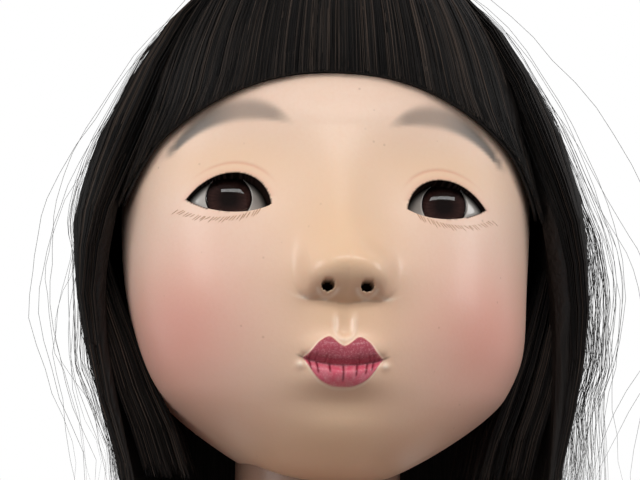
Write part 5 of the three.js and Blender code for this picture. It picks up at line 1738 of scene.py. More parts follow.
@dataclass
class Wig:
    """Straight black hair: a dark inner layer with strands over it, in a fringe, two sides, a back and loose hairs."""

    head: HeadForm
    form: WigForm
    strand_radius: float = 0.00013
    loose_radius: float = 0.000045
    fringe_count: int = 2600
    side_count: int = 1750
    cheek_count: int = 450
    back_count: int = 1700
    fringe_wander: float = 0.0015
    long_wander: float = 0.004
    loose_wander: float = 0.012
    chance_seed: int = 7
    first_loose_seed: int = 9
    over: tuple[float, ...] = (86, 70, 55, 41, 29, 18, 8, 0)  # elevations on the way over the head
    hanging: tuple[float, ...] = (0.1, 0.22, 0.36, 0.52, 0.68, 0.84, 1)  # and shares of the drop below

    def __post_init__(self) -> None:
        """Makes the two finishes of the hair."""
        self.finish = HairFinish("hair_strands").make()
        self.under_finish = HairFinish("hair_under", streaked=True).make()

    def at_head(self, *place: Array) -> Array:
        """Points of the hair in the doll's frame."""
        return self.form.outer(*place) + self.head.middle

    def thickness(self, azimuth: Array, elevation: Array) -> Array:
        """Room between the hair's outer form and the skull."""
        skull = np.linalg.norm(self.head.plain(azimuth, elevation), axis=-1) + 2.5
        return np.linalg.norm(self.form.outer(azimuth, elevation, 0 * azimuth, 0 * azimuth), axis=-1) - skull

    @staticmethod
    def clump(azimuth: Array, degrees: float) -> Array:
        """The middle of the lock that each strand belongs to, with locks this far apart.

        Args:
            azimuth: angles round the head, 0 in front.
            degrees: the angle from lock to lock.

        Returns:
            The locks' azimuths.
        """
        spacing = math.radians(degrees)
        lock = np.round(azimuth / spacing + 0.25 * np.sin(azimuth * 37))
        return lock * spacing + 0.3 * spacing * np.sin(lock * 12.9)

    def fringe_guides(self, count: int, rng: np.random.Generator) -> Array:
        """Lines of the fringe, from the crown to its cut edge.

        Args:
            count: the number of strands.
            rng: the source of chance.

        Returns:
            Lines of points, strands by points by 3.
        """
        half = math.radians(self.form.fringe_half_angle)
        azimuth = rng.uniform(-half, half, count)[:, None]
        t = np.linspace(0, 1, 13)[None]
        end = self.form.fringe_end(azimuth) + np.radians(np.abs(rng.normal(0, 0.5, count)))[:, None]
        turn = mix(azimuth, self.clump(azimuth, 3), 0.12 * t**2)
        turn = turn + np.radians(rng.normal(0, 0.4, count))[:, None] * t
        elevation = mix(math.radians(self.form.crown_angle), end, t)
        room = self.thickness(azimuth, end)
        depth = rng.uniform(0.02, 0.75, count)[:, None] ** 1.3 * room
        depth = depth + (room + 0.5 - depth) * 0.85 * smooth(t, 0.25, 1.0)
        return self.at_head(turn, elevation, depth, 0 * elevation)

    def fall(self, azimuth: Array, cut: Array, finer: int = 1) -> tuple[Array, Array, Array]:
        """Elevations, drops and shares of the way for hair that goes over the head and then hangs.

        Args:
            azimuth: angles round the head, 0 in front.
            cut: how far each strand hangs.
            finer: points for each step of the way.

        Returns:
            The three, strands by points.
        """
        above, below = len(self.over), len(self.hanging)
        knots = np.arange(above + below)
        at = np.linspace(0, knots[-1], finer * (knots.size - 1) + 1)
        elevation = np.radians(np.maximum(smooth_through(knots, self.over + (0,) * below, at), 0))[None]
        hang = np.maximum(smooth_through(knots, (0,) * above + self.hanging, at), 0)[None]
        return elevation + 0 * azimuth, cut * hang, np.linspace(0, 1, at.size)[None]

    def long_guides(self, low: float, high: float, count: int, rng: np.random.Generator) -> Array:
        """Lines of the long hair between two azimuths, from the crown to the cut ends.

        Args:
            low: the first azimuth in degrees.
            high: the last one.
            count: the number of strands.
            rng: the source of chance.

        Returns:
            Lines of points, strands by points by 3.
        """
        azimuth = np.radians(rng.uniform(low, high, count))[:, None]
        cut = self.form.drop * (1 - np.abs(rng.normal(0, 0.03, count)))[:, None]
        elevation, drop, t = self.fall(azimuth, cut)
        turn = mix(azimuth, self.clump(azimuth, 5), 0.25 * t**2)
        turn = turn + np.radians(rng.normal(0, 1.0, count))[:, None] * t
        room = mix(self.thickness(azimuth, 0 * azimuth), self.form.tip_room, smooth(t, 0.3, 0.9))
        depth = rng.uniform(0, 1, count)[:, None] ** 1.5 * room * 0.8
        return self.at_head(turn, elevation, depth, drop)

    def inner_guides(self, low: float, high: float, count: int, rng: np.random.Generator) -> Array:
        """Shorter lines close to the cheek, seen between the outer hair and the face.

        Args:
            low: the first azimuth in degrees.
            high: the last one.
            count: the number of strands.
            rng: the source of chance.

        Returns:
            Lines of points, strands by points by 3.
        """
        azimuth = np.radians(rng.uniform(low, high, count))[:, None]
        elevation, drop, t = self.fall(azimuth, 0.72 * self.form.drop * rng.uniform(0.93, 1, count)[:, None])
        room = self.thickness(azimuth, 0 * azimuth)
        depth = rng.uniform(0.3, 0.92, count)[:, None] * (room + 9 * smooth(t, 0.5, 1))
        turn = azimuth + np.radians(rng.normal(0, 1.5, count))[:, None] * t
        return self.at_head(turn, elevation, depth, drop)

    def loose_guides(
        self, low: float, high: float, count: int, spread: float, loosest: float, rng: np.random.Generator
    ) -> Array:
        """Single hairs that stand off the outer form.

        Args:
            low: the first azimuth in degrees.
            high: the last one.
            count: the number of hairs.
            spread: how far off they stand at most.
            loosest: the share by which the loosest one is tucked in.
            rng: the source of chance.

        Returns:
            Lines of points, hairs by points by 3.
        """
        azimuth = np.radians(rng.uniform(low, high, count))[:, None]
        cut = self.form.drop * rng.uniform(0.7, 0.98, count)[:, None]
        elevation, drop, t = self.fall(azimuth, cut, 2)
        tucked = rng.uniform(loosest, 1, count)[:, None]
        off = mix(-3, spread, rng.uniform(0.02, 1, count)[:, None] ** 1.3)
        start = rng.uniform(0, 0.4, count)[:, None]
        bow = smooth(t, start, start + 0.55) * (1 - rng.uniform(0, 0.9, count)[:, None] * smooth(t, 0.65, 1))
        sway = np.radians(rng.normal(0, 6, count))[:, None] * np.sin(t * rng.uniform(2, 5, count)[:, None])
        return self.at_head(azimuth + sway, elevation, -off * bow, drop, tucked)

    def under_layer(self, node: str, azimuth: Array, elevation: Array, drop: Array, pull: Array) -> None:
        """The dark inner layer below a panel of strands, pulled towards the skin by a share of its room.

        Args:
            node: the panel's node.
            azimuth: angles round the head, 0 in front.
            elevation: angles above the eyes.
            drop: how far the layer hangs.
            pull: shares by which it is pulled to the skin.
        """
        room = self.thickness(azimuth, elevation)
        near = mix(np.minimum(1.5, room * 0.5), room + 1.2, pull)
        far = mix(room, np.minimum(room, self.form.tip_room), smooth(drop / self.form.drop, 0, 0.8))
        sheets = (self.at_head(azimuth, elevation, depth, drop) for depth in (near, np.maximum(far, near + 0.6)))
        dress(Sketch().thick_sheet(*sheets).build(f"{node}_under", self.under_finish), "head", "hair", node)

    def crown(self) -> None:
        """The cap of hair at the top, under the strands that spread from there."""
        turn = circle(72)[None]
        up = np.radians(np.linspace(89.4, 55, 16))[:, None]
        inner = self.at_head(turn, up, self.thickness(turn + 0 * up, up + 0 * turn) * 0.8, 0 * up)
        outer = self.at_head(turn, up[::-1], 0.7, 0 * up)
        cap = Sketch().loft(np.concatenate([inner, outer])).build("hair_crown_cap", self.under_finish)
        dress(cap, "head", "hair", "hair_crown")

    def strand_panels(self, rng: np.random.Generator) -> None:
        """The strands of the fringe, the sides and the back, and the loose hairs of the sides.

        Args:
            rng: the source of chance.
        """
        half, end = self.form.fringe_half_angle, self.form.side_angle
        panels = {"hair_fringe": self.fringe_guides(self.fringe_count, rng)}
        sides = {"hair_left": ((half - 2, end), (66, 112)), "hair_right": ((-end, 2 - half), (-112, -66))}
        for node, (outer, inner) in sides.items():
            strands = self.long_guides(*outer, self.side_count, rng)
            panels[node] = np.concatenate([strands, self.inner_guides(*inner, self.cheek_count, rng)])
        back = self.form.back_angle
        panels["hair_back"] = self.long_guides(back, 360 - back, self.back_count, rng)
        for seed, (node, lines) in enumerate(panels.items()):
            wander = self.fringe_wander if node == "hair_fringe" else self.long_wander
            inputs = dict(Radius=self.strand_radius, Wander=wander, Seed=seed)
            dress(sweep_strands(f"{node}_strands", lines, self.finish, **inputs), "head", "hair", node)
        loose = {
            "hair_left": ((60, 120, 240, 5, -0.2), (45, 130, 22, 16, 0.3)),
            "hair_right": ((-120, -60, 80, 2.5, 0.99), (-130, -45, 16, 15, 0.7)),
        }
        for seed, (node, kinds) in enumerate(loose.items(), self.first_loose_seed):
            lines = np.concatenate([self.loose_guides(*kind, rng) for kind in kinds])
            inputs = dict(Radius=self.loose_radius, Wander=self.loose_wander, Seed=seed)
            dress(sweep_strands(f"{node}_loose", lines, self.finish, **inputs), "head", "hair", node)

    def build(self) -> None:
        """Makes the whole wig."""
        self.strand_panels(np.random.default_rng(self.chance_seed))
        self.crown()
        half, end, back = self.form.fringe_half_angle, self.form.side_angle, self.form.back_angle
        top = math.radians(self.form.crown_angle)
        azimuth, t = np.meshgrid(np.radians(np.linspace(-half, half, 60)), np.linspace(0, 1, 24), indexing="ij")
        low = self.form.fringe_end(azimuth) + math.radians(1.2)
        self.under_layer("hair_fringe", azimuth, mix(low, top, t), 0 * t, 0.95 * smooth(1 - t, 0.2, 1.0))
        panels = {"hair_left": (half, end), "hair_right": (-end, -half), "hair_back": (back, 360 - back)}
        for node, span in panels.items():
            azimuth, t = np.meshgrid(np.radians(np.linspace(*span, 50)), np.linspace(0, 1, 60), indexing="ij")
            drop = 0.94 * self.form.drop * np.clip((t - 0.55) / 0.45, 0, 1)
            self.under_layer(node, azimuth, top * np.clip(1 - t / 0.55, 0, 1), drop, 0 * t)


# Body and clothes


def oval(angle: Array, half_width: Array, half_depth: Array, squareness: float = 2.4) -> tuple[Array, Array]:
    """Points of a rounded oval; angle 0 is the front and a quarter turn is the doll's left.

    Args:
        angle: angles round the oval.
        half_width: half of its width.
        half_depth: half of its depth.
        squareness: 2 for an ellipse, more for squarer corners.

    Returns:
        Places along x and y.
    """
    s, c = np.sin(angle), np.cos(angle)
    size = (np.abs(s / half_width) ** squareness + np.abs(c / half_depth) ** squareness) ** (-1 / squareness)
    return s * size, -c * size


def near_edge(t: Array, width: float = 0.06) -> Array:
    """How close a share is to either end, from 0 inside to 1 at the edge."""
    return 1 - smooth(np.minimum(t, 1 - t), 0, width)


def closed(angle: Array) -> Array:
    """A column of angles with the full turn at its end."""
    return np.concatenate([angle, [[2 * math.pi]]])


def flat_grid(across: Array, along: Array) -> Array:
    """Flat coordinates in metres from a grid's lengths in millimetres."""
    return np.stack(np.broadcast_arrays(across, along), -1) * MM


def column_rings(x: float, y: float, z: Array, radius: Array, turn: Array) -> Array:
    """Rings of a round upright column, with a radius for each height."""
    return np.stack([x + radius * np.cos(turn), y + radius * np.sin(turn), z[:, None] + 0 * turn], -1)


def limb_rings(path: Array, radii: Array, sides: int = 28, cap_steps: int = 5) -> Array:
    """Rings round a path with a radius at each point, its ends rounded off.

    Args:
        path: points in millimetres.
        radii: a radius for each point.
        sides: points of a ring.
        cap_steps: rings of each rounded end.

    Returns:
        Rings by sides by 3.
    """
    path, radii = np.asarray(path, float), np.asarray(radii, float)
    along = np.gradient(path, axis=0)
    along /= np.linalg.norm(along, axis=1, keepdims=True)
    caps = np.linspace(0.12, 0.5, cap_steps, endpoint=False) * math.pi
    start = [(path[0] - along[0] * radii[0] * math.cos(a), along[0], radii[0] * math.sin(a)) for a in caps]
    end = [(path[-1] + along[-1] * radii[-1] * math.cos(a), along[-1], radii[-1] * math.sin(a)) for a in caps[::-1]]
    turn = circle(sides)[:, None]
    rings = []
    for centre, forward, radius in [*start, *zip(path, along, radii), *end]:
        across = np.cross(forward, (0.0, 1.0, 0.0) if abs(forward[1]) < 0.9 else (1.0, 0.0, 0.0))
        across /= np.linalg.norm(across)
        up = np.cross(across, forward)
        rings.append(centre + radius * (np.cos(turn) * across + np.sin(turn) * up))
    return np.array(rings)


def finished(obj: Object) -> None:
    """Turns an object's modifiers into its plain mesh and takes them off.

    Args:
        obj: the object.
    """
    mesh = plain_mesh(obj, obj.name)
    obj.modifiers.clear()
    obj.data = mesh


def cut_away(obj: Object, cutter: Object) -> None:
    """Cuts one closed shape out of another and removes the cutter; its finish stays on the cut faces.

    Args:
        obj: what is cut.
        cutter: the shape that is taken out.
    """
    cut = obj.modifiers.new("cut", "BOOLEAN")
    cut.operation = "DIFFERENCE"
    cut.solver = "EXACT"
    cut.material_mode = "TRANSFER"
    cut.object = cutter
    finished(obj)
    bpy.data.objects.remove(cutter)


def fuse(obj: Object, voxel: float, rounds: int) -> None:
    """Melts overlapping closed shapes into one smooth skin.

    Args:
        obj: the object.
        voxel: the voxel's size in millimetres.
        rounds: how often it is smoothed.
    """
    material = obj.data.materials[0]
    remesh = obj.modifiers.new("remesh", "REMESH")
    remesh.mode = "VOXEL"
    remesh.voxel_size = voxel * MM
    soften = obj.modifiers.new("smooth", "SMOOTH")
    soften.factor = 0.5
    soften.iterations = rounds
    finished(obj)
    obj.data.materials.clear()
    obj.data.materials.append(material)


def cloth_area(obj: Object) -> float:
    """Half of a closed cloth's surface, in square metres."""
    return sum(face.area for face in obj.data.polygons) / 2


@dataclass
class BodyForm:
    """The padded body under the clothes, from the crotch up to the stand of the collar."""

    middle_y: float
    crotch_z: float = 147
    waist_z: float = 209
    chest_z: float = 293
    arm_z: float = 346
    shoulder_z: float = 347
    neck_z: float = 365
    neck_setback: float = 4
    heights: tuple[float, ...] = (147, 174.9, 242.6, 314.6, 347, 357.8, 365, 385)
    half_widths: tuple[float, ...] = (38, 45, 39, 43, 46, 35.2, 22, 24)
    half_depths: tuple[float, ...] = (30, 35, 31, 32, 27, 24, 22, 27)

    def sizes(self, z: Array) -> tuple[Array, Array]:
        """Half width and half depth at a height."""
        return smooth_through(self.heights, self.half_widths, z), smooth_through(self.heights, self.half_depths, z)

    def point(self, angle: Array, z: Array, out: Array) -> Array:
        """Points round the body, pushed out by a distance.

        Args:
            angle: angles round the body, 0 in front.
            z: heights in the doll's frame.
            out: the distance out of the body.

        Returns:
            Points in the doll's frame.
        """
        angle, z, out = np.broadcast_arrays(angle, z, out)
        wide, deep = self.sizes(z)
        x, y = oval(angle, wide + out, deep + out)
        y = y + self.neck_setback * smooth(z, self.shoulder_z, self.neck_z) + self.middle_y
        return np.stack([x, y, z], -1)


class Finishes:
    """Every finish of the body and clothes, made once."""

    def __init__(self) -> None:
        """Makes the finishes."""
        self.kimono = CrepeFinish("kimono_crepe").make()
        self.lining = PlainClothFinish("lining_silk", srgb(222, 204, 166), srgb(204, 180, 138), 2600).make()
        self.cotton = PlainClothFinish("white_cotton", srgb(240, 236, 227), srgb(222, 214, 200), 1700).make()
        self.stuffed = PlainClothFinish("stuffed_cloth", srgb(226, 216, 196), srgb(206, 192, 168), 1300).make()
        self.brocade = BrocadeFinish().make()
        self.scarf = DappledFinish().make()
        self.cord = CordFinish().make()
        self.skin = GofunFinish("gofun_limbs").make()
        self.wood = WoodFinish().make()
        self.putty = PuttyFinish().make()
        self.sole = SoleFinish().make()
        self.strap = PlainClothFinish("sandal_strap", srgb(150, 30, 40), srgb(112, 18, 28), 2200).make()


@dataclass
class Kimono:
    """The robe without its sleeves: skirt, padded hem, bodice and the two collars."""

    body: BodyForm
    finishes: Finishes
    cloth: float = 1.6
    hem_z: float = 20
    skirt_top: float = 252.4
    half_width: float = 51
    half_depth: float = 43
    overlap: float = 75
    hem_roll: float = 2.8
    bodice_round: float = 45  # turns the bodice's angles into flat lengths
    collar_rise: float = 4
    collar_thick: float = 1.8
    armhole: float = 9.1
    chest_height: float = 72
    tucked: float = 29  # the bodice reaches this far below the chest, into the sash
    pull_z: float = 306  # its small creases gather at this height
    collar_angles: tuple[float, ...] = (180, 140, 100, 65, 40, 20, 6, -18, -30)
    collar_lows: tuple[float, ...] = (0.028, 0.014, -0.056, -0.167, -0.32, -0.5, -0.625, -0.806, -0.917)
    collar_highs: tuple[float, ...] = (0.236, 0.229, 0.153, 0.028, -0.125, -0.292, -0.43, -0.639, -0.764)

    def skirt_point(self, angle: Array, share: Array, out: Array) -> Array:
        """Points of the wound skirt; the angle runs on past a full turn where the left front lies over the right.

        Args:
            angle: angles of the winding.
            share: shares of the way up from the hem.
            out: the distance out of the inner side.

        Returns:
            Points in the doll's frame.
        """
        angle, share, out = np.broadcast_arrays(angle, share, out)
        z = mix(self.hem_z, self.skirt_top, share)
        top = smooth(share, 0.68, 0.9)
        wide, deep = self.body.sizes(z)
        hang = 1 - smooth(share, 0.3, 0.8)
        folds = hang * (0.8 * np.cos(9 * angle) + 0.5 * np.cos(5 * angle + 1.1) + 0.3 * np.cos(14 * angle + 0.4))
        folds = folds + 0.25 * np.cos(22 * angle + 2 * np.sin(3 * angle)) * bump(0 * share, share, 0, 0.8, 1, 0.09)
        more = (self.cloth + GAP) * angle / (2 * math.pi) + folds + out
        wide = mix(self.half_width, wide + 2 * GAP, top) + more
        deep = mix(self.half_depth, deep + 2 * GAP, top) + more
        x, y = oval(angle, wide, deep)
        return np.stack([-x, y + self.body.middle_y, z], -1)

    def skirt(self) -> None:
        """The wrapped skirt."""
        half = math.radians(self.overlap / 2)
        angle = np.linspace(-half, 2 * math.pi + half, 260)[:, None]
        share = np.linspace(0, 1, 84)[None]
        soft = 0.5 * near_edge(share, 0.01)
        outer = self.skirt_point(angle, share, self.cloth - soft)
        across = arc_lengths(outer, 0)[:, 10:11]
        flat = flat_grid(across, outer[..., 2])
        sketch = Sketch().thick_sheet(outer, self.skirt_point(angle, share, soft), flat, rim=1)
        obj = sketch.build("kimono_skirt_cloth", self.finishes.kimono, self.finishes.lining)
        dress(obj, "body", "kimono_silk", "kimono_skirt")

    def hem(self) -> None:
        """The padded roll under the hem."""
        half = math.radians(self.overlap / 2)
        angle = np.linspace(half + math.radians(9), 2 * math.pi + half, 220)
        path = self.skirt_point(angle, 0 * angle, 0 * angle + self.cloth / 2)
        path[:, 2] = self.hem_z - GAP - self.hem_roll
        plump = self.hem_roll * (1 - 0.05 * np.abs(np.sin(angle * 11)))
        obj = Sketch().loft(limb_rings(path, plump, 20)).build("kimono_hem_padding", self.finishes.lining)
        dress(obj, "body", "lining_silk", "kimono_hem_roll")

    def collar_edge(self, values: tuple[float, ...], degrees: Array) -> Array:
        """A collar's edge as heights above the neck seat, at angles from the front."""
        return self.chest_height * smooth_through(self.collar_angles[::-1], values[::-1], degrees)

    def bodice(self) -> None:
        """The part of the robe over the chest, with its two armholes."""
        angle = circle(220)[:, None]
        turn = np.degrees(np.minimum(angle, 2 * math.pi - angle))
        t = np.linspace(0, 1, 60)[None]
        bottom = self.body.chest_z - self.tucked
        z = mix(bottom, self.body.neck_z + self.collar_edge(self.collar_lows, turn) - GAP, t)
        pull = 0.18 * np.cos(24 * angle + z * 0.05) * bump(0 * z, z, 0, self.pull_z, 1, 9)
        outer = self.body.point(angle, z, 2 * GAP + self.cloth - 0.3 * near_edge(t, 0.02) + pull)
        inner = self.body.point(angle, z, 2 * GAP + 0 * z)
        height = z[:, :1] + arc_lengths(outer, 1)
        flat = flat_grid(closed(angle) * self.bodice_round, np.concatenate([height, height[:1]]))
        obj = Sketch().thick_sheet(outer, inner, flat, wrap=True).build("kimono_bodice_cloth", self.finishes.kimono)
        through = [[x, self.body.middle_y, self.body.arm_z] for x in (-120.0, 120.0)]
        drill = Sketch().loft(limb_rings(through, [self.armhole] * 2, 48, 1))
        cut_away(obj, drill.build("drill", self.finishes.lining))
        dress(obj, "body", "kimono_silk", "kimono_bodice")

    def collar(self, name: str, finish: Material, inner: float, left_end: float) -> tuple[Object, float]:
        """A band round the neck.

        Args:
            name: the piece's name.
            finish: its cloth.
            inner: how far its inner side lies outside the body.
            left_end: the angle at which the left front ends; past the middle it laps over the right front.

        Returns:
            The band and its length in metres.
        """
        right, left = np.linspace(6, 180, 110), np.linspace(180, left_end, 150)[1:]
        turn = np.concatenate([right, left])[:, None]
        sign = np.concatenate([-np.ones(right.size), np.ones(left.size)])[:, None]
        lapped = left_end < 0
        lap = 2.2 * smooth(-turn, -60, -10) * (sign > 0) * lapped
        t = np.linspace(0, 1, 22)[None]
        rise = 0 if lapped else self.collar_rise
        low, high = (self.collar_edge(v, turn) for v in (self.collar_lows, self.collar_highs))
        z = self.body.neck_z + rise + mix(low, high, t)
        soft = near_edge(t, 0.16) ** 2
        crown = 0.35 * np.sin(math.pi * t)
        angle = np.radians(turn) * sign
        outer = self.body.point(angle, z, inner + lap + self.collar_thick * (1 - 0.35 * soft) + crown)
        within = self.body.point(angle, z, inner + lap + self.collar_thick * 0.3 * soft)
        along = arc_lengths(outer, 0)[:, 11:12]
        sketch = Sketch().thick_sheet(outer, within, flat_grid(along, arc_lengths(outer, 1)))
        return sketch.build(name, finish), float(along.max()) * MM

    def build(self) -> None:
        """Makes every piece of the robe but its sleeves."""
        self.skirt()
        self.hem()
        self.bodice()
        for name, finish, inner, left_end, slot, node in (
            ("kimono_collar_band", self.finishes.kimono, 3.0, -30, "kimono_silk", "kimono_collar"),
            ("under_collar_band", self.finishes.cotton, 0.8, 6, "white_cotton", "under_collar"),
        ):
            obj, long = self.collar(name, finish, inner, left_end)
            dress(obj, "body", slot, node)


@dataclass
class Sash:
    """The sash with its cord, its scarf and the bow tied behind."""

    body: BodyForm
    finishes: Finishes
    bottom_z: float = 235
    top_z: float = 293
    inner: float = 5.2
    thick: float = 3
    round_length: float = 50  # turns the sash's angles into flat lengths
    cord_radius: float = 2.4
    ply_radius: float = 0.62
    knot_ply_radius: float = 0.75
    braid_turns: int = 30
    scarf_radius: float = 3.4
    scarf_round: float = 46
    scarf_inner: float = 2.8
    scarf_least: float = 2.7  # nothing of the scarf lies closer to the body
    bow_half_span: float = 50
    bow_height: float = 44
    bow_depth: float = 17
    bow_cloth: float = 2.4
    knot_half_width: float = 8
    knot_height: float = 0.28  # half of the knot's height, as a share of the bow's
    tail_length: float = 62
    tail_half_width: float = 20

    def __post_init__(self) -> None:
        """Places the cord and the bow on the sash."""
        self.cord_z = (self.bottom_z + self.top_z) / 2
        self.cord_out = self.inner + self.thick + GAP + self.cord_radius
        self.bow_z = mix(self.bottom_z, self.top_z, 0.62)
        self.back_y = float(self.body.point(math.pi, self.cord_z, self.cord_out + self.cord_radius + GAP)[1])

    def band(self) -> None:
        """The sash wound round the waist."""
        angle = circle(240)[:, None]
        t = np.linspace(0, 1, 44)[None]
        z = mix(self.bottom_z, self.top_z, t)
        soft = near_edge(t, 0.05) ** 2
        step = 0.5 * smooth(t, 0.815, 0.83)
        waist = 0.35 * np.cos(4 * angle) * np.sin(math.pi * t) - 0.4 * bell(t - 0.5, 0.05)
        outer = self.body.point(angle, z, self.inner + self.thick - 0.9 * soft - step + waist)
        within = self.body.point(angle, z, self.inner + 0 * t)
        sketch = Sketch().thick_sheet(outer, within, flat_grid(closed(angle) * self.round_length, z), wrap=True)
        obj = dress(sketch.build("obi_band", self.finishes.brocade), "body", "obi_brocade", "obi")

    def cord(self) -> None:
        """The round braided cord, tied in front in a flat knot."""
        turns = self.braid_turns
        s = np.linspace(0, 1, 721)[None]
        start = np.arange(8)[:, None]
        way = np.where(start % 2 == 0, 1, -1)
        twist = 2 * math.pi * (way * turns * s + start / 8)
        weave = 0.28 * np.cos(4 * math.pi * turns * s * 2 + math.pi * (start % 2))
        radius = self.cord_radius - self.ply_radius + weave
        angle = 2 * math.pi * s + 0 * start
        ring = self.body.point(angle, self.cord_z + 0 * angle, self.cord_out + radius * np.cos(twist))
        ring[..., 2] = self.cord_z + radius * np.sin(twist)
        front = self.body.point(0, self.cord_z, self.cord_out + 0.9)
        a = np.linspace(0, 2 * math.pi, 121)[None]
        shift = np.array([0, 0.8, -0.8])[:, None]
        x = 3.3 * np.sin(a) + 2.4 * np.sin(2 * a) + 0 * shift
        y = -1.1 - 1.2 * np.sin(3 * a) + 0.4 * np.cos(9 * a + shift)
        knot = np.stack([x, y, 1.6 * np.cos(a) - 1.9 * np.cos(2 * a) + shift], -1) + front
        for name, lines, ply, sides in (
            ("obi_cord_braid", ring, self.ply_radius, 7),
            ("obi_cord_knot", knot, self.knot_ply_radius, 8),
        ):
            obj = sweep_strands(name, lines, self.finishes.cord, Radius=ply * MM, Wander=0.0, Sides=sides)
            dress(obj, "body", "obi_cord", "obi_cord")

    def scarf(self) -> None:
        """The rolled scarf along the sash's upper edge, knotted in front."""
        angle = circle(300)[:, None]
        turn = circle(30)[None]
        from_front = np.minimum(angle, 2 * math.pi - angle)
        tie = bell(from_front, 0.11) - 0.45 * bell(from_front - 0.27, 0.1)
        twist = 0.09 * np.cos(4 * turn + 7 * angle) + 0.06 * np.cos(7 * turn - 11 * angle)
        radius = self.scarf_radius * (1 + 0.28 * tie + twist)
        out = self.scarf_inner + self.scarf_radius + radius * np.cos(turn)
        z = self.top_z + GAP + self.scarf_radius * 0.7
        points = self.body.point(angle + 0 * turn, z + 0 * turn, np.maximum(out, self.scarf_least))
        points[..., 2] = z + radius * 0.72 * np.sin(turn)
        flat = flat_grid(closed(angle) * self.scarf_round, np.linspace(0, 20, 31)[None])
        obj = Sketch().hoop(points, flat).build("obi_scarf_roll", self.finishes.scarf)
        dress(obj, "body", "scarf_silk", "obi_scarf")

    def loop_points(self, sign: int, turn: Array, t: Array, inset: Array) -> Array:
        """Points of one loop of the bow.

        Args:
            sign: 1 for the left loop, -1 for the right one.
            turn: angles round the loop.
            t: places across it, from -0.5 to 0.5.
            inset: the distance in from its outer side.

        Returns:
            Points in the doll's frame.
        """
        reach = (self.bow_half_span - self.knot_half_width - GAP) / 2
        x = self.knot_half_width + GAP + reach + (reach - inset) * np.cos(turn)
        pleat = 1 - smooth(x, self.knot_half_width, self.bow_half_span * 0.75)
        y = self.back_y + self.bow_depth / 2 + (self.bow_depth / 2 - inset) * np.sin(turn)
        y = y + 0.9 * pleat * np.cos(5 * math.pi * t) * np.abs(np.sin(turn)) + 0.5 * np.sin(7 * t + x * 0.1)
        spread = mix(0.45, 1, smooth(x, self.knot_half_width, self.bow_half_span * 0.7))
        droop = -10 * (x / self.bow_half_span) ** 2
        z = self.bow_z + droop + self.bow_height * spread * t
        return np.stack(np.broadcast_arrays(sign * x, y, z), -1)

    def loop(self, side: Side) -> None:
        """One loop of the bow.

        Args:
            side: the loop's side.
        """
        turn = np.linspace(-0.96, 0.96, 110)[:, None] * math.pi
        t = np.linspace(-0.5, 0.5, 40)[None]
        soft = 0.8 * near_edge(t + 0.5, 0.04)
        outer = self.loop_points(side.value, turn, t, 0.6 * soft)
        within = self.loop_points(side.value, turn, t, self.bow_cloth - 0.6 * soft)
        along = arc_lengths(outer, 0)[:, 20:21]
        sketch = Sketch().thick_sheet(outer, within, flat_grid(along, t * self.bow_height))
        obj = sketch.build(f"obi_loop_{side.word}", self.finishes.brocade)
        dress(obj, "body", "obi_brocade", f"obi_bow_{side.word}")

    def knot(self) -> None:
        """The knot between the loops."""
        angle = circle(96)[None]
        share = np.linspace(-1, 1, 46)[:, None]
        size = mix(1, 0.72, smooth(np.abs(share), 0.7, 1)) * (1 + 0.035 * np.cos(7 * angle) * (1 - share**4))
        x, y = oval(angle, self.knot_half_width * size, self.bow_depth / 2 * size, 3)
        z = self.bow_z + self.bow_height * self.knot_height * share + 0 * angle
        rings = np.stack([x, y + self.back_y + self.bow_depth / 2, z], -1)
        flat = flat_grid(np.linspace(0, 50, 97)[:, None], z.mean(1)[None])
        obj = Sketch().loft(rings, flat).build("obi_knot_wrap", self.finishes.brocade)
        dress(obj, "body", "obi_brocade", "obi_knot")

    def tail(self) -> None:
        """The tail that hangs from the knot."""
        across = np.linspace(-1, 1, 48)[:, None]
        down = np.linspace(0, 1, 70)[None]
        wide = mix(self.knot_half_width, self.tail_half_width, smooth(down, 0, 0.4))
        fold = 3 * np.cos(across * math.pi / 2) + 0.9 * np.cos(5 * across + 0.6) * smooth(down, 0.1, 0.7)
        gather = 0.8 * np.cos(9 * across) * (1 - smooth(down, 0, 0.35))
        y = self.back_y + self.bow_depth / 2 + fold + gather
        z = self.bow_z - self.bow_height * self.knot_height - GAP - self.tail_length * down
        outer = np.stack(np.broadcast_arrays(across * wide, y, z), -1)
        sketch = Sketch().thick_sheet(outer, outer - (0, self.bow_cloth, 0), outer[..., [0, 2]] * MM)
        obj = dress(sketch.build("obi_tail_cloth", self.finishes.brocade), "body", "obi_brocade", "obi_tail")

    def build(self) -> None:
        """Makes the whole sash."""
        self.band()
        self.cord()
        self.scarf()
        for side in Side:
            self.loop(side)
        self.knot()
        self.tail()


@dataclass
class Limb:
    """What an arm and a leg share; both are modelled on the left and carried to their side."""

    side: Side
    body: BodyForm
    finishes: Finishes

    def named(self, piece: str) -> str:
        """A piece's or node's name with its side."""
        return f"{self.side.word}_{piece}"

    def placed(self, points: Array) -> Array:
        """Points of the left limb carried to this side and to the doll's middle plane."""
        return np.asarray(points) * (self.side.value, 1, 1) + (0, self.body.middle_y, 0)

    def solids(self, *stacks: Array) -> Sketch:
        """A sketch of solids through stacks of rings of the left limb.

        Args:
            stacks: stacks of rings, one for each solid.

        Returns:
            The sketch.
        """
        sketch = Sketch()
        for rings in stacks:
            sketch.loft(self.placed(rings))
        return sketch


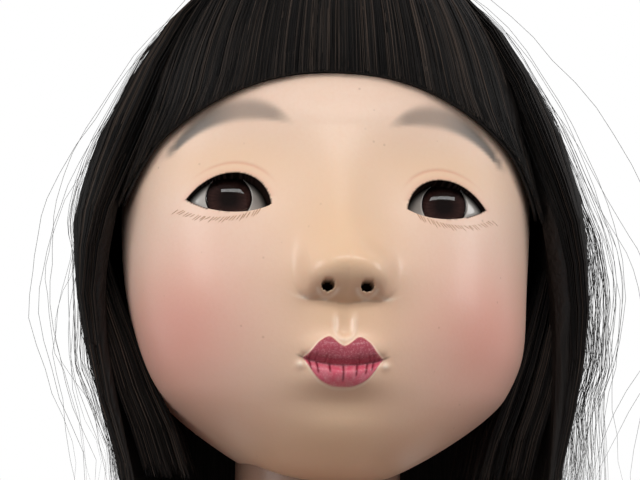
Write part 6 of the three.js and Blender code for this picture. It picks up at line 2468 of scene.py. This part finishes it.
@dataclass
class Arm(Limb):
    """One arm: stuffed upper arm, composition forearm with its hand, and the long sleeve."""

    splay: float = 34
    seam_x: float = 48.8
    root_x: float = 46.4
    root: float = 8.5
    upper: float = 55
    fore: float = 45
    elbow_radius: float = 8
    palm: float = 14
    palm_half_width: float = 7.5
    finger: float = 15
    finger_radius: float = 1.9
    sleeve_length: float = 160
    sleeve_inner_x: float = 57
    sleeve_half: float = 3.2
    sleeve_corner: float = 18
    sleeve_cut: float = 0.215  # length of the cut piece in metres
    sleeve_wall: float = 1.6
    arm_room: float = 0.6  # clearance round the arm
    gather_x: tuple[float, ...] = (50.6, 49.6, 48.6, 47.4, 46.0, 44.6, 44.2, 44.6, 47.0, 50.2)
    gather_out: tuple[float, ...] = (0.1, 0.4, 0.5, 0.15, -0.7, -1.7, -2.1, -2.4, -2.4, -1.6)

    def __post_init__(self) -> None:
        """Lays the arm's axis from the shoulder to the wrist."""
        splay = math.radians(self.splay)
        self.down = np.array([math.sin(splay), 0, -math.cos(splay)])
        self.outward = np.array([math.cos(splay), 0, math.sin(splay)])
        self.shoulder = np.array([self.seam_x + self.root, 0, self.body.arm_z])
        self.elbow = self.shoulder + self.down * self.upper
        self.wrist = self.elbow + self.down * self.fore
        self.rider = self.named("arm")

    def upper_arm(self) -> None:
        """The stuffed cloth upper arm, with sewn dents along it."""
        end = self.elbow - self.down * (self.elbow_radius * 0.5 + GAP)
        share = np.linspace(0, 1, 24)
        dents = 1 - 0.03 * np.sin(share * 40) ** 8
        plump = mix(self.root, self.elbow_radius, smooth(share, 0.4, 1)) * dents
        start = self.shoulder * (0, 1, 1) + (self.root_x, 0, 0)
        sketch = self.solids(
            limb_rings(mix(self.shoulder, end, share[:, None]), plump, 30),
            limb_rings([start, self.shoulder], [self.root] * 2, 30, 1),
        )
        obj = sketch.build(self.named("upper_arm_pad"), self.finishes.stuffed)
        dress(obj, self.rider, "stuffed_cloth", self.named("upper_arm"))

    def hand_lines(self) -> list[tuple[list[Array], list[float]]]:
        """Paths and radii of the four fingers and the thumb.

        Returns:
            A path and its radii for each.
        """
        inward = -self.outward
        palm_end = self.wrist + self.down * self.palm
        lines = []
        for k in range(4):
            across = mix(-1, 1, k / 3) * (self.palm_half_width - self.finger_radius)
            root = palm_end + np.array([0, across, 0])
            long = self.finger * (1 - 0.12 * abs(k - 1.3))
            knuckle = root + self.down * long * 0.55 + self.outward * 0.3
            tip = root + self.down * long + inward * 2
            lines.append(([root - self.down * 4, root, knuckle, tip], [1.9, 1.95, 1.8, 1.4]))
        root = self.wrist + self.down * self.palm * 0.36 + np.array([0, -self.palm_half_width * 0.7, 0])
        tip = root + self.down * 12 + inward * 3 + np.array([0, -4, 0])
        lines.append(([root, mix(root, tip, 0.5) + (0, -0.5, 0), tip], [2.4, 2.2, 1.7]))
        return lines

    def forearm(self) -> None:
        """The forearm and hand, melted into one smooth form, with pink nails."""
        share = np.linspace(0, 1, 8)
        path = mix(self.elbow + self.down * self.elbow_radius * 0.5, self.wrist, share[:, None])
        radii = smooth_through([0, 0.35, 0.8, 1], [8, 7.6, 5.8, 5.5], share)
        turn = circle(28)[None, :, None]
        places = np.linspace(0, 1.14, 9)[:, None, None]
        wide = smooth_through([0, 0.5, 1, 1.14], [5, 7.4, 7.5, 6.2], places)
        deep = smooth_through([0, 0.5, 1, 1.14], [4.4, 4.1, 3.4, 2.4], places)
        middle = self.wrist + self.down * self.palm * places
        palm = middle - self.outward * deep * np.cos(turn) + wide * np.sin(turn) * np.array([0, 1, 0])
        lines = self.hand_lines()
        sketch = self.solids(limb_rings(path, radii, 28), palm, *(limb_rings(*line, 18) for line in lines))
        obj = sketch.build(self.named("forearm_hand"), self.finishes.skin)
        fuse(obj, 0.4, 8)
        spots = vectors(obj.data.vertices, "co") / MM
        nails = np.zeros(len(spots))
        for points, radius in lines:
            spot = self.placed(points[-1] + self.outward * radius[-1] * 0.9 + self.down * 0.2)
            nails = np.maximum(nails, 1 - smooth(np.linalg.norm(spots - spot, axis=1), 0.9, 1.3))
        add_layer(obj.data, "nail", nails)
        dress(obj, self.rider, "gofun", self.named("forearm"))

    def sleeve_plane(self, seam: Array, mouth: Array, rise: float) -> tuple[Array, Array, Array]:
        """The sleeve's middle plane.

        Args:
            seam: middle of the armhole.
            mouth: middle of the sleeve's mouth.
            rise: how far the sleeve stands round the arm.

        Returns:
            Its points, their shares from the seam to the mouth, and their rows: 0 at the top, 1 under the arm,
            2 at the sash and 3 at the bottom.
        """
        mouth_low = mouth - self.outward * rise
        bottom = mouth_low[2] - self.sleeve_length
        u = np.linspace(0, 1, 72)
        bends = np.radians(np.linspace(90, self.splay, 7))
        arc = self.shoulder + rise * np.stack([np.cos(bends), 0 * bends, np.sin(bends)], -1)
        ends = np.concatenate([[seam + (0, 0, rise)], arc, [mouth + self.outward * rise]])
        over = np.stack([np.interp(u, [0, *np.linspace(0.07, 0.17, 7), 1], ends[:, k]) for k in range(3)], -1)
        under = mix(seam - (0, 0, rise), mouth_low, u[:, None])
        across = mix(self.sleeve_inner_x, mouth_low[0], u)
        sash_z = mix(self.body.chest_z - rise / 2, mouth_low[2] - 1.5 * rise, u)
        low = mix(bottom + self.sleeve_length * 0.2, bottom, u)
        for edge, radius in ((across[-1], self.sleeve_corner), (across[0], self.sleeve_corner / 3)):
            within = np.clip(1 - np.abs(across - edge) / radius, 0, 1)
            low = low + radius * (1 - np.sqrt(1 - within**2))
        tube = 1 - np.cos(np.linspace(0, math.pi / 2, 36))
        row = np.concatenate([tube, np.linspace(1, 2, 24)[1:], np.linspace(2, 3, 60)[1:]])
        lines = np.stack([over, under, *(np.stack([across, 0 * u, z], -1) for z in (sash_z, low))])
        k = np.minimum(row.astype(int), 2)
        plane = np.swapaxes(mix(lines[k], lines[k + 1], (row - k)[:, None, None]), 0, 1)
        return plane, *np.meshgrid(u, row, indexing="ij")

    def sleeve(self) -> None:
        """The long hanging sleeve, cut out where the arm runs through it."""
        tunnel = self.root + self.arm_room
        rise = tunnel + self.sleeve_wall + self.arm_room
        mouth = self.wrist - self.down * 3
        seam = self.shoulder * (0, 1, 1) + (self.seam_x, 0, 0)
        plane, u, row = self.sleeve_plane(seam, mouth, rise)
        away = np.full(plane.shape[:2], np.inf)
        for a, b in ((seam, self.shoulder), (self.shoulder, mouth)):
            along = np.clip(((plane - a) @ (b - a)) / ((b - a) @ (b - a)), 0, 1)
            away = np.minimum(away, np.linalg.norm(plane - a - along[..., None] * (b - a), axis=-1))
        hug = np.sqrt(np.clip(rise**2 - away**2, 0, None))
        rim = np.maximum(np.abs(2 * u - 1), row - 2) ** 6
        flat_half = self.sleeve_half * (1 - 0.75 * rim) * mix(0.1, 1, smooth(row, 0, 0.4))
        half = (flat_half**2.5 + hug**2.5) ** 0.4
        fold = 3 * np.sin(2 * math.pi * u) + 0.6 * np.sin(5 * math.pi * u + 1) * smooth(row, 1.4, 2.6)
        fold = smooth(row, 1, 2) * fold + 0.35 * np.sin(9 * u + 14 * row) * bump(u, row, 0.45, 1.1, 0.4, 0.35)
        front, back = (self.placed(np.stack([plane[..., 0], way * half + fold, plane[..., 2]], -1)) for way in (-1, 1))

        length = arc_lengths(front, 1)
        flat = flat_grid(plane[..., 0], plane[:, -1:, 2] + length[:, -1:] - length)
        sketch = Sketch().thick_sheet(front, back, flat, rim=1, fold=True)
        obj = sketch.build(self.named("sleeve_cloth"), self.finishes.kimono, self.finishes.lining)
        bore = self.solids(self.mitred(seam - (2, 0, 0), self.shoulder, mouth + self.down * 12, tunnel))
        cut_away(obj, bore.build("bore", self.finishes.lining))
        dress(obj, self.rider, "kimono_silk", self.named("sleeve"))
        arm = [self.named("forearm_hand")]
        self.armhole(rise)

    def armhole(self, rise: float) -> Object:
        """The gathered edge that joins the sleeve to the bodice, round about the shoulder's own axis.

        Args:
            rise: how far the sleeve stands round the arm.

        Returns:
            The piece.
        """
        x = np.array(self.gather_x)
        turn = np.linspace(0, 2 * math.pi, 73)[:, None]
        gathers = np.array(self.gather_out) + rise + 0.12 * np.sin(26 * turn) * (np.arange(x.size) < 6)
        ring = np.stack([x + 0 * turn, gathers * np.sin(turn), self.shoulder[2] + gathers * np.cos(turn)], -1)
        flat = flat_grid(np.cumsum(np.abs(np.diff(x, prepend=x[0]))), rise * turn)
        sketch = Sketch().hoop(self.placed(ring[:-1]), np.concatenate([flat, flat[:, -1:]], 1))
        obj = sketch.build(self.named("sleeve_armhole"), self.finishes.kimono)
        return dress(obj, self.rider, "kimono_silk", self.named("sleeve"))

    @staticmethod
    def mitred(start: Array, bend: Array, end: Array, radius: float) -> Array:
        """Rings of a round bar with one sharp bend.

        Args:
            start: the bar's first end.
            bend: where it bends.
            end: its other end.
            radius: the bar's radius.

        Returns:
            Three rings.
        """
        turn = circle(40)[:, None]
        first, second = ((b - a) / np.linalg.norm(b - a) for a, b in ((start, bend), (bend, end)))
        level = np.array([0.0, 1.0, 0.0])

        def ring(centre: Array, way: Array) -> Array:
            """A ring across a direction."""
            return centre + radius * (np.cos(turn) * level + np.sin(turn) * np.cross(way, level))

        half = math.tan(math.acos(np.clip(first @ second, -1, 1)) / 2)
        sign = np.sign(np.cross(first, second) @ level)
        corner = ring(bend, first) + sign * radius * np.sin(turn) * half * first
        return np.array([ring(start, first), corner, ring(end, second)])

    def build(self) -> None:
        """Makes the arm's pieces."""
        self.upper_arm()
        self.forearm()
        self.sleeve()


@dataclass
class Leg(Limb):
    """One leg's visible pieces: split-toe sock, sandal, and the stuffed thigh."""

    leg_x: float = 18.5
    base_z: float = 11
    foot: float = 58
    heel_y: float = 20
    half_width: float = 11
    half_height: float = 10.5
    ankle: float = 9
    ankle_share: float = 0.24  # the shin stands this far along the foot
    knee: float = 13
    knee_z: float = 87
    thigh_radius: float = 16
    cuff_z: float = 39.1
    sock: float = 1.6
    sock_wall: float = 1.0
    sock_cut: float = 0.06  # width of the cut piece in metres
    toe_slot: float = 1.6  # half of the slot's width
    toe_share: float = 0.32  # the slot lies this share of the half width inwards
    sole: float = 9
    sole_length: float = 76
    sole_half_width: float = 15.5
    strap: float = 1.7
    post_along: float = 0.82
    side_along: float = 0.42
    strap_room: float = 1.2  # room for the sock under the strap
    strap_ends: tuple[float, float] = (14, 166)  # its ends round the foot, in degrees
    heel_share: float = 0.94  # the sole is narrower at the heel
    sections: tuple[float, ...] = (0, 0.06, 0.26, 0.48, 0.72, 0.92, 1)
    widths: tuple[float, ...] = (0.35, 0.78, 0.86, 0.95, 1.05, 0.92, 0.5)
    depths: tuple[float, ...] = (0.38, 0.76, 1, 0.86, 0.67, 0.46, 0.28)
    sole_heights: tuple[float, ...] = (0, 0.5, 1.2, 3.4, 3.6, 4.0, 6.6, 6.8, 7.2, 8.2, 8.8, 9.0, 9.0, 9.0)
    sole_insets: tuple[float, ...] = (0.6, 0.15, 0, 0, 0.3, 0, 0, 0.3, 0, 0, 0.3, 0.9, 4, 10)

    def __post_init__(self) -> None:
        """Places the toes, the shin and the slot between the toes."""
        self.toe_y = self.heel_y - self.foot
        self.shin_y = self.heel_y - self.foot * self.ankle_share
        self.slot_x = self.leg_x - self.half_width * self.toe_share

    def foot_point(self, along: Array, angle: Array, out: float) -> Array:
        """Points round the foot: angle 0 is outwards and a quarter turn is up.

        Args:
            along: shares from the heel to the toes.
            angle: angles round the foot.
            out: the distance out of the foot.

        Returns:
            Points of the left foot.
        """
        along, angle = np.broadcast_arrays(along, angle)
        wide = self.half_width * np.interp(along, self.sections, self.widths)
        high = self.half_height * np.interp(along, self.sections, self.depths)
        y = self.heel_y - self.foot * along + out * (along <= 0) - out * (along >= 1)
        x = self.leg_x + (wide + out) * np.cos(angle)
        return np.stack([x, y, self.base_z + high + (high + out) * np.sin(angle)], -1)

    def tabi(self) -> None:
        """The white split-toe sock, open at its cuff."""
        along = np.unique(np.concatenate([np.linspace(0, 1, 50), self.sections]))[:, None]
        bottom = self.base_z + self.ankle * 0.89
        z = np.linspace(bottom, self.cuff_z + 3, 20)
        share = (z - bottom) / (self.knee_z - bottom)
        radii = [self.ankle, self.ankle, mix(self.ankle, self.knee, 0.95), self.knee]
        radius = np.interp(share, [0, 0.15, 0.7, 1], radii)[:, None] + self.sock
        shin = column_rings(self.leg_x, self.shin_y, z, radius, circle(48))
        sketch = self.solids(self.foot_point(along, circle(56)[None], self.sock), shin)
        obj = sketch.build(self.named("tabi_sock"), self.finishes.cotton)
        wide, low, high = self.toe_slot, self.toe_y - 6, self.toe_y - 2.2 + self.foot * 0.27
        ring = [(-wide, low), (wide, low), (wide, high - wide), (0, high), (-wide, high - wide)]
        slot = self.solids(np.array([[[self.slot_x + x, y, z] for x, y in ring] for z in (0, 60)]))
        fuse(obj, 0.6, 2)
        cut_away(obj, slot.build("slot", self.finishes.cotton))
        fuse(obj, 0.55, 7)
        self.open_cuff(obj)
        dress(obj, "body", "white_cotton", self.named("tabi"))
        area, wide = cloth_area(obj), self.sock_cut
        leg = [self.named("lower_leg")]

    def open_cuff(self, obj: Object) -> None:
        """Takes the sock's faces above the cuff away and gives the rest a wall.

        Args:
            obj: the closed sock.
        """
        mesh = obj.data
        kept = vectors(mesh.polygons, "center")[:, 2] <= self.cuff_z * MM
        faces = [tuple(face.vertices) for face, stays in zip(mesh.polygons, kept) if stays]
        sock = bpy.data.meshes.new(mesh.name)
        sock.from_pydata([tuple(v.co) for v in mesh.vertices], [], faces)
        sock.validate()
        sock.materials.append(self.finishes.cotton)
        obj.data = sock
        wall = obj.modifiers.new("wall", "SOLIDIFY")
        wall.thickness = self.sock_wall * MM
        wall.offset = -1
        finished(obj)

    def sandal(self) -> None:
        """The thick sole with a woven top."""
        straight = self.sole_length / 2 - self.sole_half_width
        turn = np.linspace(0, math.pi, 60)
        heel = np.stack([self.heel_share * np.cos(turn), self.heel_share * np.sin(turn)], -1)
        heel = heel * self.sole_half_width + (0, straight)
        toe = -np.stack([np.cos(turn), np.sin(turn)], -1) * self.sole_half_width - (0, straight)
        side = np.linspace(0, 1, 24)[1:-1, None]
        outline = np.concatenate([heel, mix(heel[-1], toe[0], side), toe, mix(toe[-1], heel[0], side)])
        inward = outline / np.linalg.norm(outline, axis=1, keepdims=True)
        middle = (self.leg_x, self.heel_y - self.foot * 0.5)
        rings = []
        for z, inset in zip(self.sole_heights, self.sole_insets):
            edge = outline - inward * inset + middle
            rings.append(np.concatenate([edge, np.full((len(edge), 1), z)], 1))
        obj = self.solids(np.array(rings)).build(self.named("sandal_base"), self.finishes.sole)
        dress(obj, "body", "sandal", self.named("sandal_sole"))

    def sandal_strap(self) -> None:
        """The padded strap from the post between the toes over both sides of the foot."""
        out = 2 * GAP + self.strap_room + self.strap
        wide = self.half_width * np.interp(self.post_along, self.sections, self.widths)
        post_angle = math.acos((self.slot_x - self.leg_x) / (wide + out))
        top = self.foot_point(np.array(self.post_along), np.array(post_angle), out)
        foot_of_post = np.array([self.slot_x, top[1], self.sole + GAP])
        post = mix(foot_of_post, top, np.linspace(0, 1, 8)[:, None])
        stacks = [limb_rings(post, [self.strap * 0.8] * 8, 18)]
        t = np.linspace(0, 1, 26)
        for end_angle in map(math.radians, self.strap_ends):
            line = self.foot_point(mix(self.post_along, self.side_along, t), mix(post_angle, end_angle, t), out)
            end = line[-1] * (1, 1, 0) + (0, self.strap, self.sole + GAP + self.strap)
            line = np.concatenate([line, mix(line[-1], end, np.array([[0.5], [1.0]]))])
            stacks.append(limb_rings(line, [self.strap] * len(line), 18))
        obj = self.solids(*stacks).build(self.named("sandal_thong"), self.finishes.strap)
        dress(obj, "body", "sandal_strap", self.named("sandal_strap"))

    def thigh(self) -> None:
        """The stuffed cloth thigh inside the skirt."""
        low, top, wide = self.knee_z, self.body.crotch_z, self.thigh_radius
        z = np.linspace(low + GAP, top, 40)
        radii = [self.knee, mix(self.knee, wide, 0.9), wide, wide - 2]
        radius = np.interp(z, [low, mix(low, top, 0.5), top - 3, top], radii)
        turn = circle(44)
        plump = radius[:, None] * (1 - 0.02 * np.abs(np.cos(2 * turn)) ** 12)
        sketch = self.solids(column_rings(self.leg_x, self.shin_y, z, plump, turn))
        obj = sketch.build(self.named("thigh_pad"), self.finishes.stuffed)
        dress(obj, "body", "stuffed_cloth", self.named("thigh"))

    def build(self) -> None:
        """Makes the leg's pieces."""
        self.tabi()
        self.sandal()
        self.sandal_strap()
        self.thigh()


@dataclass
class Torso:
    """What is inside the clothes: neck, padded midriff, wig cap, and the finishes of the plain solids."""

    body: BodyForm
    head: HeadForm
    finishes: Finishes
    neck_radius: float = 17.5
    neck_base: float = 20
    chin_z: float = 392
    cap_slope: float = 60 / 93  # the cap's edge falls from the hairline to the nape
    cap_rise: float = 10
    cap_cut: float = 0.15  # width of the cut piece in metres
    cap_sides: tuple[float, float] = (1.7, 0.8)  # its outer and inner side lie this far off the skull
    cap_round: float = 45  # turns its angles into flat lengths
    cap_height: float = 50
    neck_into_head: float = 9

    def neck(self) -> None:
        """The turned neck on its peg, with painted shade under the chin."""
        bottom, top = self.body.neck_z + GAP, self.chin_z + self.neck_into_head
        heights = [bottom, mix(bottom, self.chin_z, 0.35), mix(bottom, self.chin_z, 0.75), top]
        radii = [self.neck_base, self.neck_base - 1.5, self.neck_radius, self.neck_radius]
        z = np.linspace(bottom, top, 40)
        radius = smooth_through(heights, radii, z)[:, None]
        y = self.body.neck_setback + self.body.middle_y
        sketch = Sketch().loft(column_rings(0, y, z, radius, circle(96)))
        # painted shade under the chin
        shade = 0.9 * smooth(np.concatenate(sketch.points)[:, 2], self.chin_z - 12, self.chin_z - 3)
        dress(sketch.build("neck_turned", self.finishes.skin, shade=shade), "head", "gofun", "neck")

    def midriff(self) -> None:
        """The stuffed midriff between the two wooden blocks."""
        share = np.linspace(0, 1, 40)[:, None]
        z = np.linspace(self.body.waist_z + GAP, self.body.chest_z, 40)[:, None]
        angle = circle(120)[None]
        rings = self.body.point(angle, z, -0.5 * near_edge(share, 0.08) - 0.2 * np.abs(np.sin(6 * angle)) ** 9)
        obj = Sketch().loft(rings).build("midriff_stuffing", self.finishes.stuffed)
        dress(obj, "body", "stuffed_cloth", "midriff_pad")

    def below_cap(self, azimuth: Array, elevation: Array) -> Array:
        """Whether places of the skull lie below the cap's edge."""
        p = self.head.plain(azimuth, elevation)
        return p[..., 2] < self.cap_rise - self.cap_slope * p[..., 1]

    def wig_cap(self) -> None:
        """The cloth cap that the hair is sewn to, from the hairline down to the nape."""
        azimuth = circle(120)[:, None]
        bounds = np.full_like(azimuth, -1.2), np.full_like(azimuth, 1.4)
        low = last_true(*bounds, lambda at: self.below_cap(azimuth, at))
        elevation = mix(low + 0.02, math.radians(89.5), np.linspace(0, 1, 50)[None])
        skull = self.head.plain(azimuth, elevation)
        away = skull / np.linalg.norm(skull, axis=-1, keepdims=True)
        outer, within = (skull + away * out + self.head.middle for out in self.cap_sides)
        rows = np.concatenate([elevation, elevation[:1]]) * self.cap_height
        flat = flat_grid(closed(azimuth) * self.cap_round, rows)
        cloth = PlainClothFinish("wig_cap", srgb(34, 30, 28), srgb(20, 18, 17), 1500).make()
        obj = Sketch().thick_sheet(outer, within, flat, wrap=True).build("wig_cap_cloth", cloth)
        dress(obj, "head", "wig_cap", "wig_cap")

    def solids(self) -> None:
        """Gives the plain solids that stay their finishes."""
        kept = {
            self.finishes.wood: ("chest_block", "hip_block", "neck_peg"),
            self.finishes.skin: ("skull_shell", "left_lower_leg", "right_lower_leg"),
            self.finishes.putty: ("left_eye_putty", "right_eye_putty"),
        }
        for material, names in kept.items():
            for name in names:
                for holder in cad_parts[name].material_slots:
                    holder.material = material

    def build(self) -> None:
        """Makes the neck, midriff and cap and dresses the rest."""
        self.neck()
        self.midriff()
        self.wig_cap()
        self.solids()


# Stage


@dataclass(frozen=True)
class Lamp:
    """An oblong lamp that looks at the head, placed from it in metres, seen in mirrors or not."""

    name: str
    place: tuple[float, float, float]
    size: tuple[float, float]
    power: float
    mirrored: bool

    def add(self, target: Vector) -> None:
        """Adds the lamp.

        Args:
            target: the point that it looks at.
        """
        data = bpy.data.lights.new(self.name, "AREA")
        data.shape = "RECTANGLE"
        data.size, data.size_y = self.size
        data.energy = self.power
        lamp = added(self.name, data)
        where = target + Vector(self.place)
        turn = (target - where).to_track_quat("-Z", "Y").to_matrix().to_4x4()
        lamp.matrix_world = Matrix.Translation(where) @ turn
        lamp.visible_glossy = self.mirrored


@dataclass
class Stage:
    """Camera, lamps and white surroundings as in the photograph."""

    head: HeadForm
    distance: float = 228
    field_of_view: float = 34
    from_below: float = 12
    from_right: float = 3.5
    roll: float = 1.2
    middle_pixel: tuple[float, float] = (323.5, 245)
    picture: tuple[int, int] = (640, 480)
    floor_half: float = 1.2
    floor_z: float = -0.0002
    lamps: tuple[Lamp, ...] = (
        Lamp("front", (-0.16, -0.62, 0.15), (1.3, 0.4), 2.9, False),
        Lamp("aside_0", (-0.46, -0.2, 0.06), (0.2, 0.26), 0.72, True),
        Lamp("aside_2", (0.46, -0.2, 0.06), (0.2, 0.26), 0.72, True),
        Lamp("window", (0.06, -0.53, 0.26), (0.5, 0.07), 0.7, True),
    )

    def __post_init__(self) -> None:
        """Aims at the head's middle."""
        self.target = Vector(self.head.middle * MM)

    def camera(self) -> None:
        """Adds the camera a little below the face, on the doll's right."""
        below, right = math.radians(self.from_below), math.radians(self.from_right)
        back = Vector((-math.sin(right) * math.cos(below), -math.cos(right) * math.cos(below), -math.sin(below)))
        data = bpy.data.cameras.new("camera")
        data.angle = math.radians(self.field_of_view)
        data.clip_start = 0.01
        wide, high = self.picture
        data.shift_x = -(self.middle_pixel[0] - wide / 2) / wide
        data.shift_y = (self.middle_pixel[1] - high / 2) / wide
        camera = added("camera", data)
        place = Matrix.Translation(self.target + back * self.distance * MM)
        turn = (-back).to_track_quat("-Z", "Y").to_matrix().to_4x4()
        camera.matrix_world = place @ turn @ Matrix.Rotation(math.radians(self.roll), 4, "Z")
        bpy.context.scene.camera = camera

    def floor(self) -> None:
        """Adds the pale floor that the doll stands on."""
        half, z = self.floor_half, self.floor_z
        mesh = bpy.data.meshes.new("floor")
        corners = [(-half, -half, z), (half, -half, z), (half, half, z), (-half, half, z)]
        mesh.from_pydata(corners, [], [(0, 1, 2, 3)])
        s = Shader("pale_floor")
        grain = s.noise(s.place(), 40, 2)
        s.set(Base_Color=s.blend(grain, (0.9, 0.9, 0.9), (0.94, 0.94, 0.94)), Roughness=0.9)
        mesh.materials.append(s.material)
        floor = added("floor", mesh)
        floor.visible_diffuse = False

    def world(self) -> None:
        """White to the eye and in glass, and a softer light from above on everything else."""
        world = bpy.data.worlds.new("surroundings")
        world.use_nodes = True
        g = Nodes(world.node_tree)
        way = g.node("SeparateXYZ", {0: g.node("TexCoord").outputs["Generated"]}).outputs
        path = g.node("LightPath").outputs
        light = g.range(way["Z"], -0.5, 0.9, 0.04, 0.5)
        mirrored = g.range(way["Y"], -0.3, 0.5, 0.12, 1.0)
        for ray, seen in (("Glossy", mirrored), ("Transmission", 1.0), ("Camera", 1.0)):
            light = g.node("Mix", {0: path[f"Is {ray} Ray"], 2: light, 3: seen}, data_type="FLOAT").outputs[0]
        background = g.tree.nodes["Background"]
        g.put(background.inputs["Color"], (1, 1, 1))
        g.put(background.inputs["Strength"], light)
        bpy.context.scene.world = world

    def build(self) -> None:
        """Sets up the whole stage."""
        self.camera()
        for lamp in self.lamps:
            lamp.add(self.target)
        self.floor()
        self.world()
        bpy.context.scene.view_settings.view_transform = "Standard"


def main() -> None:
    """Builds the doll's looks and the stage."""
    logging.basicConfig(level=logging.INFO, format="%(name)s: %(message)s")
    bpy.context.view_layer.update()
    head = HeadForm()
    Face(head).build()
    for side in Side:
        GlassEye(head, side).build()
    Wig(head, WigForm()).build()
    body = BodyForm(float(head.middle[1]))
    finishes = Finishes()
    Torso(body, head, finishes).build()
    for side in Side:
        Leg(side, body, finishes).build()
        Arm(side, body, finishes).build()
    Kimono(body, finishes).build()
    Sash(body, finishes).build()
    Stage(head).build()


if __name__ == "__main__":
    main()
